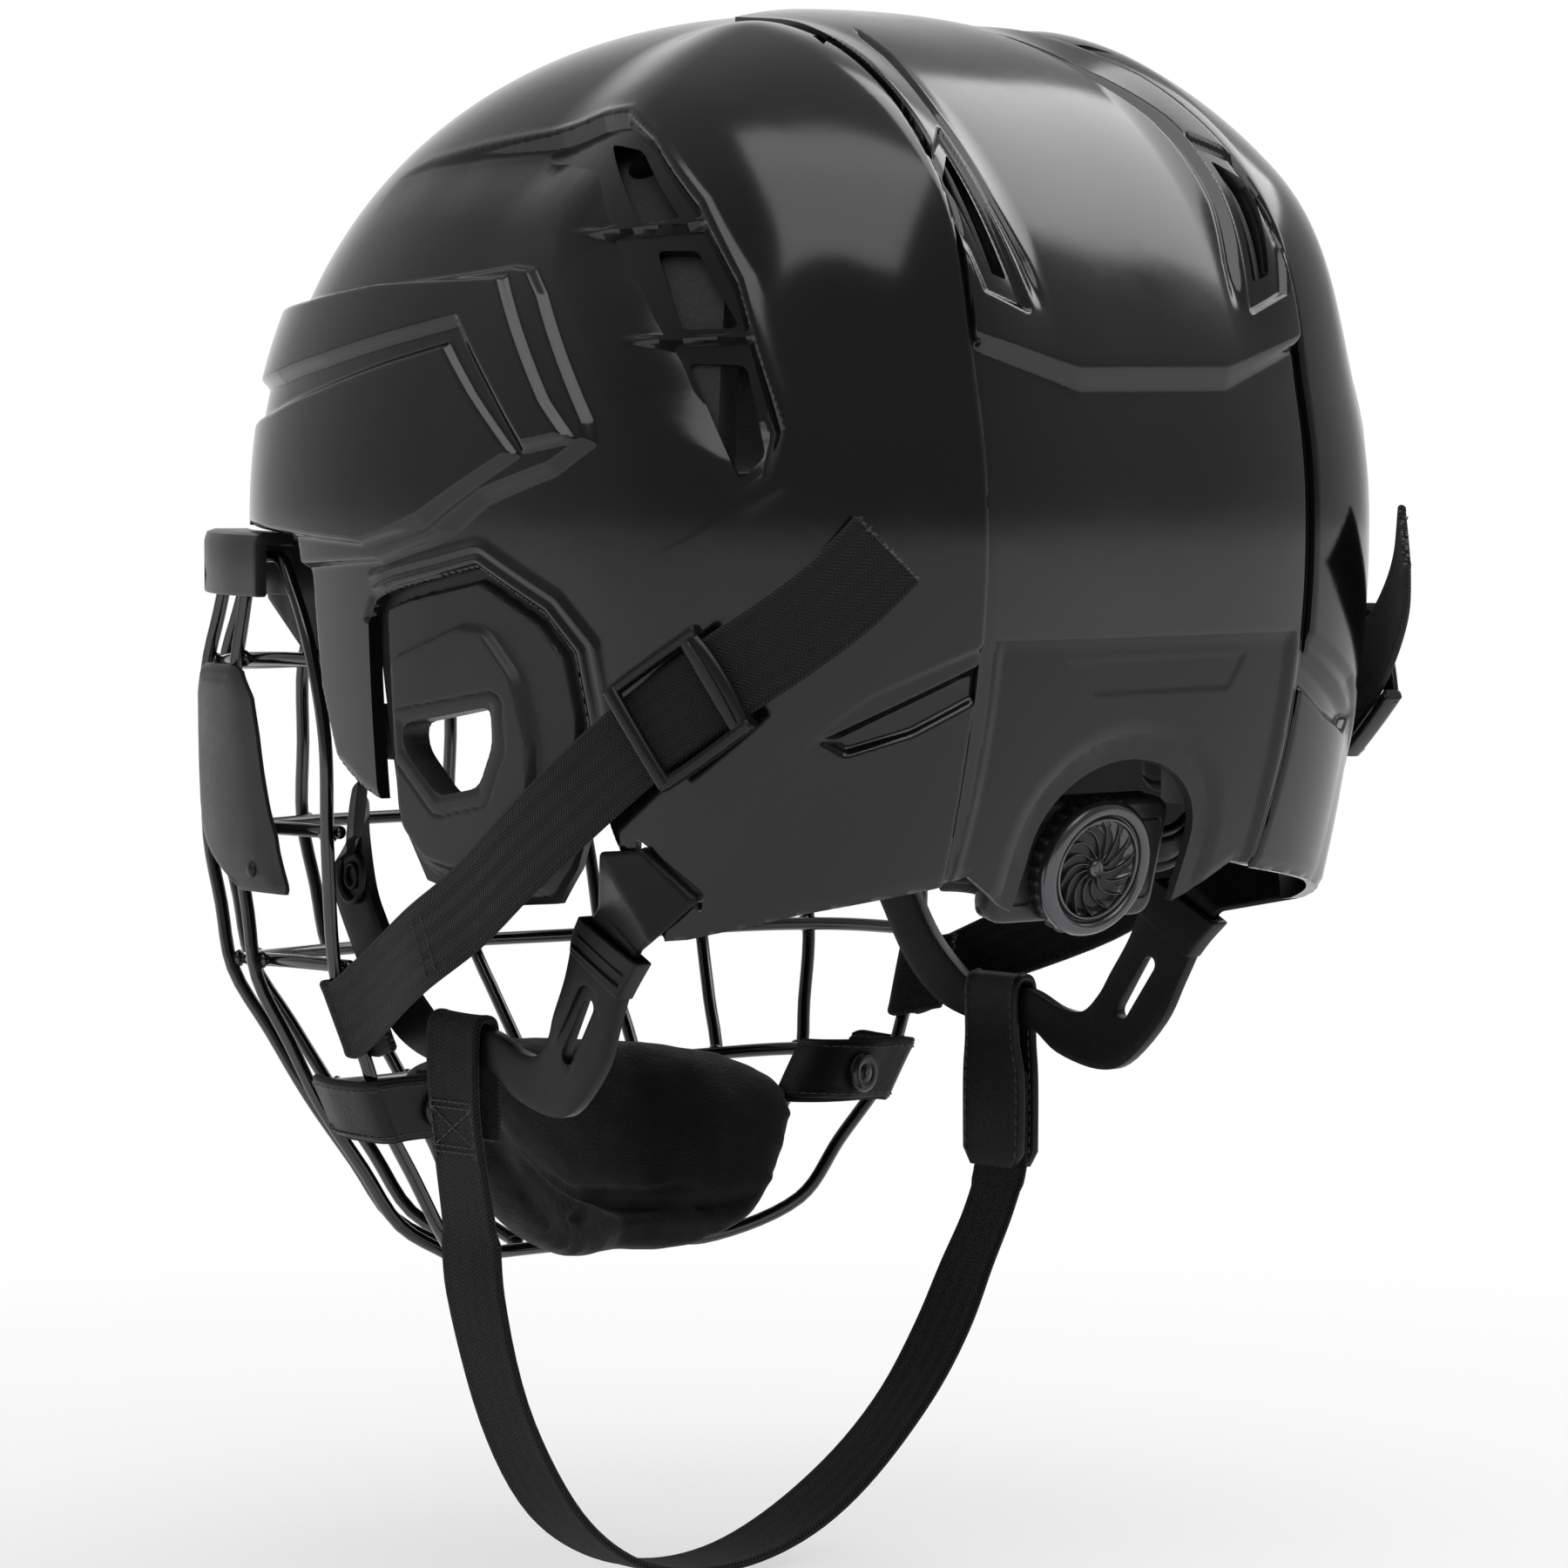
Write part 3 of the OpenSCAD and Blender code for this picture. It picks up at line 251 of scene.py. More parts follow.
def frames(path, closed):
    """Directions along a path, and two across it that turn as little as they can."""
    t = unit(np.roll(path, -1, 0) - np.roll(path, 1, 0)) if closed else unit(np.gradient(path, axis=0))
    e = np.zeros_like(path)
    e[0] = unit(np.cross(t[0], [0.31, 0.77, 0.55]))
    for i in range(1, len(path)):
        e[i] = unit(e[i - 1] - t[i] * np.dot(e[i - 1], t[i]))
    return t, e, np.cross(t, e)


def normals(path, half):
    """Outward normals of a flat band, from its path and its across vectors."""
    return unit(np.cross(unit(np.gradient(path, axis=0)), half))


def spread(path, half, s):
    """Grid of places across a band, at the shares s of its half width."""
    return path[:, None] + half[:, None] * s[None, :, None]


def tube_data(path, r, sides, closed=False):
    """Closed tube of radius r; an open one has flat ends."""
    path = np.asarray(path, float)
    n = len(path)
    r = np.broadcast_to(r, (n,))
    t, e, f = frames(path, closed)
    if closed:
        a = e[-1] - t[0] * np.dot(e[-1], t[0])
        w = math.atan2(np.dot(np.cross(a, e[0]), t[0]), np.dot(a, e[0]))
        k = w * np.arange(n)[:, None] / n
        e, f = e * np.cos(k) + f * np.sin(k), -e * np.sin(k) + f * np.cos(k)
    ang = turn(sides)
    ring = e[:, None] * np.cos(ang)[None, :, None] + f[:, None] * np.sin(ang)[None, :, None]
    v = path[:, None] + ring * r[:, None, None]
    faces = grid_faces(n, sides, loop_i=closed, loop_j=True).tolist()
    if not closed:
        faces += [list(range(sides))[::-1], list(range((n - 1) * sides, n * sides))]
    return v.reshape(-1, 3), faces


def round_end_tube(path, r, sides):
    """Tube whose ends close in a dome."""
    path = np.asarray(path, float)
    a, b = unit(path[0] - path[1]), unit(path[-1] - path[-2])
    w = np.linspace(0, math.pi / 2, 5)[1:]
    pre = [path[0] + a * r * math.sin(k) * 0.98 for k in w][::-1]
    post = [path[-1] + b * r * math.sin(k) * 0.98 for k in w]
    end = [r * max(math.cos(k), 0.05) for k in w]
    return tube_data(np.vstack([pre, path, post]), np.r_[end[::-1], np.full(len(path), r), end], sides)


def join(parts):
    """One mesh from several."""
    verts, faces, base = [], [], 0
    for v, f in parts:
        verts.append(np.asarray(v, float))
        faces += [[int(k) + base for k in q] for q in f]
        base += len(v)
    return np.vstack(verts), faces


def flip_x(data):
    v, f = data
    return np.asarray(v) * [-1, 1, 1], [list(q)[::-1] for q in f]


def sdf(poly, x, y):
    """Signed distance to a closed outline, negative inside."""
    poly = np.asarray(poly, float)
    d = np.full(x.shape, 1e9)
    inside = np.zeros(x.shape, bool)
    for a, b in zip(poly, np.roll(poly, -1, 0)):
        e = b - a
        w0, w1 = x - a[0], y - a[1]
        t = np.clip((w0 * e[0] + w1 * e[1]) / max(e @ e, 1e-12), 0, 1)
        d = np.minimum(d, np.hypot(w0 - e[0] * t, w1 - e[1] * t))
        cross = ((a[1] > y) != (b[1] > y)) & (x < (b[0] - a[0]) * (y - a[1]) / (b[1] - a[1] + 1e-12) + a[0])
        inside ^= cross
    return np.where(inside, -d, d)


def line_distance(line, x, y):
    """Distance to an open line, how far along it the nearest place lies (0 to 1), and on which side."""
    line = np.asarray(line, float)
    start = run_lengths(line)
    seg = np.diff(start)
    d = np.full(x.shape, 1e9)
    along = np.zeros(x.shape)
    side = np.zeros(x.shape)
    for k in range(len(line) - 1):
        a, e = line[k], line[k + 1] - line[k]
        w0, w1 = x - a[0], y - a[1]
        t = np.clip((w0 * e[0] + w1 * e[1]) / (e @ e), 0, 1)
        dk = np.hypot(w0 - e[0] * t, w1 - e[1] * t)
        near = dk < d
        d = np.where(near, dk, d)
        along = np.where(near, (start[k] + t * seg[k]) / start[-1], along)
        side = np.where(near, np.sign(e[0] * w1 - e[1] * w0), side)
    return d, along, side


U_MM, V_MM = 1.9, 1.9  # millimetres of surface per degree
PRISM_STEP = 0.8  # longest side of a cutter's outline, in degrees


def chart(points, v_mid):
    """(u, v) in degrees to a flat chart in about millimetres."""
    p = np.asarray(points, float)
    return np.stack([p[..., 0] * U_MM * math.cos(v_mid * DEG) ** 0.9, p[..., 1] * V_MM], -1)


def distance_on_skin(line, u, v, v_mid):
    """line_distance in the chart about the height v_mid."""
    q = chart(np.stack([u, v], -1), v_mid)
    return line_distance(chart(line, v_mid), q[..., 0], q[..., 1])


def plateau(u, v, outline, v_mid, edge, shift=0.0):
    """1 inside the outline, falling to 0 across an edge of that width outside it."""
    q = chart(np.stack([u, v], -1), v_mid)
    d = sdf(chart(outline, v_mid), q[..., 0], q[..., 1]) - shift
    return 1 - step(d / edge + 0.5)


def flat_triangles(p):
    """Triangles over a flat outline, all turning the same way."""
    out = []
    for a, b, c in tessellate_polygon([[Vector((x, y, 0)) for x, y in p]]):
        s = (p[b, 0] - p[a, 0]) * (p[c, 1] - p[a, 1]) - (p[b, 1] - p[a, 1]) * (p[c, 0] - p[a, 0])
        out.append([a, b, c] if s > 0 else [a, c, b])
    return out


def wall_faces(n):
    """Walls between two rings of n points, the second stored after the first."""
    return [[k, k + n, (k + 1) % n + n, (k + 1) % n] for k in range(n)]


def prism_faces(p):
    """Faces of a solid with the outline p on top and again below."""
    n = len(p)
    ends = [f for t in flat_triangles(p) for f in (t, [t[0] + n, t[2] + n, t[1] + n])]
    return ends + wall_faces(n)


def ring_solid_faces(n):
    """Walls and two flat ends over two rings of n points."""
    return wall_faces(n) + [list(range(n)), list(range(2 * n - 1, n - 1, -1))]


def pole_faces(m, n):
    """Fans that close m rings of n points at two poles stored after them."""
    fans = [[m * n, (j + 1) % n, j] for j in range(n)]
    return fans + [[m * n + 1, (m - 1) * n + j, (m - 1) * n + (j + 1) % n] for j in range(n)]


def prism(outline, lo, hi, surface=skin):
    """Closed cutter over an outline of (u, v), from offset lo to offset hi."""
    out = []
    p = np.asarray(outline, float)
    for a, b in zip(p, np.roll(p, -1, 0)):
        k = max(1, int(np.linalg.norm(b - a) / PRISM_STEP))
        out += [a + (b - a) * t for t in np.arange(k) / k]
    p = np.array(out)
    area = np.sum(p[:, 0] * np.roll(p[:, 1], -1) - np.roll(p[:, 0], -1) * p[:, 1])
    if area < 0:
        p = p[::-1]
    return np.vstack([surface(p[:, 0], p[:, 1], hi), surface(p[:, 0], p[:, 1], lo)]), prism_faces(p)


def modify(obj, kind, **props):
    """Adds a modifier, sets it and applies it."""
    mod = obj.modifiers.new(kind.lower(), kind)
    for k, v in props.items():
        setattr(mod, k, v)
    bpy.context.view_layer.objects.active = obj
    for o in bpy.context.selected_objects:
        o.select_set(False)
    obj.select_set(True)
    with bpy.context.temp_override(object=obj, active_object=obj):
        bpy.ops.object.modifier_apply(modifier=mod.name)


def combine(obj, tool, operation):
    """Boolean of obj with the solid tool, which is used up."""
    modify(obj, "BOOLEAN", operation=operation, solver="MANIFOLD", object=tool)
    bpy.data.objects.remove(tool)


def boolean(obj, cutters, operation="DIFFERENCE"):
    """Cuts solids out of obj, or keeps what they share."""
    for data in cutters:
        tool = add_object("cutter", *data, None, smooth=False)
        recalc(tool)
        combine(obj, tool, operation)


def bevel(obj, width, segments=2, angle=35):
    modify(obj, "BEVEL", width=width * MM, segments=segments, limit_method="ANGLE", angle_limit=angle * DEG,
           harden_normals=False, use_clamp_overlap=True)


def add_solid(name, data, mat, **look):
    """Object whose faces are all turned outwards."""
    obj = add_object(name, *data, mat, **look)
    recalc(obj)
    return obj


def coordinates(mesh, what="co"):
    """Places (or normals) of a mesh's points."""
    values = np.empty(len(mesh.vertices) * 3)
    mesh.vertices.foreach_get(what, values)
    return values.reshape(-1, 3)


def move_points(mesh, places):
    mesh.vertices.foreach_set("co", places.ravel())
    mesh.update()


def mirror_mesh(obj):
    """Turns a left piece into its right one."""
    move_points(obj.data, coordinates(obj.data) * [-1, 1, 1])
    obj.data.flip_normals()
    obj.data.update()


def finish_piece(obj, body, node_name, side=1):
    """Says what the piece rides and replaces; side -1 mirrors it first."""
    if side < 0:
        mirror_mesh(obj)
    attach(obj, body)
    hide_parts(node_name)


# Materials

def new_material(name):
    m = bpy.data.materials.new(name)
    m.use_nodes = True
    tree = m.node_tree
    bsdf = tree.nodes["Principled BSDF"]
    return m, tree, bsdf


def node(tree, kind, **props):
    n = tree.nodes.new(kind)
    for k, v in props.items():
        if k in n.inputs:
            n.inputs[k].default_value = v
        else:
            setattr(n, k, v)
    return n


def noise(tree, coord, scale, detail):
    n = node(tree, "ShaderNodeTexNoise", Scale=scale, Detail=detail, Roughness=0.55)
    tree.links.new(coord, n.inputs["Vector"])
    return n.outputs["Fac"]


def math_node(tree, operation, *values, **props):
    """Sum, product and the like of sockets and plain numbers."""
    n = node(tree, "ShaderNodeMath", operation=operation, **props)
    for socket, value in zip(n.inputs, values):
        if isinstance(value, (int, float)):
            socket.default_value = value
        else:
            tree.links.new(value, socket)
    return n.outputs[0]


def ramp(tree, value, lo, hi, a, b):
    """Value mapped from lo..hi to a..b."""
    n = node(tree, "ShaderNodeMapRange", **{"From Min": lo, "From Max": hi, "To Min": a, "To Max": b})
    tree.links.new(value, n.inputs["Value"])
    return n.outputs["Result"]


def mix_colour(tree, fac, a, b):
    n = node(tree, "ShaderNodeMix", data_type="RGBA")
    n.inputs["A"].default_value = (*a, 1)
    n.inputs["B"].default_value = (*b, 1)
    tree.links.new(fac, n.inputs["Factor"])
    return n.outputs["Result"]


def bump(tree, bsdf, height, strength, distance, chain=None):
    """Bump on the shader, laid over an earlier one given as chain."""
    n = node(tree, "ShaderNodeBump", Strength=strength, Distance=distance)
    tree.links.new(height, n.inputs["Height"])
    if chain is not None:
        tree.links.new(chain, n.inputs["Normal"])
    tree.links.new(n.outputs["Normal"], bsdf.inputs["Normal"])
    return n.outputs["Normal"]


def object_coord(tree):
    return node(tree, "ShaderNodeTexCoord").outputs["Object"]


def cells(tree, coord, scale):
    n = node(tree, "ShaderNodeTexVoronoi", Scale=scale)
    tree.links.new(coord, n.inputs["Vector"])
    return n.outputs["Distance"]


def set_levels(bsdf, **levels):
    """Plain values of the shader's sockets, by their names with _ for a space."""
    for name, value in levels.items():
        bsdf.inputs[name.replace("_", " ")].default_value = value


def moulded(name, colour, rough, spread, grain=0.0, grain_scale=2600.0, edge_wear_and_glint=0.25, shine=0.5, metal=0.0):
    """Moulded plastic: uneven gloss, fine grain and paler edges, partly wear and partly a painted highlight on
    crests.
    """
    m, tree, bsdf = new_material(name)
    co = object_coord(tree)
    edge = node(tree, "ShaderNodeNewGeometry").outputs["Pointiness"]
    pale = tuple(min(1, c * 2.2 + 0.02) for c in colour)
    # Convex edges take a paler colour: wear, and on the dial a painted highlight standing in for glints on its vane
    # crests.
    tree.links.new(mix_colour(tree, ramp(tree, edge, 0.53, 0.62, 0.0, edge_wear_and_glint), colour, pale), bsdf.inputs["Base Color"])
    cloud = ramp(tree, noise(tree, co, 34.0, 4.0), 0.3, 0.7, rough - spread, rough + spread)
    fine = ramp(tree, noise(tree, co, 420.0, 2.0), 0.45, 0.8, 0.0, spread * 0.6)
    tree.links.new(math_node(tree, "ADD", cloud, fine), bsdf.inputs["Roughness"])
    chain = bump(tree, bsdf, noise(tree, co, 60.0, 2.0), 0.08, 0.0006)
    if grain:
        bump(tree, bsdf, noise(tree, co, grain_scale, 2.0), grain, 0.00012, chain)
    set_levels(bsdf, Specular_IOR_Level=shine, Metallic=metal)
    return m


def woven(name, colour, pale, strength=0.6):
    """Webbing: diagonal twill ribs from the band's own length and width, in millimetres."""
    m, tree, bsdf = new_material(name)
    sep = node(tree, "ShaderNodeSeparateXYZ")
    tree.links.new(node(tree, "ShaderNodeTexCoord").outputs["UV"], sep.inputs[0])
    along, across = sep.outputs["X"], sep.outputs["Y"]

    def wave(value, pitch, share):
        sine = math_node(tree, "SINE", math_node(tree, "MULTIPLY_ADD", value, 2 * math.pi / pitch, 0.0))
        return math_node(tree, "MULTIPLY", sine, share)

    slant = math_node(tree, "ADD", along, math_node(tree, "PINGPONG", across, 1.9))
    height = math_node(tree, "ADD", wave(slant, 0.95, 0.6), wave(across, 0.62, 0.4))
    fuzz = noise(tree, object_coord(tree), 2400.0, 3.0)
    height = math_node(tree, "ADD", height, math_node(tree, "MULTIPLY", fuzz, 0.8))
    # Raised ribs take the paler colour and grooves the darker one: painted light and shade on the weave, mixed with
    # random fuzz.
    tree.links.new(mix_colour(tree, ramp(tree, height, -0.7, 1.5, 0.0, 1.0), colour, pale), bsdf.inputs["Base Color"])
    tree.links.new(ramp(tree, height, -1.0, 1.5, 0.82 + 0.1, 0.82 - 0.12), bsdf.inputs["Roughness"])
    bump(tree, bsdf, height, strength, 0.0003)
    set_levels(bsdf, Sheen_Weight=0.1, Sheen_Roughness=0.4, Specular_IOR_Level=0.25)
    return m


def cloth(name, colour, pale, scale=1500.0, sheen=0.35):
    """Soft knit: small loops, lint and a little sheen."""
    m, tree, bsdf = new_material(name)
    co = object_coord(tree)
    lint = noise(tree, co, 260.0, 5.0)
    tree.links.new(mix_colour(tree, ramp(tree, lint, 0.35, 0.75, 0.0, 1.0), colour, pale), bsdf.inputs["Base Color"])
    tree.links.new(ramp(tree, lint, 0.3, 0.7, 0.78, 0.95), bsdf.inputs["Roughness"])
    chain = bump(tree, bsdf, lint, 0.2, 0.0006)
    bump(tree, bsdf, cells(tree, co, scale), 0.45, 0.00035, chain)
    set_levels(bsdf, Sheen_Weight=sheen, Sheen_Roughness=0.45)
    return m


def foam_material(name, colour):
    """Closed-cell foam: small cells a little darker in their middles, where the bump sinks: painted shade in the
    cells.
    """
    m, tree, bsdf = new_material(name)
    co = object_coord(tree)
    cell = cells(tree, co, 900.0)
    dark, light = (tuple(c * k for c in colour) for k in (0.75, 1.2))
    # Cell middles, where the cell bump below sinks, take the darker colour: painted shade in the cell hollows.
    tree.links.new(mix_colour(tree, ramp(tree, cell, 0.1, 0.7, 0.0, 1.0), dark, light), bsdf.inputs["Base Color"])
    chain = bump(tree, bsdf, noise(tree, co, 120.0, 3.0), 0.25, 0.0008)
    bump(tree, bsdf, cell, 0.3, 0.0002, chain)
    set_levels(bsdf, Roughness=0.88)
    return m


MAT = {
    "gloss": moulded("gloss_shell_black", (0.0032, 0.0032, 0.0034), 0.15, 0.03, edge_wear_and_glint=0.06, shine=0.45),
    "satin": moulded("satin_shell_grey", (0.024, 0.0242, 0.025), 0.36, 0.05, grain=0.2, edge_wear_and_glint=0.14, shine=0.26),
    "rear_gloss": moulded("rear_shell_black", (0.0045, 0.0045, 0.0047), 0.17, 0.04, edge_wear_and_glint=0.08, shine=0.6),
    "plastic": moulded("moulded_black", (0.013, 0.013, 0.0135), 0.34, 0.07, grain=0.3, edge_wear_and_glint=0.2, shine=0.3),
    "wire": moulded("coated_wire_black", (0.004, 0.004, 0.0043), 0.12, 0.04, edge_wear_and_glint=0.1, shine=0.85),
    "rubber": moulded("flexible_black", (0.006, 0.006, 0.0063), 0.40, 0.06, grain=0.25, edge_wear_and_glint=0.15, shine=0.2),
    # The dial's strongly paler edges are partly a painted highlight on its vane crests and ring.
    "dial": moulded("dial_grey", (0.10, 0.101, 0.105), 0.22, 0.06, grain=0.12, edge_wear_and_glint=0.35, metal=0.85),
    "snap": moulded("snap_black", (0.03, 0.03, 0.032), 0.24, 0.06, edge_wear_and_glint=0.5, metal=0.6),
    "web": woven("webbing_black", (0.0025, 0.0025, 0.0026), (0.015, 0.015, 0.0155)),
    "web_fine": woven("webbing_fine", (0.0035, 0.0035, 0.0037), (0.017, 0.017, 0.0175), strength=0.45),
    "knit": cloth("cup_knit", (0.0016, 0.0016, 0.0017), (0.0055, 0.0055, 0.0057), sheen=0.12),
    "liner_cloth": cloth("pad_cloth", (0.012, 0.012, 0.0125), (0.03, 0.03, 0.031), scale=1900.0),
    "leather": moulded("tab_leather", (0.010, 0.010, 0.0105), 0.42, 0.08, grain=0.8, grain_scale=900.0, edge_wear_and_glint=0.3,
                       shine=0.25),
    "foam": foam_material("liner_foam", (0.12, 0.12, 0.123)),
    "foam_dark": foam_material("liner_foam_dark", (0.016, 0.016, 0.0165)),
    "thread": moulded("thread", (0.03, 0.03, 0.031), 0.6, 0.05),
    "gloss_plastic": moulded("buckle_black", (0.006, 0.006, 0.0065), 0.26, 0.05, grain=0.1, edge_wear_and_glint=0.15, shine=0.3),
    "dial_dark": moulded("housing_grey", (0.022, 0.0222, 0.023), 0.33, 0.06, grain=0.15, edge_wear_and_glint=0.2, shine=0.35),
}


# Shells

WINDOW_Y, WINDOW_X = [8, 40, 64, 90, 105, 150], [26, 33, 38, 43, 46, 46]


def window_half(y):
    """Half width of the opening between the front shell's rear edges at the place y."""
    return np.interp(y, WINDOW_Y, WINDOW_X)


def window_outline(grow, y_front):
    side = spline([(x + grow, y) for x, y in zip(WINDOW_X, [y_front] + WINDOW_Y[1:])], 6)
    return np.vstack([side, side[::-1] * [-1, 1]])


def plan_prism(outline, lo=-90, hi=210, up=2):
    """Straight prism over an outline; up names the axis it runs along."""
    p = np.asarray(outline, float)
    n = len(p)
    cols = [0, 1] if up == 2 else [0, 2]
    v = np.zeros((2 * n, 3))
    v[:n, cols], v[n:, cols] = p, p
    v[:n, up], v[n:, up] = hi, lo
    return v, prism_faces(p)


def slab_data(top, bottom):
    """Closed solid between two grids of points."""
    ni, nj = top.shape[:2]
    n = ni * nj
    faces = grid_faces(ni, nj).tolist()
    faces += [[q[0], q[3], q[2], q[1]] for q in grid_faces(ni, nj, n)]
    ring = [i * nj for i in range(ni - 1)] + [(ni - 1) * nj + j for j in range(nj - 1)]
    ring += [i * nj + nj - 1 for i in range(ni - 1, 0, -1)] + list(range(nj - 1, 0, -1))
    faces += [[a, a + n, b + n, b] for a, b in zip(ring, ring[1:] + ring[:1])]
    return np.vstack([top.reshape(-1, 3), bottom.reshape(-1, 3)]), faces


def strip(a, v_low, lo, hi):
    """Cutter from a line of (u, v) down to a level v_low, following the surface."""
    p = densify(a, 1.2)
    t = np.linspace(0, 1, 8)
    u = np.repeat(p[:, :1], len(t), 1)
    v = p[:, 1:] + (v_low - p[:, 1:]) * t[None]
    return slab_data(skin0(u, v, hi), skin0(u, v, lo))


OUTER_STEP = [(-12, 25), (46, 24.6), (67, 25.4), (98, 28.6), (101.5, 28.2), (104.5, 25), (113.5, 11), (114, 8.5),
              (109, 5.5), (99, 2.6), (90, -2), (82, -5), (60, -7), (-12, -7)]
BROW_BAND = [(-12, 22.8), (46, 23), (60, 24), (76, 26), (98, 26.6), (108, 12.8), (112, 8.8), (105, 7.6), (99, 14),
             (92, 21), (82, 19), (70, 16.5), (58, 14.5), (46, 13.6), (32, 13.5), (-12, 13.5)]
BROW_PANEL = [(-12, 9), (16, 9), (32, 9.3), (46, 10), (58, 11.5), (70, 14), (82, 17), (91, 19), (97, 13.5),
              (104.5, 7.2), (90, 0.6), (80, -2.5), (66, -1.6), (-12, -0.8)]
SCOOP_EDGE = [(58, 42), (66, 44), (78, 46), (94, 48), (104, 48.6), (110, 48), (116, 44), (124, 35), (129, 26),
              (132, 16), (134, 10), (133, 5), (129, 2.5)]
SCOOP_DEPTH = [0.0, 0.6, 1.6, 3.2, 4.2, 5.0, 6.0, 6.6, 6.0, 4.4, 2.6, 1.0, 0.0]
SIDE_SLOTS = [[(107, 45.2), (113.6, 43.6), (121.2, 34.4), (115.5, 34.2)],
              [(118.5, 30.8), (123.8, 30.6), (129, 21.6), (122.6, 21.4)],
              [(123.5, 17.6), (129.8, 17.4), (132.0, 7.6), (129.6, 5)]]
BROW_SLOTS = [[(7, 12.4), (25, 12.4), (25, 10), (7, 10)], [(29, 12.6), (45, 12.8), (45, 10.6), (29, 10.2)]]
HARNESS_SLOT = [(118.2, -35.9), (126.2, -40.4), (125.8, -42), (117.9, -37.6)]
CROWN_SLOT = [(137.8, 63.6), (142.4, 67.2), (139.6, 60.4)]
FIN_LINES = [((104, 32.6), (125.5, 33.4)), ((114, 19.8), (131.5, 20.3))]
FACE_LINE = [(-81, -34.5), (-76, -33), (-71, -30), (-68.5, -22), (-67.2, -8), (-65.8, -1.6), (-50, -0.6), (50, -0.6),
             (65.8, -1.6), (67.2, -8), (68.5, -22), (71, -30), (76, -33), (81, -34.5)]
EAR_LINE = [(79, -12.5), (80, -10), (84, -8.4), (90, -6.8), (97, -5), (107, -11), (111, -16), (112.4, -24),
            (112.6, -29), (115.3, -36.3), (121, -44)]
REAR_LINE = [(114, -44.6), (124, -44), (138, -42), (152, -40.5), (160, -39.6), (166, -39)]
REAR_LEDGE = [(133, -30.8), (138.1, -24.7), (142.7, -20.7), (149.8, -17.1), (157.2, -13.8), (164, -11)]
CHANNEL = [(137.5, -25.8), (154.3, -17.0), (156.5, -16.4), (156.5, -20.6), (147.6, -25.4), (140.5, -27.6)]


FRONT_STEPS = [(2.1, OUTER_STEP, 12, 2.6, -1.0), (2.2, BROW_BAND, 16, 2.0, -0.6),
               (1.7, BROW_PANEL, 8, 2.0, -0.6)]  # rise, outline, height it is charted about, edge width, shift
SCOOP_MID, LEDGE_MID = 28, -22  # heights about which those reliefs are charted
CUT_V, CUT_DEEP = -50, -16  # where the cuts along the lower edge end


def mirror_line(line):
    return [(-a, b) for a, b in line]


def sides_of(outline):
    return [outline, mirror_line(outline)]


def soft_reach(line, x, y):
    """Distance to an open line and the share reached, blended where two of its parts are as near."""
    start = run_lengths(line)
    ds, ts = [], []
    for n in range(len(line) - 1):
        a, e = line[n], line[n + 1] - line[n]
        t = np.clip(((x - a[0]) * e[0] + (y - a[1]) * e[1]) / (e @ e), 0, 1)
        ds.append(np.hypot(x - a[0] - e[0] * t, y - a[1] - e[1] * t))
        ts.append((start[n] + t * (start[n + 1] - start[n])) / start[-1])
    ds, ts = np.array(ds), np.array(ts)
    w = np.exp(-0.5 * (ds - ds.min(0)))
    return (w * ds).sum(0) / w.sum(0), (w * ts).sum(0) / w.sum(0)


def side_angle(u):
    """Angle from straight ahead, the same for both sides."""
    return np.abs((u + 180) % 360 - 180)


def front_height(u, v):
    """Relief of the front shell over its smooth surface, in millimetres."""
    a = side_angle(u)
    h = sum(rise * plateau(a, v, *shape) for rise, *shape in FRONT_STEPS)
    h -= 0.9 * step((46 - a) / 22) * step((v + 4) / 5) * step((16 - v) / 5)  # room for the cage swung up
    line = chart(SCOOP_EDGE, SCOOP_MID)
    q = chart(np.stack([a, v], -1), SCOOP_MID)
    d, _, side = line_distance(line, q[..., 0], q[..., 1])
    d_far, t = soft_reach(line, q[..., 0], q[..., 1])
    reached = run_lengths(line)
    depth = np.interp(t, reached / reached[-1], SCOOP_DEPTH)
    width = np.interp(t, [0, 0.35, 0.6, 1], [12, 24, 32, 24])
    near = step((a - 50) / 12) * step((150 - a) / 6) * step((v + 8) / 10) * step((64 - v) / 8)
    drop = depth * step(d / 2.4) * (1 - step((d_far - 5) / width) ** 0.8)
    lip = 0.5 * np.exp(-((d - 0.9) / 1.5) ** 2) * np.clip(depth / 4, 0, 1)
    h += near * np.where(side < 0, -drop, lip)
    for ends in FIN_LINES:
        fd, ft, _ = distance_on_skin(ends, a, v, SCOOP_MID)
        grow = step(ft / 0.42)
        top = 1 - step((fd - 0.15 - 0.4 * grow) / 0.9)
        h = h + np.maximum(0, -0.3 - h) * top * grow * (side < 0)
    d, _, side = distance_on_skin(REAR_LEDGE, a, v, LEDGE_MID)
    h -= 1.1 * step(np.where(side < 0, d, -d) / 2.2 + 0.5) * step((a - 131) / 7) * (v < 0)
    h -= 1.9 * plateau(a, v, CHANNEL, LEDGE_MID, 2.4, -0.8)
    d, t, _ = distance_on_skin(EAR_LINE[1:9], a, v, -14)
    band = step(t / 0.06) * step((1 - t) / 0.06)
    h += band * (0.75 * np.exp(-((d - 1.9) / 1.1) ** 2) + 0.6 * np.exp(-((d - 5.2) / 1.2) ** 2))
    return h


def axis_steps(*stretches):
    """Values over (start, end, step) stretches; even in number."""
    out = []
    for a, b, s in stretches:
        k = 2 * max(1, int(round((b - a) / s / 2)))
        out += list(a + (b - a) * np.arange(k) / k)
    return np.array(out)


POLE_V = 89.3  # where the grid ends and the fan to the pole begins


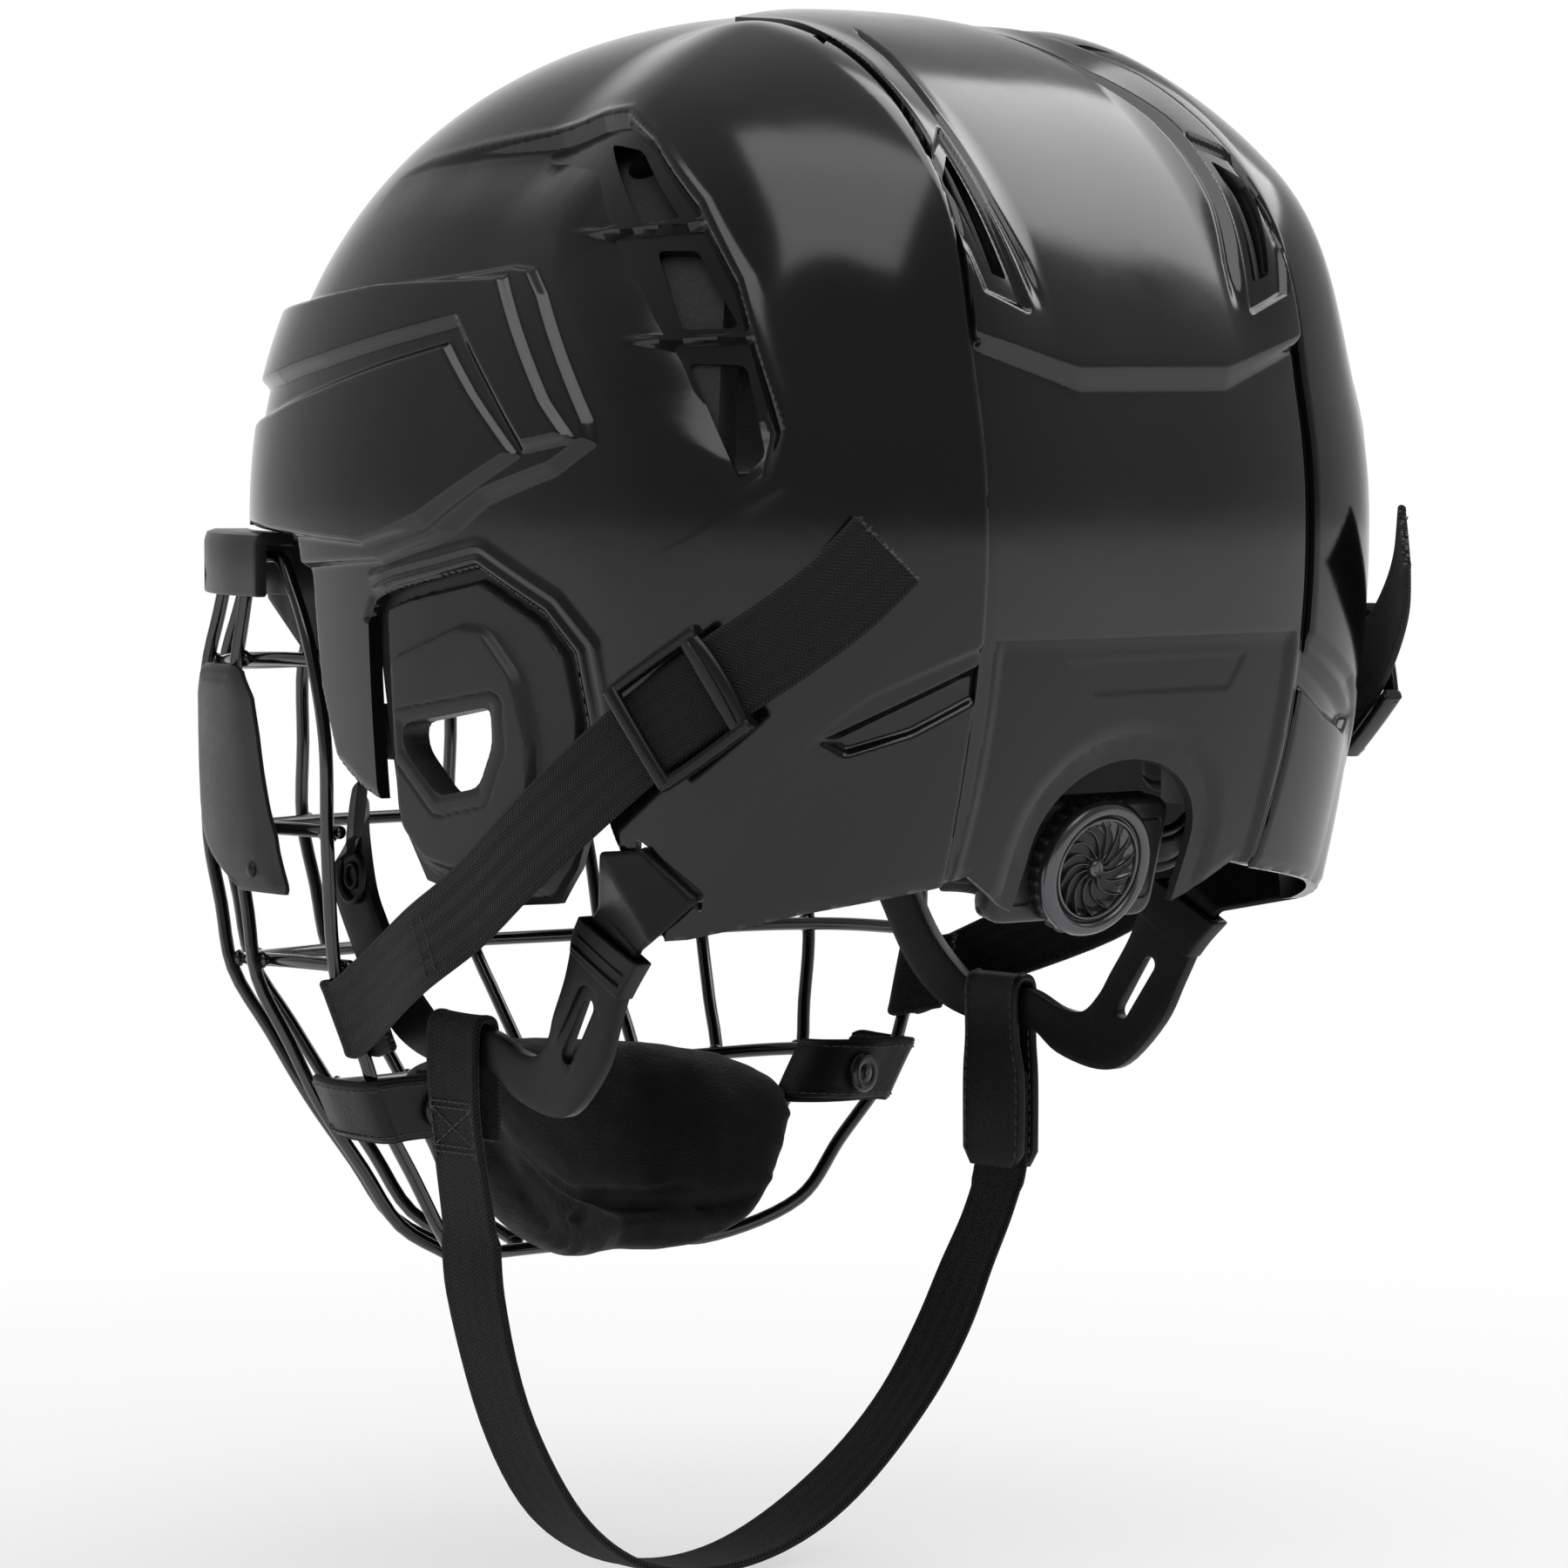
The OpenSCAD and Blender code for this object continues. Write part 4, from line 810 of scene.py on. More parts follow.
def closed_dome(us, vs, outer_h, inner_h):
    """Solid wall: fine outside, half as fine inside."""
    def wall(u, v, height):
        return skin(u, v, height(u, v)).reshape(-1, 3)

    vs = np.r_[vs, POLE_V]
    ui, vi = us[::2], vs[::2]
    nu, nv, ni, nj = len(us), len(vs), len(ui), len(vi)
    pole = [np.array([0.0]), np.array([90.0])]
    b = nu * nv
    pole_o, pole_i = b + ni * nj, b + ni * nj + 1
    faces = grid_faces(nu, nv, loop_i=True).tolist()
    faces += [[q[0], q[3], q[2], q[1]] for q in grid_faces(ni, nj, b, loop_i=True)]
    faces += [[i * nv + nv - 1, ((i + 1) % nu) * nv + nv - 1, pole_o] for i in range(nu)]
    for i in range(ni):
        faces.append([b + i * nj + nj - 1, pole_i, b + ((i + 1) % ni) * nj + nj - 1])
        o0, o1, o2 = 2 * i * nv, (2 * i + 1) * nv, ((2 * i + 2) % nu) * nv
        i0, i1 = b + i * nj, b + ((i + 1) % ni) * nj
        faces += [[o1, o0, i0], [o1, i0, i1], [o2, o1, i1]]
    return np.vstack([wall(*grid(us, vs), outer_h), wall(*grid(ui, vi), inner_h), wall(*pole, outer_h),
                      wall(*pole, inner_h)]), faces


def constant(value):
    return lambda u, v: np.full(np.shape(u), float(value))


def rolled(d, width):
    """1 on a line, falling to 0 at a width from it as a rounded edge does."""
    return (1 - step(d / width)) ** 1.5


def edge_roll(lines, u, v, v_mid):
    """Rounds the outer edge along the lines where the wall is cut."""
    return np.max([0.8 * rolled(distance_on_skin(line, u, v, v_mid)[0], 1.6) for line in lines], axis=0)


def front_relief(u, v):
    h = front_height(u, v)
    p = skin(u, v, 0)
    wd = np.abs(p[..., 0]) - window_half(p[..., 1])
    h -= 0.8 * step((p[..., 1] - 34) / 24) * rolled(wd, 1.5)
    a = side_angle(u)
    low = v < 4
    roll = np.zeros_like(h)
    roll[low] = edge_roll([FACE_LINE[7:], EAR_LINE, REAR_LINE], a[low], v[low], -20)
    return h - roll


def coarse():
    return 1.0


def front_cuts():
    """Cutters of the front shell: face and window, slots, then its lower edge in two sets."""
    slots = [(s, 0.9, 9) for s in SIDE_SLOTS]
    slots += [(s, 0.7, 12) for s in BROW_SLOTS] + [(s, 0.5, 9) for s in (HARNESS_SLOT, CROWN_SLOT)]
    first = [strip(soft_line(FACE_LINE, 2.0), CUT_V, CUT_DEEP, 18), plan_prism(window_outline(0, 8))]
    first += [prism(soft_corners(o, r), -9, hi) for s, r, hi in slots for o in sides_of(s)]
    ears = [strip(soft_line(o, 1.6), CUT_V, CUT_DEEP, 16) for o in sides_of(EAR_LINE)]
    rear = [strip(o, CUT_V, CUT_DEEP, 16) for o in sides_of(REAR_LINE)]
    return [join(first), join(ears), join(rear)]


def mirrored_stretches(half):
    return [(-b, -a, s) for a, b, s in half[::-1]]


def front_shell():
    k = coarse()
    half = [(48, 136, 0.27 * k), (136, 160, 0.4 * k), (160, 180, 1.4 * k)]
    us = axis_steps(*mirrored_stretches(half), (-48, 48, 0.8 * k), *half)
    vs = axis_steps((-47.5, -30, 0.5 * k), (-30, 50, 0.27 * k), (50, POLE_V, 1.0 * k))
    obj = add_object("shell_front", *closed_dome(us, vs, front_relief, constant(-WALL)), MAT["gloss"])
    boolean(obj, front_cuts())
    shade(obj, 64)
    finish_piece(obj, "helmet", "front_shell")


REAR_GROOVE = [(150.5, 69), (153.4, 62), (155.4, 49), (159.0, 36), (162.0, 28.5), (163.8, 22)]
REAR_FRAME = [(154.6, 45.4), (150.4, 38.4), (155.8, 24.6), (161.4, 22.8)]
REAR_SLOT = [(154.4, 41.8), (152.4, 37.6), (156.6, 26.8), (159.2, 26.2)]
REAR_LOW = [(140, -41), (150, -40.5), (158, -39.5), (164, -42), (172, -44), (176, -44.5)]
PANEL_X, PANEL_TOP = 43, 24.6  # half width and top of the satin panel over the arch


def ease_line(t):
    """A straight ramp from 0 to 1 whose two corners are rounded."""
    soft = 0.12
    return (np.logaddexp(0, t / soft) - np.logaddexp(0, (t - 1) / soft)) * soft


def arch_outline():
    """Outline (x, z) of the dial's arch, open downwards."""
    w = np.linspace(0, math.pi, 25)
    arc = np.stack([22.7 * np.cos(w), -19 + 18 * np.sin(w)], 1)
    return np.vstack([[22.9, -70], arc, [-22.9, -70]])


def rear_relief(u, v):
    """Height of the rear shell: upper block, ledge, lower panel, vents and the dial's arch."""
    p = skin(u, v, 0)
    a = side_angle(u)
    x, z = np.abs(p[..., 0]), p[..., 2]
    ledge = np.interp(x, [0, 21, 44, 60], [75.0, 75.0, 83.5, 96])
    tall = np.interp(x, [0, 21, 40, 46, 60], [4.7, 4.7, 2.2, 1.4, 1.4])
    h = -1.2 + 2.4 * ease_line((z - ledge) / tall)
    d, t, _ = distance_on_skin(REAR_GROOVE, a, v, 40)
    h -= (1.5 - 0.5 * t) * (1 - step(d / 1.9)) * step((1 - t) / 0.12)
    h -= 1.5 * plateau(a, v, REAR_FRAME, 34, 1.5, 0.2)
    h -= step((25.4 - z) / 3.6) * step((PANEL_X - x) / 2.5)
    label = sdf(np.array([(24, 19.8), (-28, 20.2), (-24, 13.2), (15, 12.8)]), p[..., 0], z)
    h -= 0.4 * (1 - step(label / 0.8 + 0.5))
    d = sdf(arch_outline(), p[..., 0], z)
    h -= 2.6 * (1 - step((d - 0.4) / 8.6)) + 0.5 * (1 - step((d - 0.2) / 1.2))
    wd = window_half(p[..., 1]) - GAP - x
    h -= 0.6 * step((p[..., 1] - 34) / 24) * rolled(wd, 1.4)
    return h - 0.7 * rolled(distance_on_skin(REAR_LOW, a, v, -40)[0], 1.6)


def vent_ribs():
    """A rounded rib along the middle of each rear vent."""
    line = resample([(153.6, 41.4), (154.6, 36.5), (157.3, 26.2)], 14)
    rib = round_end_tube([skin(u, v, -2.4) for u, v in line], 0.8, 10)
    return [rib, flip_x(rib)]


def add_flange(obj):
    """Joins the thin flange that runs on under the front shell."""
    us, vs = axis_steps((-180, 180, 2.0)), axis_steps((-47, POLE_V, 2.0))
    dome = closed_dome(us, vs, constant(REAR_OFF), constant(REAR_OFF - REAR_WALL))
    flange = add_object("flange", *dome, None, smooth=False)
    boolean(flange, [plan_prism(window_outline(12, -4))], "INTERSECT")
    combine(obj, flange, "UNION")


def paint_panel(obj):
    """Gloss above, satin on the panel below."""
    mesh = obj.data
    mesh.materials.clear()
    for key in ("rear_gloss", "satin"):
        mesh.materials.append(MAT[key])
    mid = np.array([p.center[:] for p in mesh.polygons]) / MM
    low = (mid[:, 2] < PANEL_TOP) & (np.abs(mid[:, 0]) < PANEL_X)
    mesh.polygons.foreach_set("material_index", low.astype(int))


def rear_shell():
    k = coarse()
    half = [(120, 147, 0.5 * k), (147, 167, 0.25 * k), (167, 180, 0.5 * k)]
    us = axis_steps(*mirrored_stretches(half), (-120, 120, 5.0), *half)
    vs = axis_steps((-47.5, 20, 0.42 * k), (20, 50, 0.24 * k), (50, 56, 0.42 * k), (56, POLE_V, 1.0 * k))
    obj = add_object("shell_rear", *closed_dome(us, vs, rear_relief, constant(-WALL - REAR_WALL)), MAT["satin"])
    boolean(obj, [plan_prism(window_outline(-GAP, 8 + GAP))], "INTERSECT")
    add_flange(obj)
    cuts = [prism(soft_corners(o, 0.6), -9, 9) for o in sides_of(REAR_SLOT)]
    cuts.append(plan_prism(arch_outline(), 66, 140, up=1))
    low = [strip(o, CUT_V, -14, 14) for o in sides_of([(146, -40.6)] + REAR_LOW[1:5])]
    boolean(obj, [join(cuts), join(low)])
    recalc(obj)
    paint_panel(obj)
    shade(obj, 64)
    ribs = add_solid("shell_rear_ribs", join(vent_ribs()), MAT["plastic"], sharp=50)
    for o in (obj, ribs):
        finish_piece(o, "helmet", "rear_shell")


front_shell()
rear_shell()


# Cage, clips and ear guards

WIRE_D = 3.0
CAGE_TOP = 38.0
UP, FLIP = np.array([0, 0, 1.0]), np.array([-1, 1, 1])
CAGE_Z = [-119, -110, -82, -54, -25, 12, 38]
CAGE_A = [36, 52, 73, 84, 86, 87, 86]
CAGE_B = [14, 40, 62, 87, 95, 94, 82]
CAGE_C = [-70, -62, -56, -55, -56, -56, -56]
UPRIGHTS = [0.25, 0.61, 0.815, 0.955]
BARS = [12, -25, -54, -82]
BAR_RISE = 4.5


def cage_at(f, z, inset=0.0):
    a, b, c = (np.interp(z, CAGE_Z, t) for t in (CAGE_A, CAGE_B, CAGE_C))
    f = np.asarray(f, float)
    y = c - (b - inset) * np.maximum(0, 1 - np.abs(f) ** 2.4) ** (1 / 2.4)
    return np.stack(np.broadcast_arrays((a - inset) * f, y, z), -1)


def rim_at(z):
    return cage_at(1, z) + np.array([0, 2.0 if z < -60 else 0.0, 0])


def bar_point(f, z):
    return cage_at(f, z + BAR_RISE * abs(f) ** 4, WIRE_D + 0.35)


def ball(centre, radii, axes, n, m=7):
    """Closed ellipsoid; axes holds three unit vectors, or is None."""
    axes = np.eye(3) if axes is None else np.asarray(axes, float)
    th = turn(n)
    ph = np.linspace(-math.pi / 2, math.pi / 2, m)[1:-1]
    c = np.cos(ph)
    ring = np.stack([np.outer(c, np.cos(th)), np.outer(c, np.sin(th)), np.outer(np.sin(ph), np.ones(n))], -1)
    pts = np.vstack([ring.reshape(-1, 3), [[0, 0, -1]], [[0, 0, 1]]]) * np.asarray(radii, float)
    faces = grid_faces(len(ph), n, loop_j=True)[:, ::-1].tolist() + pole_faces(len(ph), n)
    return pts @ axes + np.asarray(centre, float), faces


def nearest(line, place):
    return line[np.argmin(np.linalg.norm(line - place, axis=1))]


def weld(a, b, size=1.0):
    """Bead between two wires that touch: a and b are the nearest points of their middles."""
    d = unit(b - a)
    e = unit(np.cross(d, [0.1, 0.2, 1.0]))
    return ball((a + b) / 2, (2.0 * size, 2.0 * size, 1.15 * size), [e, np.cross(d, e), d], 12, 7)


def rim_wire():
    corner = [(0.99, 38), (0.996, 32), (0.9995, 20)]
    top = [cage_at(f, CAGE_TOP) for f in (0.12, 0.3, 0.45, 0.6, 0.72, 0.815, 0.87, 0.92, 0.96)]
    side = [cage_at(f, z) for f, z in corner] + [rim_at(z) for z in (0, -25, -54, -70, -82, -97, -110)]
    low = [cage_at(f, -119) for f in (0.98, 0.8, 0.5, 0.2)]
    half = np.array(top + side + low)
    return spline(np.vstack([half, half[::-1] * FLIP]), 7, closed=True)


def upright_wires():
    """Uprights and the beads at their two ends."""
    levels = [CAGE_TOP - 1.4, 25, 12, -7, -25, -40, -54, -68, -82, -97, -110, -117.6]
    ups, beads = [], []
    for f in UPRIGHTS:
        for s in (1, -1):
            ups.append(tube_data(spline([cage_at(f, z) * [s, 1, 1] for z in levels], 4), WIRE_D / 2, 14))
            beads += [ball(cage_at(f, z) * [s, 1, 1], (2.1, 2.1, 1.3), None, 12) for z in (CAGE_TOP - 1.7, -117.4)]
    return ups + beads


def crossbar_wires(rim_line):
    """Crossbars and the weld beads where they meet the uprights and the rim."""
    half = [0.25, 0.5, 0.7, 0.84, 0.93, 0.985, 1]
    turns = [-f for f in half[::-1]] + [0] + half
    bars, knots = [], []
    for z in BARS:
        line = spline([bar_point(f, z) for f in turns], 6)
        bars.append(round_end_tube(line, WIRE_D / 2, 14))
        for f in UPRIGHTS:
            for s in (1, -1):
                a = cage_at(f, z + BAR_RISE * f ** 4) * [s, 1, 1]
                knots.append(weld(a, nearest(line, a)))
        knots += [weld(nearest(rim_line, end), end, 1.1) for end in (line[1], line[-2])]
    return bars + knots


def cage_wires():
    rim_line = rim_wire()
    rim = add_solid("cage_rim_wire", tube_data(rim_line, WIRE_D / 2, 16, closed=True), MAT["wire"])
    finish_piece(rim, "cage", "cage_rim")
    for kind, parts in (("upright", upright_wires()), ("crossbar", crossbar_wires(rim_line))):
        obj = add_solid("cage_%s_wires" % kind, join(parts), MAT["wire"], sharp=60)
        finish_piece(obj, "cage", "cage_%ss" % kind)


PLATE_TOP, PLATE_LOW, KNOB = 14.5, -34.5, (0.984, -29.5)
PLATE_SIDES = [(14.5, 0.912, 0.970), (13.4, 0.902, 0.977), (8, 0.885, 0.985), (0, 0.884, 0.988),
               (-8, 0.885, 0.990), (-16, 0.890, 0.9925), (-22, 0.900, 0.995), (-28, 0.928, 0.996),
               (-33, 0.962, 0.997), (-34.5, 0.968, 0.9965)]


def cage_plate():
    """Bare plate on the wires' outside: bowed face, bevelled edges and end, small knob at its foot."""
    off = -(WIRE_D / 2 + 1.2)
    rows = np.array(PLATE_SIDES)
    zs = np.linspace(PLATE_TOP, PLATE_LOW, 44)
    fa, fb = np.interp(-zs, -rows[:, 0], rows[:, 1]), np.interp(-zs, -rows[:, 0], rows[:, 2])
    t = np.linspace(0, 1, 17)
    f = fa[:, None] + (fb - fa)[:, None] * t[None]
    z = np.repeat(zs[:, None], len(t), 1)
    edge = np.minimum(np.minimum(t, 1 - t)[None] * 9, np.minimum(PLATE_TOP - z, z - PLATE_LOW) * 0.55 + 0.12)
    rise = 0.75 * (1 - step(edge / 0.9)) + 0.28 * (1 - step(np.abs(edge - 1.35) / 0.28))
    body = slab_data(cage_at(f, z, off - 1.0 + rise), cage_at(f, z, off + 0.7))
    p = cage_at(*KNOB, off - 0.9)
    out = unit(p - cage_at(*KNOB, 0))
    e = unit(np.cross(out, [0, 0, 1]))
    knob = ball(p, (1.9, 1.9, 1.0), [e, np.cross(out, e), out], 16, 9)
    obj = add_solid("cage_side_plate", join([body, knob]), MAT["plastic"], sharp=55)
    finish_piece(obj, "cage", "cage_plate")


CLIP_WALL, CLIP_SLOT, CLIP_DROP = 2.7, 6.6, 8.8


def clip_lines():
    fs = np.linspace(0.815, 0.9895, 6)
    return np.array([cage_at(f, CAGE_TOP) for f in fs])


def out_dirs(p):
    d = unit(np.gradient(p, axis=0))
    o = np.stack([d[:, 1], -d[:, 0], np.zeros(len(p))], 1)
    o[o[:, 0] < 0] *= -1
    return unit(o)


def clip_hook():
    """Hook over the top bar: one closed section swept along it."""
    p = resample(spline(clip_lines(), 6), 25)
    o = out_dirs(p)
    s, e = CLIP_SLOT / 2, CLIP_SLOT / 2 + CLIP_WALL
    roof, low = 3 + CLIP_WALL, 0.6 - CLIP_DROP
    corners = [(-e, low), (-e, roof), (e, roof), (e, low), (s, low), (s, 3), (-s, 3), (-s, low)]
    sect = soft_corners(corners, 0.6, 3)
    sect[3:9] = soft_corners(corners, 2.4, 3)[3:9]
    pts = p[:, None] + o[:, None] * sect[None, :, :1] + UP * sect[None, :, 1:]
    m = len(sect)
    tris = tessellate_polygon([[Vector((a, b, 0)) for a, b in sect]])
    ends = [list(t) for t in tris] + [[k + (len(p) - 1) * m for k in t[::-1]] for t in tris]
    return pts.reshape(-1, 3), grid_faces(len(p), m, loop_j=True).tolist() + ends


LEG_SEAT_U = (69, 75)
LEG_FOOT = [(79.3, -59), (81.8, -50.5), (87.5, -45.5)]
LEG_LOW, LEG_HIGH = [29, 20, 6, 0, -3, -4, -4], [42, 42, 42, 40, 36, 34, 30]


def clip_leg():
    """Flat leg behind the side wire, down to its seat under the temple."""
    p = clip_lines()
    o = out_dirs(p)
    half = CLIP_WALL / 2 - 0.1
    into = CLIP_SLOT / 2 + CLIP_WALL / 2 + 0.25
    seat = SEAT - half - 0.1
    line = [(p[k] - o[k] * into)[:2] for k in (4, 5)] + LEG_FOOT
    rows = []
    for j, (low, high) in enumerate(zip(LEG_LOW, LEG_HIGH)):
        hs = np.linspace(low, high, 9)
        if j < len(line):
            rows.append([[*line[j], h] for h in hs])
        else:
            rows.append([skin(LEG_SEAT_U[j - len(line)], v_at(min(h, 45)), seat) for h in hs])
    rows = np.array(rows, float)
    dense = np.stack([spline(rows[:, k], 5) for k in range(9)], 1)
    d = unit(np.gradient(dense, axis=0))
    nrm = unit(np.stack([-d[..., 1], d[..., 0], np.zeros(d.shape[:2])], -1))
    return slab_data(dense + nrm * half, dense - nrm * half)


def clip_hole():
    """Cutter of the small four-sided hole through the hook's outer wall."""
    p = clip_lines()
    o, t = out_dirs(p)[1], unit(p[2] - p[1])
    mid = (p[1] + p[2]) / 2 + UP * (-CLIP_DROP + 4.4)
    ring = [mid + t * a + UP * b for a, b in soft_corners([(-2.5, 0), (0, 2.7), (2.5, 0), (0, -2.7)], 0.5, 3)]
    return np.array([q + o * 9 for q in ring] + [q + o * 1 for q in ring]), ring_solid_faces(len(ring))


def clip_foam():
    """Pad between the leg and the shell."""
    us, hs = np.linspace(74.2, 78.4, 7), np.linspace(-3.4, 8.4, 7)
    rows = np.array([[skin(a, v_at(h), SEAT - 3.1) for a in us] for h in hs])
    return slab_data(rows, rows - unit(rows * [1, 0.6, 0]) * 4.2)


def cage_clip(side, name):
    pieces = (("clip_", clip_hook(), "satin", 0.55), ("clip_leg_", clip_leg(), "satin", 0.55),
              ("clip_foam_", clip_foam(), "foam", 0.9))
    for kind, data, mat, edge in pieces:
        obj = add_solid(kind + name, data, MAT[mat])
        if kind == "clip_":
            boolean(obj, [clip_hole()])
        bevel(obj, edge)
        shade(obj, 40)
        finish_piece(obj, "helmet", "cage_clip_" + name, side)


RIM_TOP = [(77.5, -8), (83, -6), (90, -4.6), (97, -2.6), (109, -9), (113.5, -14), (115, -24)]
RIM_LOW = [(80.5, -36), (84, -41), (90, -42), (97, -42.5), (105.5, -42), (109, -39), (113, -32)]
EAR_WALL = [(81, -11), (84.5, -9.6), (90, -8.2), (97, -6.6), (106.3, -12), (110, -16.6), (111.4, -24), (110.5, -36),
            (107.5, -39.5), (104.5, -41.5), (97, -42), (90, -41.5), (84.5, -40), (81, -35.5)]
EAR_FACE = [(82.6, -17.5), (88, -15.2), (94, -12.6), (98.5, -13.2), (103.2, -19), (105.2, -27), (104.4, -36),
            (101, -40.6), (91, -40.4), (86, -39.6), (82.6, -36.5)]
EAR_MID = -24  # height about which the guard is charted
EAR_HOLE = [(84.6, -25.6), (99, -23), (99, -27.5), (96.4, -32), (89.5, -33.2), (84.6, -28.5)]


def resample_at(line, n):
    """Points at even steps of the line's index."""
    line = np.asarray(line, float)
    t = np.linspace(0, len(line) - 1, n)
    return np.stack([np.interp(t, np.arange(len(line)), line[:, k]) for k in (0, 1)], 1)


def patch_grid(a, b, ni, nj):
    """Grid of u and v over the patch between two lines."""
    a, b = resample_at(a, ni), resample_at(b, ni)
    t = np.linspace(0, 1, nj)[None]
    return [a[:, k:k + 1] + (b - a)[:, k:k + 1] * t for k in (0, 1)]


def ear_guard(side, name):
    """Ear guard: flange under the shell, stepped wall and a flat inner panel with its hole."""
    m, k = ((200, 150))
    u, v = patch_grid(RIM_TOP, RIM_LOW, m, k)
    level = SEAT + 0.2
    h = level + (-1.0 - level) * plateau(u, v, soft_corners(EAR_WALL, 1.0), EAR_MID, 1.4, -0.8)
    h += 2.3 * plateau(u, v, soft_corners(EAR_FACE, 1.2), EAR_MID, 1.9, -0.9)
    q = chart(np.stack([u, v], -1), EAR_MID)
    near = sdf(chart(EAR_HOLE, EAR_MID), q[..., 0], q[..., 1])
    h -= 0.5 * (1 - step(near / 1.3)) + 0.35 * (1 - step(np.abs(near - 3.4) / 0.5))
    obj = add_solid("ear_cover_" + name, slab_data(skin(u, v, h), skin(u, v, level - 2.4)), MAT["satin"])
    boolean(obj, [prism(soft_corners(EAR_HOLE, 1.4), -12, 9)])
    shade(obj, 40)
    finish_piece(obj, "helmet", "ear_guard_" + name, side)


cage_wires()
cage_plate()
for side, name in SIDES:
    cage_clip(side, name)
    ear_guard(side, name)


# Webbing, harness and buckles

WEB_T = 1.6
SIDE_W = 18.0
CHIN_W = 17.0
LOOP_R = WIRE_D / 2 + 1.2 + WEB_T / 2
HARNESS_T = 3.0
STRAP_Y = -20.0
BAR_X, BAR_Z, BAR_HALF = 77.5, -64.3, 4.0
STRAP_RUN = [(86, -46, 4.6), (95, -42.5, 4.6), (104, -37.5, 4.6), (113, -31.5, 4.6), (121, -25, 4.6), (128, -19, 4.6),
             (134, -13.5, 5.2), (139, -8, 6.6), (143, -2, 8.0)]


def wire_mid(z, w):
    return (rim_at(z) * 2 + rim_at(z + w / 2) + rim_at(z - w / 2)) / 4


def wire_dir(z, w):
    return unit(rim_at(z + w / 2) - rim_at(z - w / 2))


def band_frame(path, half):
    """Smooth run of a flat band: places, across vectors and outward normals."""
    both = spline(np.hstack([np.asarray(path, float), np.asarray(half, float)]), 6)
    p, h = both[:, :3], both[:, 3:]
    return p, h, normals(p, h)


def band_data(p, h, n, t=WEB_T, seed=0, wave=0.12):
    """Closed band with rounded selvedges, faint slack across it, and uv in millimetres along and across."""
    rng = np.random.default_rng(seed)
    width = np.linalg.norm(h, axis=1).mean()
    s = np.sin(np.linspace(-1, 1, 18) * math.pi / 2)
    length = run_lengths(p)
    edge = np.sqrt(np.clip(1 - (np.clip((np.abs(s) - 1) * width + t * 0.5, 0, None) / (t * 0.5)) ** 2, 0.04, 1))
    selv = 0.10 * np.exp(-((1 - np.abs(s)) * width / 1.2 - 0.9) ** 2 * 2)
    ph = rng.uniform(0, 6.28, 3)
    short, long = np.sin(length[:, None] / 9 + ph[0]), np.sin(length[:, None] / 17 + ph[1])
    slack = wave * (short * s[None] + long * (s[None] ** 2 - 0.5))
    mid = spread(p, h, s) + n[:, None] * slack[..., None]
    th = (edge * t / 2 + selv)[None, :, None]
    top, bottom = mid + n[:, None] * th, mid - n[:, None] * th
    m, k = len(p), len(s)
    verts = np.concatenate([top, bottom[:, ::-1]], 1).reshape(-1, 3)
    faces = grid_faces(m, 2 * k, loop_j=True).tolist()
    for i, flip in ((0, False), (m - 1, True)):
        for j in range(k - 1):
            q = [i * 2 * k + j, i * 2 * k + j + 1, i * 2 * k + 2 * k - 2 - j, i * 2 * k + 2 * k - 1 - j]
            faces.append(q[::-1] if flip else q)
    v_across = np.concatenate([s * width, (s * width)[::-1] + 0.31])
    uv = np.stack([np.repeat(length, 2 * k), np.tile(v_across, m)], 1)
    return verts, faces, uv


def band_object(name, p, h, n, mat, **kw):
    *data, uv = band_data(p, h, n, **kw)
    return add_solid(name, data, mat, uv=uv, sharp=70)


THREAD_R = 0.22
ARCH = ((0.0, -0.05), (0.18, 0.14), (0.5, 0.2), (0.82, 0.14), (1.0, -0.05))  # share of a stitch and its lift
FLAT_ARCH = ((0, -0.05), (0.2, 0.15), (0.8, 0.15), (1, -0.05))


def band_place(p, h, n, length, at):
    """Middle, across vector and normal of a band at a length along it."""
    c = np.array([np.interp(at, length, q[:, i]) for q in (p, h, n) for i in range(3)])
    return c[:3], c[3:6], unit(c[6:9])


def stitches(p, h, n, rows, pitch=2.6, r=THREAD_R, both=False):
    """Thread stitches along rows given as (offset across from -1 to 1, start, end) in shares of the run."""
    length = run_lengths(p)
    parts = []
    for off, a, b in rows:
        for start in np.arange(a * length[-1], b * length[-1], pitch):
            pts = [(band_place(p, h, n, length, start + k * pitch * 0.72), lift) for k, lift in ARCH]
            for sign in (1, -1) if both else (1,):
                line = [c + hh * off + nn * sign * (WEB_T / 2 + lift) for (c, hh, nn), lift in pts]
                parts.append(tube_data(line, r, 6))
    return parts


def cross_stitches(p, h, n, at, reach, count):
    """Row of stitches across the band at one place of the run."""
    length = run_lengths(p)
    c, hh, nn = band_place(p, h, n, length, at * length[-1])
    w = 2 * reach / count
    parts = []
    for k in range(count):
        line = [c + hh * (-reach + w * k + w * 0.74 * q) + nn * (WEB_T / 2 + lift) for q, lift in FLAT_ARCH]
        parts.append(tube_data(line, THREAD_R, 6))
    return parts


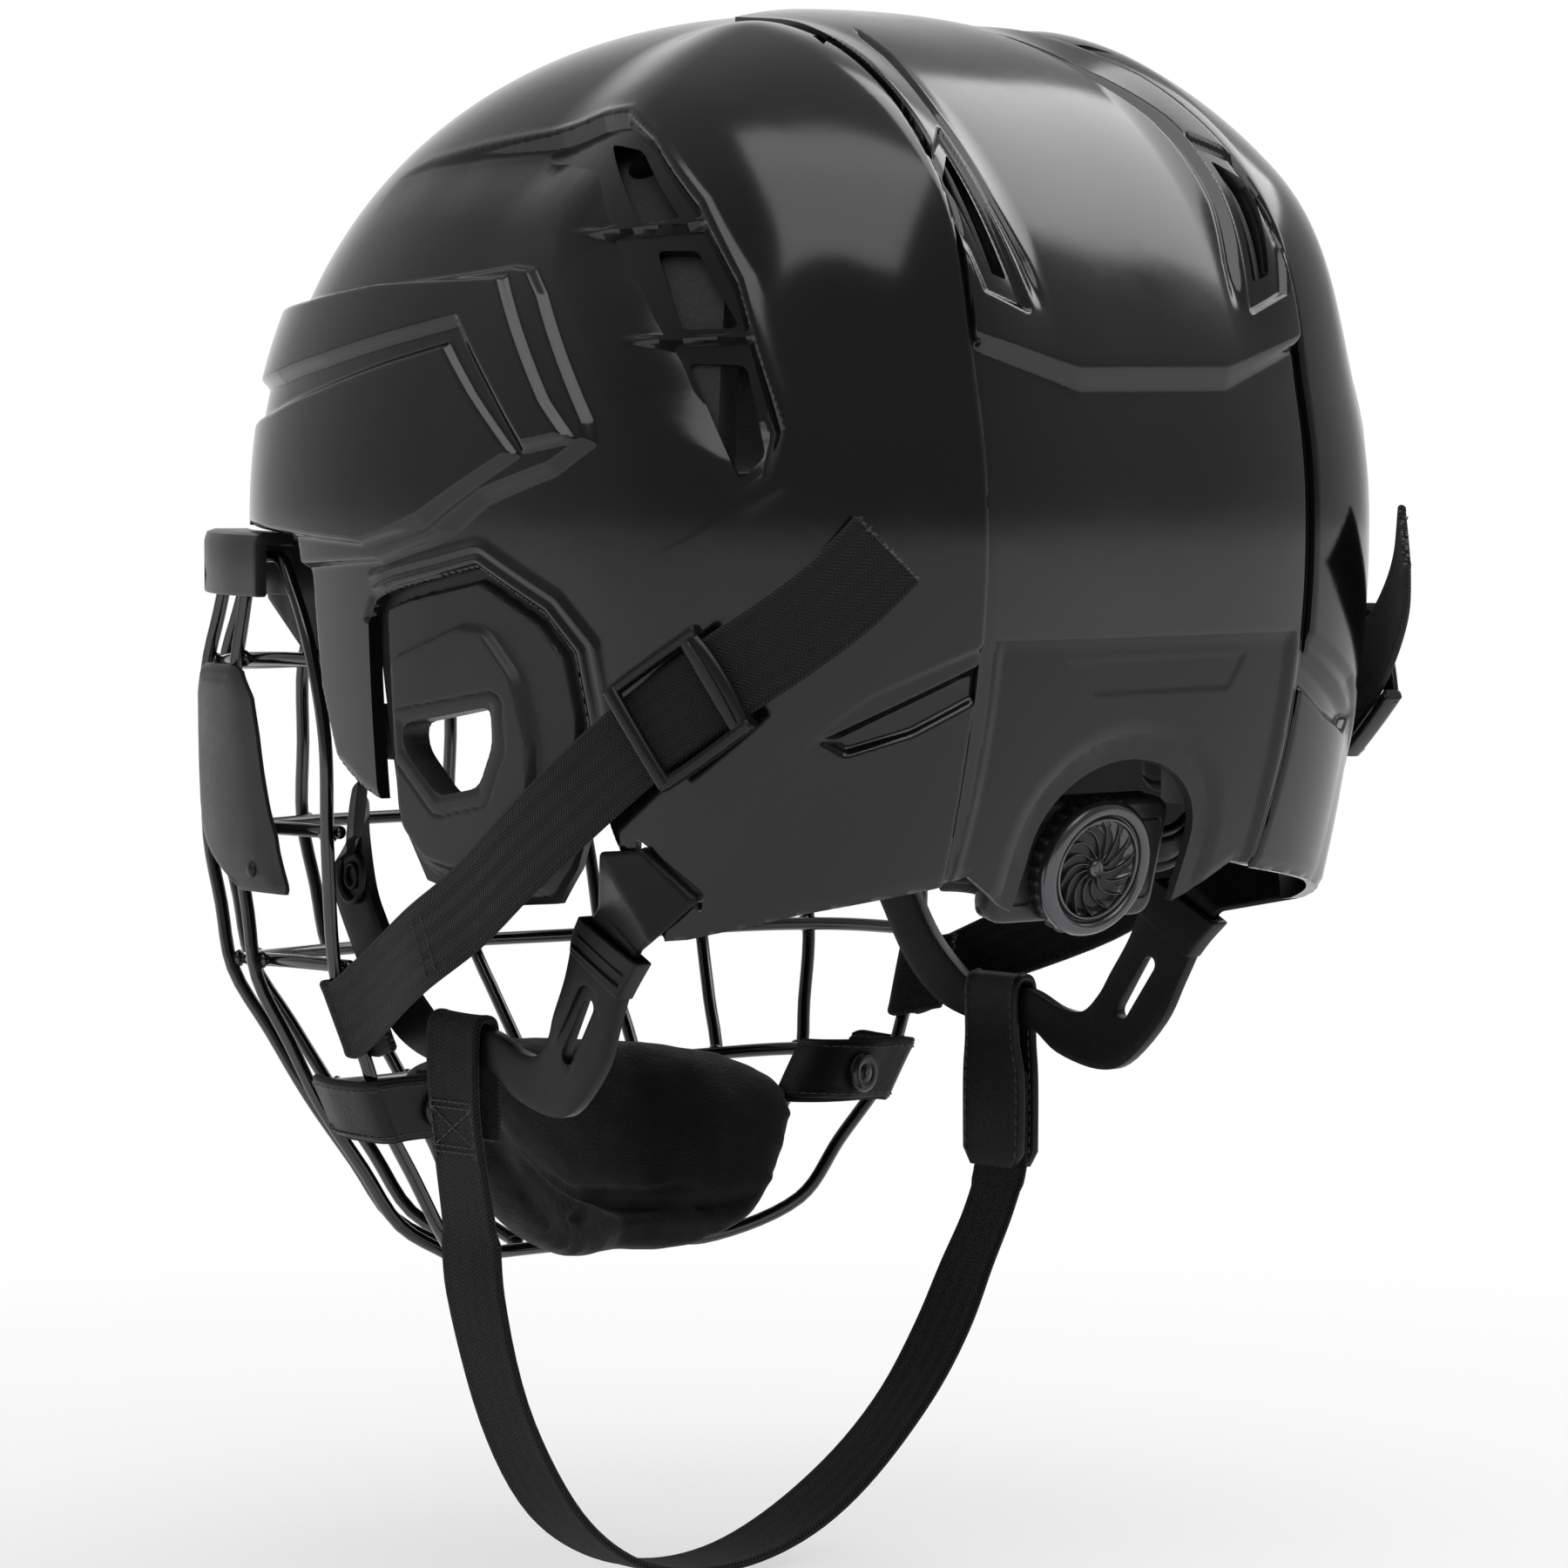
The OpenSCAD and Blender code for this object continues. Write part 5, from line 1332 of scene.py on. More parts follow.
def fray(p, h, n, end, count, seed):
    """Short thread ends and melted beads along a cut end."""
    rng = np.random.default_rng(seed)
    i, j = (0, 1) if end == 0 else (-1, -2)
    d = unit(p[i] - p[j])
    parts = []
    for k in range(count):
        s = rng.uniform(-0.98, 0.98)
        base = p[i] + h[i] * s + n[i] * rng.uniform(-0.4, 0.4) * WEB_T - d * 0.5
        if k % 3 == 0:
            radii = (rng.uniform(0.35, 0.7), rng.uniform(0.3, 0.55), rng.uniform(0.3, 0.6))
            parts.append(ball(base + d * 0.55, radii, None, 7, 5))
        else:
            tip = base + d * rng.uniform(0.8, 1.7) + h[i] * rng.uniform(-0.05, 0.05) + n[i] * rng.uniform(-0.5, 0.5)
            mid = (base + tip) / 2 + n[i] * rng.uniform(-0.2, 0.2)
            parts.append(tube_data([base, mid, tip], [0.16, 0.13, 0.07], 5))
    return parts


def strap_mid(k):
    return skin(*STRAP_RUN[k])


def outward(p):
    """Level direction away from the head."""
    return unit(np.array([p[0], p[1] * 0.6, 0]))


def around(c, degrees):
    """Places of a loop round an upright wire at c."""
    return [c + LOOP_R * np.array([math.cos(a * DEG), math.sin(a * DEG), 0]) for a in degrees]


def slider_frame():
    p = (strap_mid(4) + strap_mid(5)) / 2
    d = unit(strap_mid(5) - strap_mid(4))
    o = outward(p)
    w = unit(np.cross(o, d))
    n = np.cross(d, w)
    if n @ o < 0:
        n = -n
    return p, d, w, n


def strap_path():
    """Places and half-width vectors of the left side strap."""
    z = BARS[2] + BAR_RISE - WIRE_D / 2 - 0.7 - SIDE_W / 2
    c, t = wire_mid(z, SIDE_W), wire_dir(z, SIDE_W)
    loop = around(c, range(-190, 21, 35))
    tail, rise = [c + [0.8, 11, 2.2], c + [-0.9, 6, 1.2]], [c + [6.4, 13, 5]]
    path = np.array(tail + loop + rise + [strap_mid(k) for k in range(len(STRAP_RUN))])
    half = [t * SIDE_W / 2] * (len(loop) + 3)
    for i in range(len(half), len(path)):
        d = unit(path[min(i + 1, len(path) - 1)] - path[i - 1])
        w = unit(np.cross(outward(path[i]), d))
        half.append((-w if w[2] < 0 else w) * SIDE_W / 2)
    return np.vstack([path, path[-1] + unit(path[-1] - path[-2])]), half + half[-1:]


def side_strap(side, name):
    """Strap from its loop round the side wire up over the shell and through its slider to the free end."""
    p, h, n = band_frame(*strap_path())
    share = np.linspace(0, 1, len(p))
    h = h * np.where(share > 0.9, 1.0 + 0.03 * share ** 8, 1.0)[:, None]
    band = band_object("side_strap_band_" + name, p, h, n, MAT["web"], seed=5, wave=0.22)
    ends = fray(p, h, n, -1, 70, 11) + fray(p, h, n, 0, 24, 12)
    sew = cross_stitches(p, h, n, 0.335, 0.78, 9) + cross_stitches(p, h, n, 0.352, 0.78, 9)
    threads = [add_object("side_strap_%s_%s" % (kind, name), *join(parts), MAT["thread"], sharp=60)
               for kind, parts in (("ends", ends), ("stitches", sew))]
    for o in [band] + threads:
        finish_piece(o, "cage", "side_strap_" + name, side)


def super_tube(path, ra, rb, ref, power):
    """Rod with a squarish round section: ra along ref, rb square to it; ends drawn in."""
    path = np.asarray(path, float)
    a, b = unit(path[0] - path[1]), unit(path[-1] - path[-2])
    path = np.vstack([path[0] + a * 0.35, path, path[-1] + b * 0.35])
    n, sides = len(path), 20
    k = np.ones(n)
    k[0] = k[-1] = 0.72
    cw, sw = np.cos(turn(sides)), np.sin(turn(sides))
    cx = np.sign(cw) * np.abs(cw) ** (2 / power)
    sx = np.sign(sw) * np.abs(sw) ** (2 / power)
    t = unit(np.gradient(path, axis=0))
    e = unit(ref - t * (t @ np.asarray(ref, float))[:, None])
    f = np.cross(t, e)
    ra, rb = (np.pad(np.broadcast_to(np.asarray(r, float), (n - 2,)), 1, mode="edge") * k for r in (ra, rb))
    wide, thick = cx[None] * ra[:, None], sx[None] * rb[:, None]
    v = path[:, None] + e[:, None] * wide[..., None] + f[:, None] * thick[..., None]
    faces = grid_faces(n, sides, loop_j=True).tolist()
    return v.reshape(-1, 3), faces + [list(range(sides))[::-1], list(range((n - 1) * sides, n * sides))]


def strap_slider(side, name):
    """Tri-glide: two side rails, a thick round bar low and a lens-shaped cap high."""
    p, d, w, n = slider_frame()
    hw = SIDE_W / 2 + 0.6

    def at(x, y, z):
        return p + d * x + w * y + n * z

    base = -(WEB_T / 2 + 0.1)
    top = WEB_T / 2 + 0.4 + 2.2
    parts = []
    for k in (1, -1):
        bow = [(x, k * (hw + 1.3) + k * 0.25 * (1 - (x / 12) ** 2)) for x in np.linspace(-12.2, 12.2, 13)]
        line = [at(x, y, (base + top) / 2) for x, y in bow]
        parts.append(super_tube(line, (top - base) / 2, 1.3, n, 3.4))
    lift = WEB_T / 2 + 0.45
    line = [at(-10.9, y, lift + 1.35 + 0.25 * (1 - (y / hw) ** 2)) for y in np.linspace(-hw - 1.6, hw + 1.6, 15)]
    parts.append(super_tube(line, 1.45, 1.7, n, 2.3))
    ys = np.linspace(-hw - 2.2, hw + 2.2, 21)
    bulge = 1 - (np.abs(ys) / (hw + 2.2)) ** 2.2
    line = [at(9.7 + 0.9 * b, y, lift + 1.0) for y, b in zip(ys, bulge)]
    parts.append(super_tube(line, 0.9 + 0.55 * bulge, 1.9 + 1.0 * bulge, n, 2.4))
    line = [at(9.9 + 0.9 * b, y, lift + 2.15 + 0.42 * b) for y, b in zip(ys[2:-2], bulge[2:-2])]
    parts.append(round_end_tube(line, 0.32, 8))
    obj = add_solid("slider_" + name, join(parts), MAT["gloss_plastic"], sharp=42)
    finish_piece(obj, "cage", "strap_slider_" + name, side)


# Harness: places and half-width vectors of its legs

LEG_FRONT = [(91, -38, -14), (88.2, -44, -16), (82.4, -50.2, -19), (78.3, -57.7, -24.5), (77, -58, -33),
             (77, -52.5, -43), (77, -45.5, -53), (77.2, -37.5, -60), (77.5, -29, -63.9), (77.5, -20, -64.3),
             (77.5, -9, -64.7), (77.8, 0, -69), (78.4, 10, -70.5)]
LEG_FRONT_W = [(1, 6), (1, 5.5), (2.5, 5.5), (5, 3.8), (6, 1), (4.8, 2.9), (4.2, 3.7), (3.2, 4.2), (1.2, 4),
               (0, 4), (0, 4.2), (0.5, 5), (-2.4, 6.4)]
LEG_REAR = [(78.4, 10, -70.5), (79, 15.5, -68), (80, 22.5, -60.3), (81, 27.5, -51.6), (81.8, 31.7, -42.6)]
LEG_REAR_W = [(-2.4, 6.4), (-4, 7.4), (-7.8, 5.2), (-7.8, 4.6), (-8.4, 4.4)]
MOUTH = np.array([82.6, 36.6, -38])


def with_x(half):
    return np.array([(0, a, b) for a, b in half], float)


def leg_solid(path, half, t, per=5, across=7, crown=0.25):
    """Flat moulded leg: wide in its own plane, t thick, its faces a little crowned."""
    both = spline(np.hstack([np.asarray(path, float), half]), per)
    p, h = both[:, :3], both[:, 3:]
    s = np.linspace(-1, 1, across)
    mid = spread(p, h, s)
    rise = (t / 2 - crown * np.abs(s) ** 3)[None, :, None] * np.array([1.0, 0, 0])
    return slab_data(mid + rise, mid - rise)


def rod_cutter(pts, r, x_half):
    """Upright slot cutter along x: a stadium between two places in the y-z plane."""
    a, b = np.array(pts, float)
    d = unit(b - a)
    w0 = math.atan2(d[2], d[1])
    ring = [c + np.array([0, math.cos(w), math.sin(w)]) * r for c, start in ((a, math.pi / 2), (b, -math.pi / 2))
            for w in w0 + start + np.linspace(0, math.pi, 14)]
    ring, x = np.array(ring), np.array([x_half, 0, 0])
    return np.vstack([ring + x, ring - x]), ring_solid_faces(len(ring))


BOX_FACES = [[0, 1, 3, 2], [4, 6, 7, 5], [0, 4, 5, 1], [2, 3, 7, 6], [0, 2, 6, 4], [1, 5, 7, 3]]
COLLAR_RUN = [(81.4, 30.4, -46), (81.8, 32.6, -42.4), tuple(MOUTH)]
COLLAR_W = [(-7.8, 4.6), (-8.82, 4.62), (-9.52, 4.49)]


def mouth_cutter():
    """Flat hole of the collar through which the upper strap comes out."""
    a = np.array([81.6, 32, -42.8])
    w = np.array([0, -6.6, 4.3]) * 1.06
    x = np.array([WEB_T / 2 + 0.3, 0, 0])
    ends = (a, MOUTH + (MOUTH - a))
    return np.array([q + w * s + x * k for q in ends for s in (-1, 1) for k in (-1, 1)]), BOX_FACES


def collar_ridges():
    mid = np.array([81.75 + HARNESS_T / 2 + 0.95, 32.5, -42.6])
    along, across = np.array([0.1, 2.1, 2.3]), np.array([0, -8.6, 4.5])
    lines = [[mid + along * k + across * s for s in np.linspace(-0.8, 0.8, 6)] for k in (-0.5, 0.5)]
    return [round_end_tube(line, 0.5, 8) for line in lines]


def harness_eye():
    """Raised rims of the eyelet where the front leg turns under the ear guard."""
    c = np.array([77.9, -56.5, -30])
    x = HARNESS_T / 2 - 0.1
    rims = []
    for ry, rz, count, r, sides in ((4.1, 5.6, 28, 0.75, 10), (1.9, 2.6, 22, 0.5, 8)):
        turns = np.linspace(0, 2 * math.pi, count, endpoint=False)
        ring = [c + np.array([x, ry * math.cos(w), rz * math.sin(w)]) for w in turns]
        rims.append(tube_data(ring, r, sides, closed=True))
    return rims


def harness(side, name):
    """Moulded harness: front leg, bar, rear leg with its slot, and the collar at its mouth."""
    t = HARNESS_T
    leg = leg_solid(LEG_FRONT + LEG_REAR[1:], with_x(LEG_FRONT_W + LEG_REAR_W[1:]), t)
    leg = add_solid("harness_leg_" + name, leg, MAT["rubber"])
    slot = rod_cutter([(80, 19, -63.4), (81, 26.2, -52.8)], 1.9, 20)
    recess = rod_cutter([(79.8 + t, 13.8, -68.6), (80.8 + t, 27, -51.6)], 3.6, t - 0.8)
    boolean(leg, [slot, recess])
    bevel(leg, 0.5, 2, 40)
    collar = leg_solid(COLLAR_RUN, with_x(COLLAR_W), t + 2, 6, 9, 0.3)
    collar = add_solid("harness_collar_" + name, collar, MAT["rubber"])
    boolean(collar, [mouth_cutter()])
    bevel(collar, 0.6, 3, 40)
    detail = add_solid("harness_detail_" + name, join(collar_ridges() + harness_eye()), MAT["rubber"], sharp=50)
    for o in (leg, collar):
        shade(o, 42)
    for o in (leg, collar, detail):
        finish_piece(o, "helmet", "harness_" + name, side)


def corner_band(path, half, r, k):
    """Flat band of straight runs and short curves: places, across vectors and normals."""
    both = densify(soft_line(np.hstack([np.array(path), np.array(half)]), r, k), 1.5)
    p, h = both[:, :3], both[:, 3:]
    return p, h, normals(p, h)


def harness_strap(side, name):
    """Upper strap: out of the collar, over the shell's lower edge and in through its slot."""
    def row(o):
        return skin(118.9, -36.9, o), skin(125.6, -41.1, o)

    def edge(o):
        return skin(114.2, -37.2, o), skin(120, -44.2, o)

    def mid(r):
        return (r[0] + r[1]) / 2

    def across(r):
        return (r[0] - r[1]) / 2

    w0 = np.array([0, -6.6, 4.3])
    path = [np.array([81.9, 33, -41.6]), MOUTH + [0.5, 2.3, 2.4], mid(edge(2.1)), mid(row(1.75)),
            mid(row(0.0)) + [0, 0, 0.2], mid(row(-5.8))]
    half = [w0, w0, across(edge(2.1)), across(row(1.7)), across(row(0)), across(row(-5))]
    p, h, n = corner_band(path, half, 1.0, 6)
    obj = band_object("harness_upper_" + name, p, h, n, MAT["rubber"], t=1.5, wave=0.0)
    finish_piece(obj, "helmet", "harness_strap_" + name, side)


ROUND_BAR = HARNESS_T / 2 + 0.3 + WEB_T / 2
BAR_TOP = BAR_Z + BAR_HALF + 1.1 + WEB_T / 2


def at_strap(q):
    return np.array([[x, STRAP_Y, z] for x, z in q])


CHIN_LOOP = [(-1, -84), (-1, BAR_TOP - 2), (-0.7, BAR_TOP - 0.2), (0, BAR_TOP + 0.4), (0.7, BAR_TOP - 0.2),
             (1, BAR_TOP - 2), (1, -76)]  # share of the loop's radius, height
CHIN_RUN = [(76, -104), (74.5, -118), (65.7, -146), (52.4, -167), (38, -177.5), (22, -182), (4, -181.5), (-14, -176),
            (-32, -165.5), (-49, -150.5), (-60, -136), (-67.5, -122.5), (-74, -111), (-BAR_X, -101.5), (-BAR_X, -90),
            (-BAR_X, -80)]


def chin_band():
    """Run of the chin strap, its hanging part a little twisted."""
    x, r = BAR_X, ROUND_BAR
    q = at_strap([(x + r * k, z) for k, z in CHIN_LOOP] + [(x + r - 0.9, -84)] + CHIN_RUN)
    p, h, n = band_frame(q, np.tile([0, CHIN_W / 2, 0], (len(q), 1)))
    twist = np.where((p[:, 2] < -105), 0.10 * np.sin((p[:, 0] + 60) / 28), 0)[:, None]
    h = h * np.cos(twist) + n * np.linalg.norm(h, axis=1, keepdims=True) * np.sin(twist)
    return p, h, normals(p, h)


def box_stitches(p, n, a, b):
    """The two crossing seams of the sewn patch between the shares a and b of the run."""
    share = run_lengths(p)
    share = share / share[-1]
    parts = []
    for sign in (1, -1):
        for k in range(6):
            u0, u1 = k / 6, (k + 0.75) / 6
            pts = []
            for w in np.linspace(u0, u1, 4):
                at = a + (b - a) * (0.12 + 0.76 * w)
                c, nn = (np.array([np.interp(at, share, q[:, i]) for i in range(3)]) for q in (p, n))
                across = np.array([0, CHIN_W / 2, 0]) * sign * (1.6 * w - 0.8)
                pts.append(c + across + unit(nn) * (WEB_T / 2 + (0.16 if u0 < w < u1 else 0)))
            parts.append(tube_data(pts, THREAD_R, 6))
    return parts


def sewn_patch(p):
    """Shares of the run at which the loop's sewn patch starts and ends."""
    share = run_lengths(p)
    share = share / share[-1]
    loop = p[:, 0] > 50
    i0 = np.argmax(loop & (p[:, 0] > BAR_X + ROUND_BAR * 0.9) & (p[:, 2] < -74))
    i1 = np.argmax(loop & (p[:, 0] > BAR_X) & (p[:, 2] < -86) & (share > share[i0]))
    return share[i0], share[max(i1, i0 + 2)]


def chin_strap():
    """Chin strap: sewn loop over the left harness, free hanging run, end held in the snap tab."""
    p, h, n = chin_band()
    band = band_object("chin_strap_band", p, h, n, MAT["web"], seed=8, wave=0.25)
    a, b = sewn_patch(p)
    sew = stitches(p, h, n, [(k, a, b) for k in (-0.8, 0.8)])
    for k in (a, a + (b - a) * 0.12, b - (b - a) * 0.12, b):
        sew += cross_stitches(p, h, n, k, 0.8, 7)
    ends = fray(p, h, n, 0, 40, 21) + fray(p, h, n, -1, 40, 22)
    threads = [add_solid("chin_strap_" + kind, join(parts), MAT["thread"], sharp=60)
               for kind, parts in (("stitches", sew + box_stitches(p, n, a, b)), ("fray", ends))]
    for o in [band] + threads:
        finish_piece(o, "helmet", "chin_strap")


def snap_tab():
    """Folded tab with edge stitching; its two leaves hold the strap's end."""
    x, r, m = BAR_X, ROUND_BAR, WEB_T + 0.5
    leaf = [(-x + m, -101), (-x + m, -80), (-x + r, -72), (-x + r, BAR_TOP - 2), (-x + r * 0.7, BAR_TOP - 0.2)]
    q = leaf + [(-x, BAR_TOP + 0.4)] + [(-2 * x - a, z) for a, z in leaf[::-1]]
    w = np.array([[0, CHIN_W / 2 + (1.4 if z < -78 else 0.2), 0] for _, z in q])
    p, h, n = band_frame(at_strap(q), w)
    h = h * np.clip(1 - (np.clip(-97 - p[:, 2], 0, 5) / 5) ** 2.5 * 0.45, 0.5, 1)[:, None]
    tab = band_object("snap_tab_leaf", p, h, n, MAT["leather"], t=1.7, wave=0.0)
    rows = [(k, 0.03, 0.97) for k in (-0.84, 0.84)]
    sew = stitches(p, h, -n, rows, 2.4) + stitches(p, h, n, rows, 2.4)
    for o in (tab, add_solid("snap_tab_stitches", join(sew), MAT["thread"], sharp=60)):
        finish_piece(o, "helmet", "snap_tab")


def turned(p, n):
    """Rings of n points from (radius, height) points turned about z."""
    w = turn(n)
    rings = [np.outer(p[:, 0], np.cos(w)), np.outer(p[:, 0], np.sin(w)), np.repeat(p[:, 1:], n, 1)]
    return np.stack(rings, -1).reshape(-1, 3)


def turned_faces(m, n):
    """m rings of n points, closed at two poles stored after them."""
    return grid_faces(m, n, loop_j=True).tolist() + pole_faces(m, n)


def lathe(profile, n):
    """Closed turned shape about z from (radius, height) points; ends on the axis."""
    p = np.asarray(profile, float)
    v = np.vstack([turned(p[1:-1], n), [0, 0, p[0, 1]], [0, 0, p[-1, 1]]])
    return v, turned_faces(len(p) - 2, n)


def placed(data, origin, z_dir, x_dir=None):
    """Data turned so that its z runs along z_dir (and its x near x_dir), moved to the origin."""
    z = unit(np.asarray(z_dir, float))
    x = np.cross([0.13, 0.98, 0.2], z) if x_dir is None else x_dir - z * (z @ np.asarray(x_dir, float))
    x = unit(x)
    return np.asarray(data[0]) @ np.array([x, np.cross(z, x), z]) + np.asarray(origin, float), data[1]


SNAP_PROFILE = [(0, -0.2), (6.2, -0.2), (6.6, 0.3), (6.6, 1.0), (6.3, 1.7), (5.6, 2.25), (4.8, 2.4), (4.1, 2.15),
                (3.75, 1.5), (3.6, 1.2), (2.75, 1.15), (2.6, 1.7), (2.3, 2.15), (1.7, 2.3), (1.0, 2.1), (0.7, 1.7),
                (0, 1.65)]


def snap_button():
    base = -BAR_X - WEB_T - 0.5 - WEB_T / 2 - 0.15
    data = placed(lathe(SNAP_PROFILE, 44), (base, STRAP_Y, -88), (-1, 0, 0))
    finish_piece(add_solid("snap_press_stud", data, MAT["snap"], sharp=40), "helmet", "snap_button")


for side, name in SIDES:
    side_strap(side, name)
    strap_slider(side, name)
    harness(side, name)
    harness_strap(side, name)
chin_strap()
snap_tab()
snap_button()


# Padding and foam

CLOTH_FRAMES = 20


def cloth_shift(obj, pressure):
    """How far cloth under pressure moves each point of obj."""
    mod = obj.modifiers.new("cloth", "CLOTH")
    for key, value in {"use_pressure": True, "uniform_pressure_force": pressure, "tension_stiffness": 14,
                       "compression_stiffness": 10, "bending_stiffness": 0.4, "mass": 0.12}.items():
        setattr(mod.settings, key, value)
    mod.settings.effector_weights.gravity = 0.0
    mod.collision_settings.use_collision = False
    mod.point_cache.frame_start, mod.point_cache.frame_end = 1, CLOTH_FRAMES
    for f in range(1, CLOTH_FRAMES + 1):
        bpy.context.scene.frame_set(f)
    moved = coordinates(obj.evaluated_get(bpy.context.evaluated_depsgraph_get()).data)
    obj.modifiers.remove(mod)
    bpy.context.scene.frame_set(1)
    return moved - coordinates(obj.data)


def puff(obj, voxel, pressure, cap):
    """Remeshes a closed form and lets cloth under pressure settle it into a padded skin."""
    modify(obj, "REMESH", mode="VOXEL", voxel_size=voxel * MM)
    d = cloth_shift(obj, pressure)
    d -= d.mean(0)
    size = np.linalg.norm(d, axis=1, keepdims=True)
    d *= np.minimum(1, cap * MM / np.maximum(size, 1e-9))
    move_points(obj.data, coordinates(obj.data) + d)
    modify(obj, "SMOOTH", factor=0.5, iterations=6)
    modify(obj, "SUBSURF", levels=1)


def displace(obj, func):
    """Moves each vertex along its normal by func(points in mm), in mm."""
    co, no = coordinates(obj.data), coordinates(obj.data, "normal")
    move_points(obj.data, co + no * (func(co / MM) * MM)[:, None])


def finish_pad(obj, body, node_name, side=1):
    shade(obj)
    finish_piece(obj, body, node_name, side)


def to_line(points, line):
    """Distance from points to an open line in space, and the share of its points reached."""
    line = np.asarray(line, float)
    d = np.full(len(points), 1e9)
    along = np.zeros(len(points))
    for k in range(len(line) - 1):
        a, e = line[k], line[k + 1] - line[k]
        t = np.clip((points - a) @ e / (e @ e), 0, 1)
        dk = np.linalg.norm(points - a - t[:, None] * e, axis=1)
        near = dk < d
        d = np.where(near, dk, d)
        along = np.where(near, (k + t) / (len(line) - 1), along)
    return d, along


def seams(points, lines, deep, wide):
    """Sum of the grooves pulled in along the lines."""
    return sum(-deep * np.exp(-(to_line(points, line)[0] / wide) ** 2) for line in lines)


def fade(t):
    return np.sqrt(np.clip(4 * t * (1 - t), 0, 1))


def lumps(points, scale, seed):
    """Smooth uneven values between about -1 and 1."""
    rng = np.random.default_rng(seed)
    out = np.zeros(len(points))
    for _ in range(7):
        d = unit(rng.normal(size=3))
        w = 2 * math.pi / (scale * rng.uniform(0.7, 1.6))
        out += np.sin(points @ d * w + rng.uniform(0, 6.28))
    return out / 3.5


CUP_SAG = 8.0
CUP_FOLDS = [([(30, -58, -92), (20, -58, -101), (6, -62, -107), (-10, -60, -109), (-24, -54, -108.5),
               (-34, -50, -106)], 2.3, 1.7),
             ([(16, -54, -108), (5, -57, -111.5), (-8, -57, -113)], 1.8, 1.4),
             ([(34, -66, -84), (24, -80, -86), (8, -88, -88), (-8, -88, -88), (-24, -80, -88),
               (-36, -68, -86)], 0.9, 3.0)]  # line, depth, width


def cup_at(a, b, o):
    """Point of the cup: a across, b from the rim to the floor, o outwards; its floor sags."""
    w, e = 100 * a * DEG, (5 + 68 * b) * DEG
    sag = CUP_SAG * step((b - 0.28) / 0.62)
    return np.stack([(54 + o) * np.sin(w) * np.cos(e), -62 - (44 + o) * np.cos(w) * np.cos(e) + 14 * b * b,
                     -64 - (50 + o) * np.sin(e) - sag], -1)


def chin_cup():
    """Padded cup: full bowl with rounded corners, two folds across its floor and a seam near its lower edge."""
    s, t = grid(np.linspace(-1, 1, 100), np.linspace(-0.997, 0.997, 64))
    a = s * 1.03 * (1 - np.abs(t) ** 2.7) ** (1 / 2.7)
    b = 0.535 + 0.455 * t + 0.03 * s * s
    full = np.sqrt(np.clip((1 - np.abs(s) ** 5) * (1 - np.abs(t) ** 5), 0, 1))
    bowl = slab_data(cup_at(a, b, -0.8 * (1 - full)), cup_at(a, b, -3.2 - 9.4 * full))
    obj = add_solid("cup_padding", bowl, MAT["knit"])
    puff(obj, 2.4, 4.0, 4.0)
    seam = [cup_at(k, 0.90 - 0.05 * k * k, -9.0) for k in np.linspace(-0.8, 0.8, 40)]
    turns = np.linspace(-1.2, 1.2, 40)
    hem = [cup_at(0.97 * math.sin(w), 0.535 - 0.455 * math.cos(w) * 0.93, -2.0) for w in turns]

    def relief(p):
        h = 0.4 * lumps(p, 30, 4) + 0.12 * lumps(p, 8, 5)
        d, _ = to_line(p, seam)
        h += -1.2 * np.exp(-d ** 2) + 0.4 * np.exp(-(d - 2.4) ** 2)
        d, _ = to_line(p, hem)
        h += 0.4 * np.exp(-(d / 2.2) ** 2)
        for line, deep, wide in CUP_FOLDS:
            d, t = to_line(p, spline(line, 5))
            h += fade(t) * (-deep * np.exp(-(d / wide) ** 2) + 0.45 * deep * np.exp(-((d - 2.1 * wide) / wide) ** 2))
        return h

    displace(obj, relief)
    finish_pad(obj, "cage", "chin_cup")


TAB_Z, TAB_W, TAB_SNAP = -81.0, 15.0, (60.5, -50.2)


def cup_tab(side, name):
    """Tab of the cup: bound edges, round the side wire, its stud on the inner face."""
    c = wire_mid(TAB_Z, TAB_W)
    w = wire_dir(TAB_Z, TAB_W) * TAB_W / 2
    path = [(x, y, TAB_Z) for x, y in ((52.25, -64), (52.55, -57), (55.9, -52), TAB_SNAP)] + [c + [-5, 3.6, 0]]
    path += around(c, (100, 68, 36, 4))
    path += [c + [LOOP_R + x, y, 0] for x, y in ((0.4, -6), (0.2, -11), (-1, -16), (-1.4, -17.4))]
    half = np.array([w] * len(path))
    half[-1] *= 0.86
    p, h, n = band_frame(path, half)
    p = p + unit(h) * 0.5 * np.sin(np.linspace(0, 1, len(p))[:, None] * 7)
    leaf = band_object("cup_tab_leaf_" + name, p, h, n, MAT["leather"], t=1.5, wave=0.15, seed=9)
    bind = [tube_data(p + h * k * 0.985, 0.62, 8) for k in (-1, 1)]
    sew = stitches(p, h, n, [(k, 0.02, 0.98) for k in (-0.8, 0.8)], 2.2, 0.18, both=True)
    edge = add_solid("cup_tab_binding_" + name, join(bind), MAT["web_fine"], sharp=60)
    thread = add_solid("cup_tab_stitches_" + name, join(sew), MAT["thread"], sharp=60)
    for o in (leaf, edge, thread):
        finish_piece(o, "cage", "cup_tab_" + name, side)


STUD_PROFILE = [(0, -0.9), (4.3, -0.9), (4.5, -0.6), (4.5, 0.1), (4.2, 0.6), (3.6, 0.85), (2.6, 0.62), (2.2, 0.5),
                (1.7, 0.75), (0.9, 0.95), (0, 1.0)]


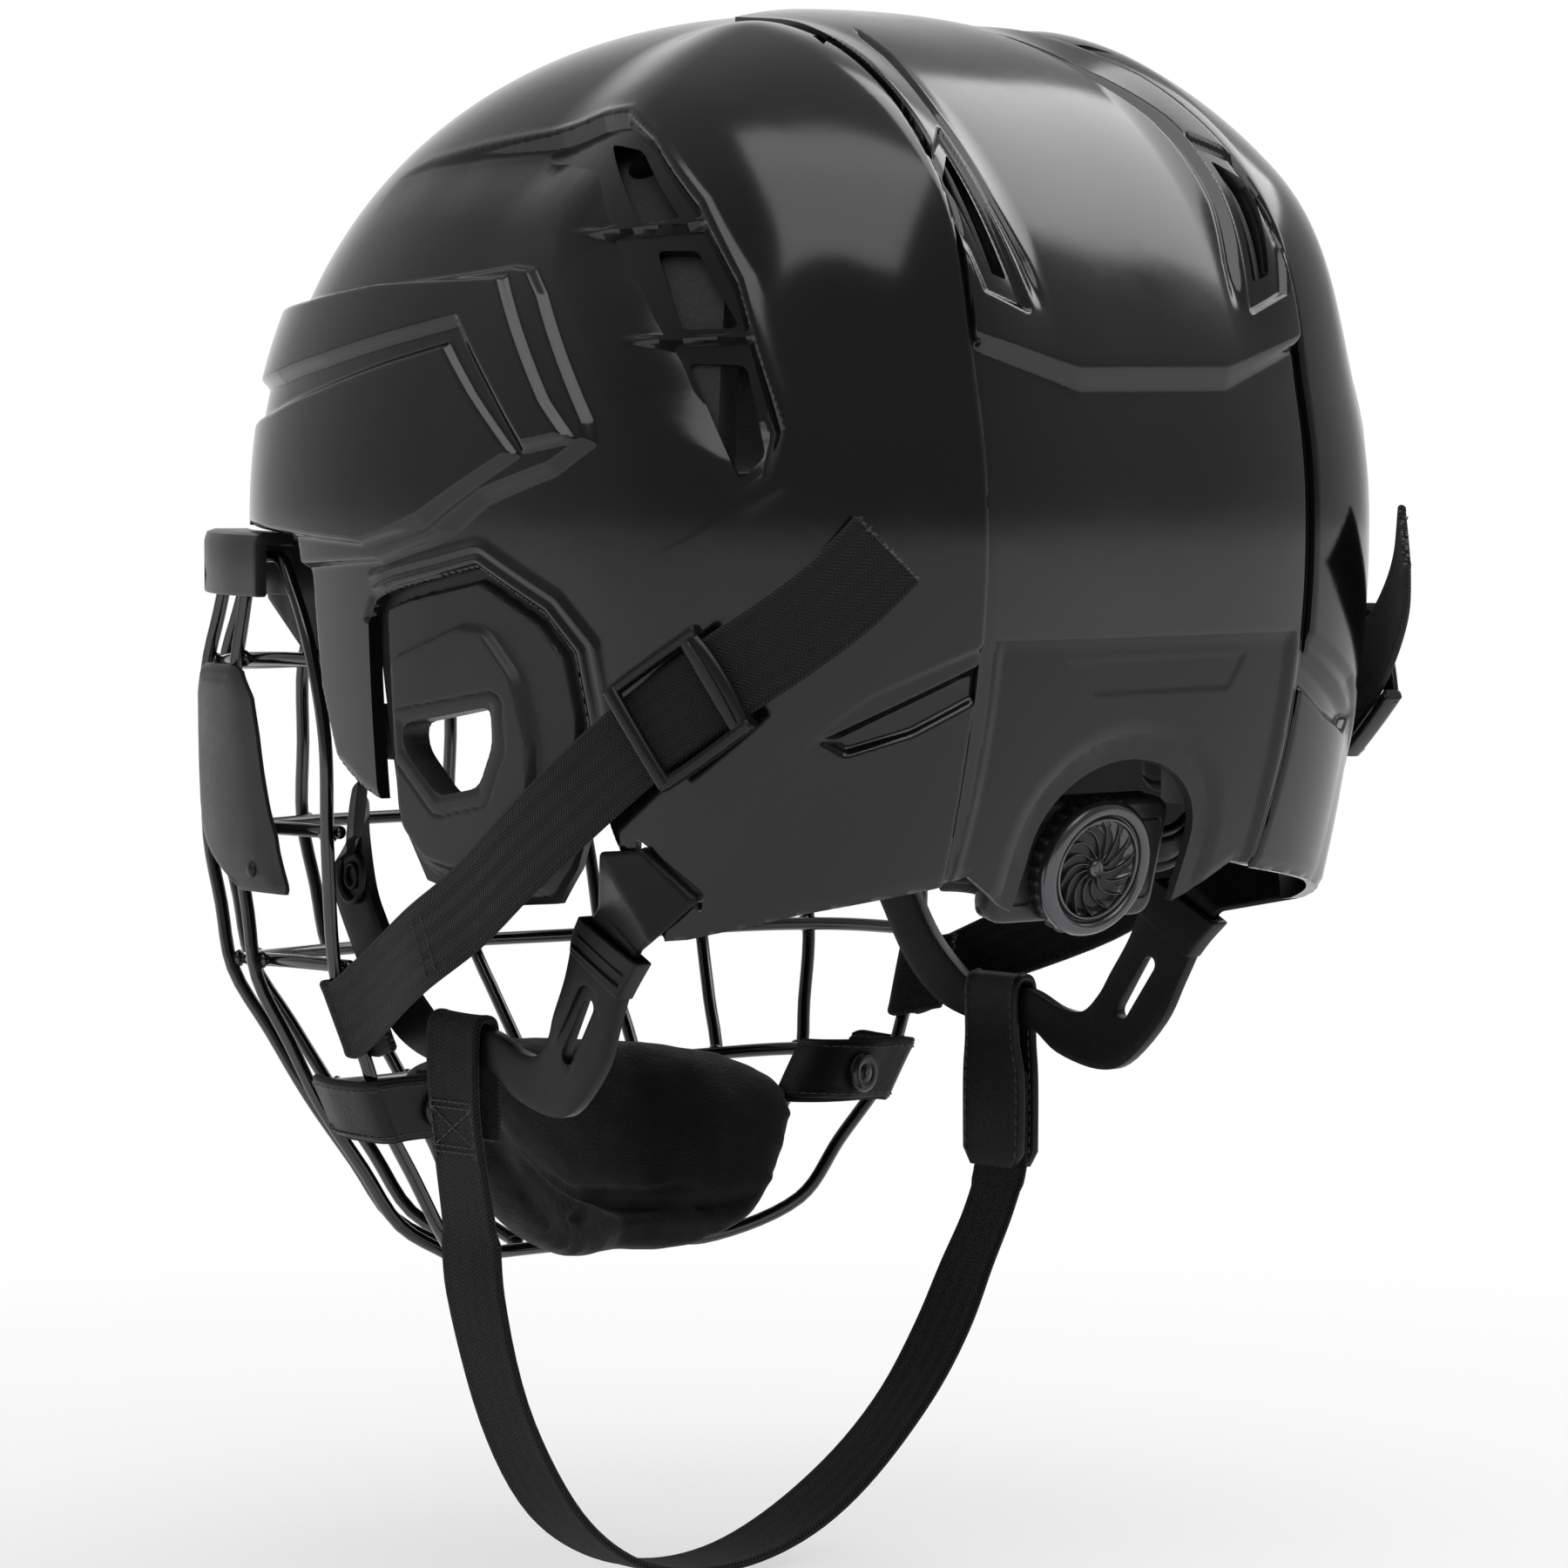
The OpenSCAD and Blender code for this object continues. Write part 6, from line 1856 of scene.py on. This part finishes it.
def cup_snaps():
    d = np.array([0.2, 1, 0])
    stud = placed(lathe(STUD_PROFILE, 32), np.array([*TAB_SNAP, TAB_Z]) + d * (WEB_T / 2 + 0.9 + 0.85), d)
    obj = add_solid("cup_press_studs", join([stud, flip_x(stud)]), MAT["snap"], sharp=40)
    finish_piece(obj, "cage", "cup_snaps")


def edge_share(ni, nj, width_i, width_j):
    """0 on the border of a grid to 1 inside, over a width in grid shares."""
    s = np.minimum(np.linspace(0, 1, ni), np.linspace(1, 0, ni)) / width_i
    t = np.minimum(np.linspace(0, 1, nj), np.linspace(1, 0, nj)) / width_j
    e = np.clip(np.minimum(s[:, None], t[None]), 0, 1)
    return np.sqrt(1 - (1 - e) ** 2)


PAD_T, GROOVE = 5.0, 3.0  # thickness of a comfort pad, depth of the foam's grooves
BROW_LOW = [(-48, 5)] + [(u, 4) for u in (-36, -24, -12, 0, 12, 24, 36)] + [(48, 5)]
BROW_HIGH = [(-48, 21), (-36, 23), (-24, 24), (-12, 24), (0, 24), (12, 24), (24, 24), (36, 23), (48, 21)]
TEMPLE_LOW, TEMPLE_HIGH = [(82, 6), (90, 5), (98, 5), (106, 6)], [(82, 26), (90, 28), (98, 28), (106, 26)]


def comfort_pad(name, a, b, node_name, channels, side=1):
    """Cloth-covered pad on the foam's inner face, sewn flat along its channels."""
    back = FOAM_IN - FACET - (GAP if node_name == "brow_pad" else 0)
    ni, nj = 70, 34
    u, v = patch_grid(a, b, ni, nj)
    inner = skin(u, v, back - 0.8 - (PAD_T - 0.9) * edge_share(ni, nj, 0.09, 0.22))
    obj = add_solid(name, slab_data(skin(u, v, back), inner), MAT["liner_cloth"])
    puff(obj, 1.9, 2.0, 1.2)
    lines = [[skin(*q, back - PAD_T) for q in line] for line in channels]
    displace(obj, lambda p: 0.18 * lumps(p, 18, 6) + seams(p, lines, 1.5, 1.3))
    finish_pad(obj, "helmet", node_name, side)


def finish_foam(obj, node_name, side=1):
    shade(obj, 50)
    finish_piece(obj, "helmet", node_name, side)


def foam_piece(name, a, b, node_name, grooves, holes, side=1, back=SEAT, mat="foam_dark"):
    """Moulded foam: rounded towards the head, grooved, its back on the shell."""
    al, bl = np.asarray(a, float), np.asarray(b, float)
    span = np.abs(al[0, 0] - al[-1, 0]) * U_MM
    tall = np.abs(bl[:, 1] - al[:, 1]).mean() * U_MM
    ni, nj = int(span / 1.5), int(tall / 1.5)
    u, v = patch_grid(a, b, ni, nj)
    h = np.zeros_like(u)
    for line in grooves:
        d = distance_on_skin(line, u, v, 25)[0]
        h = np.maximum(h, GROOVE * (1 - step((d - 1.0) / 1.6)))
    inner = skin0(u, v, FOAM_IN + 4.2 * (1 - edge_share(ni, nj, 5.5 / span, 5.5 / tall)) + h)
    obj = add_solid(name, slab_data(skin0(u, v, back), inner), MAT[mat])
    boolean(obj, [join([prism(hole_ring(c, r), -40, 4, skin0) for c, r in holes])])
    finish_foam(obj, node_name, side)


def hole_ring(c, r):
    w = turn(18)
    return np.stack([c[0] + r / math.cos(c[1] * DEG) * np.cos(w), c[1] + r * np.sin(w)], 1)


def liners():
    us = [-74, -62, -50, -37, -25, -12, 0, 12, 25, 37, 50, 62, 74]
    low = [3] + [2] * 11 + [3]
    high = [58, 60, 61] + [62] * 7 + [61, 60, 58]
    grooves = [[(-56, 26), (56, 26)], [(-28, 26), (-28, 60)], [(28, 26), (28, 60)], [(-58, 44), (-28, 44)],
               [(28, 44), (58, 44)], [(-56, 4), (-56, 60)], [(56, 4), (56, 60)]]
    holes = [((s * a, 35), 2.4) for s in (1, -1) for a in (14, 42)] + [((s * 15, 52), 2.2) for s in (1, -1)]
    foam_piece("foam_front", list(zip(us, low)), list(zip(us, high)), "front_liner", grooves, holes)
    us = [137, 144, 151, 158, 165, 172, 180, 188, 195, 202, 209, 216, 223]
    grooves = [[(166, -14), (166, 58)], [(194, -14), (194, 58)], [(141, 18), (219, 18)], [(141, 40), (166, 40)],
               [(194, 40), (219, 40)]]
    holes = [((u, v), 2.2) for u in (153, 207) for v in (4, 29)] + [((180, 32), 2.4), ((180, 4), 2.4)]
    low, high = ([(u, v) for u in us] for v in (-18, 60))
    foam_piece("foam_rear", low, high, "rear_liner", grooves, holes, back=FOAM_OFF, mat="foam")
    low = [(78, 2), (84, 2), (90, 2), (96, 2), (102, 2), (108, 0), (114.5, -4), (117, -33), (122, -35), (127, -35)]
    high = [(u, 58) for u in (78, 84, 90, 96, 102, 108, 114, 118, 122, 127)]
    grooves = [[(82, 32), (124, 32)], [(101, 6), (101, 56)], [(115, -2), (126, -2)]]
    holes = [((91, 44), 2.0), ((112, 44), 2.0)]
    for side, name in SIDES:
        foam_piece("foam_side_" + name, low, high, "side_liner_" + name, grooves, holes, side)


def crown_foam():
    ni, nj = 64, 60
    a, b = grid(np.linspace(-1, 1, ni), np.linspace(-1, 1, nj))

    def at(o):
        x, y = 36 * a * (1 - 0.12 * b * b), 34 * b * (1 - 0.12 * a * a)
        reach = np.where(y < 0, SHELL_F, SHELL_R) + o
        r = np.minimum(1, np.hypot(x / (SHELL_W + o), y / reach))
        w = np.arccos(np.minimum(1, r ** (1 / 0.9)))
        return np.stack([x, y, WIDEST + (CROWN + o) * np.sin(w) ** 0.94], -1)

    ring = np.hypot(a, b)
    groove = 2.2 * (1 - step((np.abs(ring - 0.52) - 0.02) / 0.045))
    groove += 2.0 * (1 - step((np.abs(a) - 0.015) / 0.045)) * (ring > 0.52)
    inner = at(FOAM_OFF - 12.8 + 3.6 * (1 - edge_share(ni, nj, 0.1, 0.1)) + groove)
    finish_foam(add_solid("foam_crown", slab_data(at(FOAM_OFF), inner), MAT["foam_dark"]), "crown_pad")


def nape_pad():
    """Soft pad that bears on the nape, its back along the housing."""
    ni, nj = 66, 32
    a, b = grid(np.linspace(-1, 1, ni), np.linspace(-1, 1, nj))
    x = 30 * a
    f = np.sqrt(np.clip((1 - np.abs(a) ** 6) * (1 - np.abs(b) ** 4), 0, 1))

    def at(deep):
        up = 11 * b * (1 - 0.2 * a * a)
        return DIAL_MID - DIAL_DIR * deep[..., None] + np.stack([x, 0 * x, 0 * x], -1) + DIAL_UP * up[..., None]

    back = HOUSING_T + 2 * GAP + x * x / 300
    obj = add_solid("pad_nape", slab_data(at(back), at(back + 1.4 + 5 * f)), MAT["liner_cloth"])
    puff(obj, 1.7, 2.0, 0.8)
    ends = [DIAL_MID - DIAL_DIR * 12.5 + np.array([s * 11.0, 0, 0]) for s in (1, -1)]
    lines = [[c + DIAL_UP * t for t in np.linspace(-11, 11, 9)] for c in ends]
    displace(obj, lambda p: 0.12 * lumps(p, 12, 3) + seams(p, lines, 1.2, 1.4) - 0.25)
    finish_pad(obj, "yoke", "nape_pad")


# Fit adjuster

DIAL_DIR = np.array([0, math.cos(15 * DEG), -math.sin(15 * DEG)])
DIAL_UP = np.array([0, math.sin(15 * DEG), math.cos(15 * DEG)])
DIAL_MID = np.array([0.0, 89.0, -23.0])
HOUSING_T, SLOT_DEPTH, ARM_H, ARM_T, ARM_X, ARM_Z = 6.4, 4.2, 10.0, 1.6, 66.5, -8.0
GRIPS, VANES = 30, 14


def dial_grip_wheel():
    """Knurled wheel behind the bright ring."""
    n = GRIPS * 6
    w = turn(n)
    tooth = 0.35 * (np.cos(w * GRIPS) + 0.35 * np.cos(w * GRIPS * 2))
    rows = [(0.0, 14.2), (0.25, 14.75), (1.6, 14.85), (2.7, 14.7), (3.3, 14.1), (3.5, 13.0)]
    v = []
    for z, r in rows:
        rr = r + tooth * np.clip((r - 13.6) / 1.0, 0, 1)
        v.append(np.stack([rr * np.cos(w), rr * np.sin(w), np.full(n, z)], 1))
    return np.vstack(v + [[[0, 0, 0.0]], [[0, 0, 3.5]]]), turned_faces(len(rows), n)


def turned_ring(profile, n):
    """Ring whose closed profile (radius, height) is turned about z."""
    p = np.asarray(profile, float)
    return turned(p, n), grid_faces(len(p), n, loop_i=True, loop_j=True)[:, [0, 3, 2, 1]].tolist()


RING_PROFILE = [(10.2, 2.0), (14.0, 2.0), (14.6, 2.5), (14.85, 3.3), (14.8, 4.2), (14.4, 5.1), (13.7, 5.75),
                (12.9, 5.98), (12.2, 5.8), (11.75, 5.3), (11.6, 4.6), (11.35, 4.5), (11.2, 4.9), (10.9, 5.15),
                (10.55, 5.05), (10.35, 4.6), (10.3, 3.9)]
HUB_PROFILE = [(0, 2.2), (1.9, 2.2), (1.9, 4.3), (1.7, 4.8), (1.3, 5.05), (1.0, 4.95), (0.8, 4.7), (0.45, 4.75),
               (0, 4.9)]


def dish_floor(r):
    """Height of the dial's dished face at a radius."""
    k = (r - 1.3) / 9.0
    return 4.2 - 1.45 * np.sin(np.clip(k * 1.05, 0, 1) * math.pi) ** 0.7


def dial_dish():
    rs = np.linspace(10.35, 1.3, 12)
    return lathe([(0, 2.1), (10.35, 2.1)] + [(r, float(dish_floor(r)) - 0.1) for r in rs] + [(0, 4.1)], 96)


def dial_vane(k):
    """One curved blade: a narrow crest and a flank that slopes down beside it."""
    nr = 26
    r = np.linspace(1.6, 10.25, nr)[:, None]
    share = (r - 1.6) / 8.65
    turn = 360.0 / VANES * k + 4 + 40 * share ** 1.35
    width = 360.0 / VANES * (0.70 - 0.10 * share)
    cross = np.array([-0.20, -0.16, -0.05, 0.05, 0.14, 0.22, 0.42, 0.66, 0.74])[None]
    rise = np.array([0.0, 0.72, 1.0, 1.0, 0.78, 0.5, 0.26, 0.08, 0.0])[None]
    squeeze = np.where(np.abs(cross) < 0.25, np.minimum(1, 3.2 / np.maximum(r, 3.2)) ** 0.7, 1.0)
    th = (turn + width * cross * squeeze) * DEG
    floor_z = dish_floor(r)
    crest = 1.25 * step(share / 0.12) * (0.55 + 0.45 * step((1.03 - share) / 0.2))
    top = floor_z + rise * crest
    low = np.broadcast_to(floor_z - 0.35, top.shape)
    x, y = r * np.cos(th), r * np.sin(th)
    return slab_data(np.stack([x, y, top], -1), np.stack([x, y, low], -1))


def fit_dial():
    # The dish floor takes the shell's gloss black, darker than the dial grey of the vanes: painted shade between the
    # vanes.
    groups = (("dial_knurl", "plastic", [dial_grip_wheel()], 45), ("dial_dish", "gloss", [dial_dish()], 40),
              ("dial_face", "dial", [turned_ring(RING_PROFILE, 96), lathe(HUB_PROFILE, 28)], 38),
              ("dial_vanes", "dial", [dial_vane(k) for k in range(VANES)], 50))
    for name, mat, parts, sharp in groups:
        data = join([placed(d, DIAL_MID, DIAL_DIR, (1, 0, 0)) for d in parts])
        finish_piece(add_solid(name, data, MAT[mat], sharp=sharp), "dial", "fit_dial")


def housing_box():
    """Box of the housing: rounded rings from its front to its back."""
    rows = []
    for g, z in ((1.4, 0.0), (0.7, 0.2), (0.2, 0.7), (0, 1.4), (0, 5.4), (0.5, 6.2), (1.2, HOUSING_T)):
        pts = soft_corners([(13 - g, 23 - g), (-13 + g, 23 - g), (-13 + g, -23 + g), (13 - g, -23 + g)], 4.5, 7)
        rows.append(np.c_[pts, np.full(len(pts), z)])
    m, n = len(rows), len(rows[0])
    ends = [list(range(n)), list(range((m - 1) * n, m * n))[::-1]]
    return np.vstack(rows), grid_faces(m, n, loop_j=True).tolist() + ends


def arm_slot(s):
    """Cutter of the slot for the arm at one end."""
    w, tall = ARM_H + 1, ARM_T + 0.8
    zs = (SLOT_DEPTH - tall / 2, SLOT_DEPTH + tall / 2)
    return np.array([(x, y, z) for x in (-w / 2, w / 2) for y in (s * 17, s * 29) for z in zs]), BOX_FACES


def panel_groove(s):
    ring = soft_corners([(8.6, s * 21.0), (-8.6, s * 21.0), (-8.6, s * 12.4), (8.6, s * 12.4)], 1.6, 5)
    return tube_data(np.c_[ring, np.zeros(len(ring))], 0.45, 8, closed=True)


def housing():
    """Box behind the dial with a grooved panel on each half and the arms' slots in its ends."""
    place = (DIAL_MID - DIAL_DIR * GAP, -DIAL_DIR, -DIAL_UP)
    obj = add_solid("yoke_box", placed(housing_box(), *place), MAT["dial_dark"])
    for cut in (panel_groove, arm_slot):
        boolean(obj, [placed(cut(s), *place) for s in (1, -1)])
    shade(obj, 40)
    finish_piece(obj, "yoke", "yoke_housing")


ARM_RUN = [(37, 81.6, -19.5), (47, 77.8, -16.4), (56, 73.2, -12.6), (63, 69.4, -9.4), (ARM_X, 65, ARM_Z),
           (ARM_X, 52, ARM_Z), (ARM_X, 38.2, ARM_Z)]


def yoke_arm(side, name):
    """Flat arm with a stiffening rib between two grooves along it, level where it passes its guide."""
    root = DIAL_MID - DIAL_DIR * (GAP + SLOT_DEPTH)
    pts = [root + [17.8, 0, 0], root + [28.6, 0, 0]] + ARM_RUN
    half = np.array([DIAL_UP] * 2 + [UP] * len(ARM_RUN)) * ARM_H / 2
    p, h, _ = corner_band(pts, half, 4.0, 7)
    end = np.clip(np.linspace(0, 1, len(p)) - 0.955, 0, 1) / 0.045
    h = h * np.sqrt(np.clip(1 - 0.75 * end ** 2, 0.2, 1))[:, None]
    n = normals(p, h)
    s = np.linspace(-1, 1, 15)
    mid = spread(p, h, s)
    th = ARM_T / 2 - 0.35 * (1 - step(np.abs(np.abs(s) - 0.55) / 0.14)) - 0.3 * np.abs(s) ** 10
    th = n[:, None] * th[None, :, None]
    obj = add_solid("yoke_band_" + name, slab_data(mid + th, mid - th), MAT["rubber"])
    bevel(obj, 0.25, 2, 50)
    shade(obj, 45)
    finish_piece(obj, "yoke", "yoke_arm_" + name, side)


def softened_copy(node_name, name, mat, body):
    """The node's own shape with its edges rounded."""
    src = NODES[node_name]
    mesh = src.data.copy()
    mesh.materials.clear()
    mesh.materials.append(mat)
    obj = bpy.data.objects.new(name, mesh)
    bpy.context.scene.collection.objects.link(obj)
    obj.matrix_world = src.matrix_world.copy()
    bm = bmesh.new()
    bm.from_mesh(mesh)
    bmesh.ops.remove_doubles(bm, verts=bm.verts, dist=1e-6)
    bmesh.ops.dissolve_limit(bm, angle_limit=0.02, verts=bm.verts, edges=bm.edges)
    bm.to_mesh(mesh)
    bm.free()
    mesh.polygons.foreach_set("material_index", [0] * len(mesh.polygons))
    bevel(obj, 0.45 / max(src.matrix_world.to_scale()[0], 1e-6))
    shade(obj, 40)
    finish_piece(obj, body, node_name)


chin_cup()
for side, name in SIDES:
    cup_tab(side, name)
cup_snaps()
comfort_pad("pad_brow", BROW_LOW, BROW_HIGH, "brow_pad", [[(k, 5), (k, 23)] for k in (-30, -10, 10, 30)])
for side, name in SIDES:
    comfort_pad("pad_temple_" + name, TEMPLE_LOW, TEMPLE_HIGH, "temple_pad_" + name,
                [[(94, 6), (94, 27)], [(84, 16), (104, 16)]], side)
liners()
crown_foam()
nape_pad()
fit_dial()
housing()
for side, name in SIDES:
    yoke_arm(side, name)
    softened_copy("arm_guide_" + name, "guide_" + name, MAT["plastic"], "helmet")


# Camera, light, floor

CAMERA_AZ, CAMERA_EL = 139.0, 3.4
FOCAL_PX, PX_PER_MM, FRAME_PX, SENSOR = 8530.0, 5.3, 1800, 36
ORIGIN_PX = (919.0, 843.0)  # where the frame's origin lies in the picture


def camera():
    az, el = CAMERA_AZ * DEG, CAMERA_EL * DEG
    back = Vector((math.sin(az) * math.cos(el), -math.cos(az) * math.cos(el), math.sin(el)))
    right = Vector((math.cos(az), math.sin(az), 0))
    up = back.cross(right)
    d = FOCAL_PX / PX_PER_MM
    ox, oy = ((k - FRAME_PX / 2) / FOCAL_PX * d for k in ORIGIN_PX)
    pos = back * d + right * -ox + up * oy
    cam = bpy.data.objects.new("camera", bpy.data.cameras.new("camera"))
    cam.data.sensor_width = SENSOR
    cam.data.sensor_fit = "HORIZONTAL"
    cam.data.lens = FOCAL_PX / FRAME_PX * SENSOR
    cam.data.clip_start, cam.data.clip_end = 0.05, 30
    m = Matrix((right, up, back)).transposed().to_4x4()
    m.translation = pos * MM
    cam.matrix_world = m
    bpy.context.scene.collection.objects.link(cam)
    bpy.context.scene.camera = cam


def area_light(name, place, target, width, height, watts):
    data = bpy.data.lights.new(name, "AREA")
    data.shape = "RECTANGLE"
    data.size, data.size_y = width, height
    data.energy = watts
    obj = bpy.data.objects.new(name, data)
    obj.location = place
    obj.rotation_euler = (Vector(target) - Vector(place)).to_track_quat("-Z", "Y").to_euler()
    bpy.context.scene.collection.objects.link(obj)


ROOM_SIDE = (0.656, 0.755, 0.0)
ROOM_DARK, WORLD_FILL = 0.05, 0.22


def studio():
    world = bpy.data.worlds.new("studio")
    bpy.context.scene.world = world
    world.use_nodes = True
    tree = world.node_tree
    bg = tree.nodes["Background"]
    path = node(tree, "ShaderNodeLightPath").outputs
    seen = math_node(tree, "ADD", path["Is Camera Ray"], path["Is Transmission Ray"], use_clamp=True)
    toward = node(tree, "ShaderNodeVectorMath", operation="DOT_PRODUCT")
    tree.links.new(node(tree, "ShaderNodeTexCoord").outputs["Generated"], toward.inputs[0])
    toward.inputs[1].default_value = ROOM_SIDE
    toward = toward.outputs["Value"]
    wall = ramp(tree, toward, -1.0, -0.82, 0.55, 0.0)
    room = math_node(tree, "ADD", wall, ramp(tree, toward, -0.95, 0.40, 0.45, ROOM_DARK))
    mirrored = math_node(tree, "MULTIPLY", room, path["Is Glossy Ray"])
    lit = math_node(tree, "ADD", seen, mirrored, use_clamp=True)
    tree.links.new(ramp(tree, lit, 0, 1, WORLD_FILL, 1.0), bg.inputs["Strength"])
    bg.inputs["Color"].default_value = (1, 1, 1, 1)
    area_light("key_top", (0.38, 0.43, 1.22), (0, 0, 0.05), 1.5, 1.35, 15.0)
    area_light("crown_right", (-0.90, 0.10, 0.98), (0, 0, 0.08), 1.0, 1.0, 10.0)


FLOOR_GAP, FLOOR_R = 0.6, 9000


def floor():
    """Pale round floor, brighter far out and where it is seen."""
    lo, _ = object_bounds()
    z = float(lo[2]) / MM - FLOOR_GAP
    n, rings = 96, 24
    rad = np.linspace(0, 1, rings) ** 1.5 * FLOOR_R
    ang = turn(n)
    pts = np.stack([np.outer(rad, np.cos(ang)), np.outer(rad, np.sin(ang)), np.full((rings, n), z)], -1)
    m, tree, bsdf = new_material("pale_floor")
    set_levels(bsdf, Base_Color=(0.86, 0.86, 0.86, 1), Roughness=0.8)
    glow = node(tree, "ShaderNodeEmission")
    mixer = node(tree, "ShaderNodeMixShader")
    path = node(tree, "ShaderNodeLightPath").outputs
    seen = math_node(tree, "ADD", path["Is Camera Ray"], path["Is Glossy Ray"], use_clamp=True)
    length = node(tree, "ShaderNodeVectorMath", operation="LENGTH")
    tree.links.new(object_coord(tree), length.inputs[0])
    far = math_node(tree, "MULTIPLY", ramp(tree, length.outputs["Value"], 0.22, 0.62, 0.62, 1.0), seen)
    for socket, value in zip(mixer.inputs, (far, bsdf.outputs[0], glow.outputs[0])):
        tree.links.new(value, socket)
    tree.links.new(mixer.outputs[0], tree.nodes["Material Output"].inputs["Surface"])
    obj = add_object("floor", pts.reshape(-1, 3), grid_faces(rings, n, loop_j=True), m)
    obj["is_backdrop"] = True


def dress_rest():
    """Materials of the nodes that keep their CAD shape."""
    pick = {"gloss_shell": "gloss", "satin_shell": "satin", "foam": "foam", "comfort_foam": "liner_cloth",
            "black_plastic": "plastic", "cage_wire": "wire", "cup_fabric": "knit", "webbing": "web",
            "tab_leather": "leather", "flexible_plastic": "rubber", "snap_metal": "snap", "dial_plastic": "dial"}
    for part in frame["record"]["subparts"]:
        obj = NODES[part["node"]]
        mat = MAT[pick[part["material_slot"]]]
        obj.data.materials.clear()
        obj.data.materials.append(mat)


dress_rest()
camera()
studio()
floor()
scene = bpy.context.scene
scene.view_settings.view_transform = "Standard"
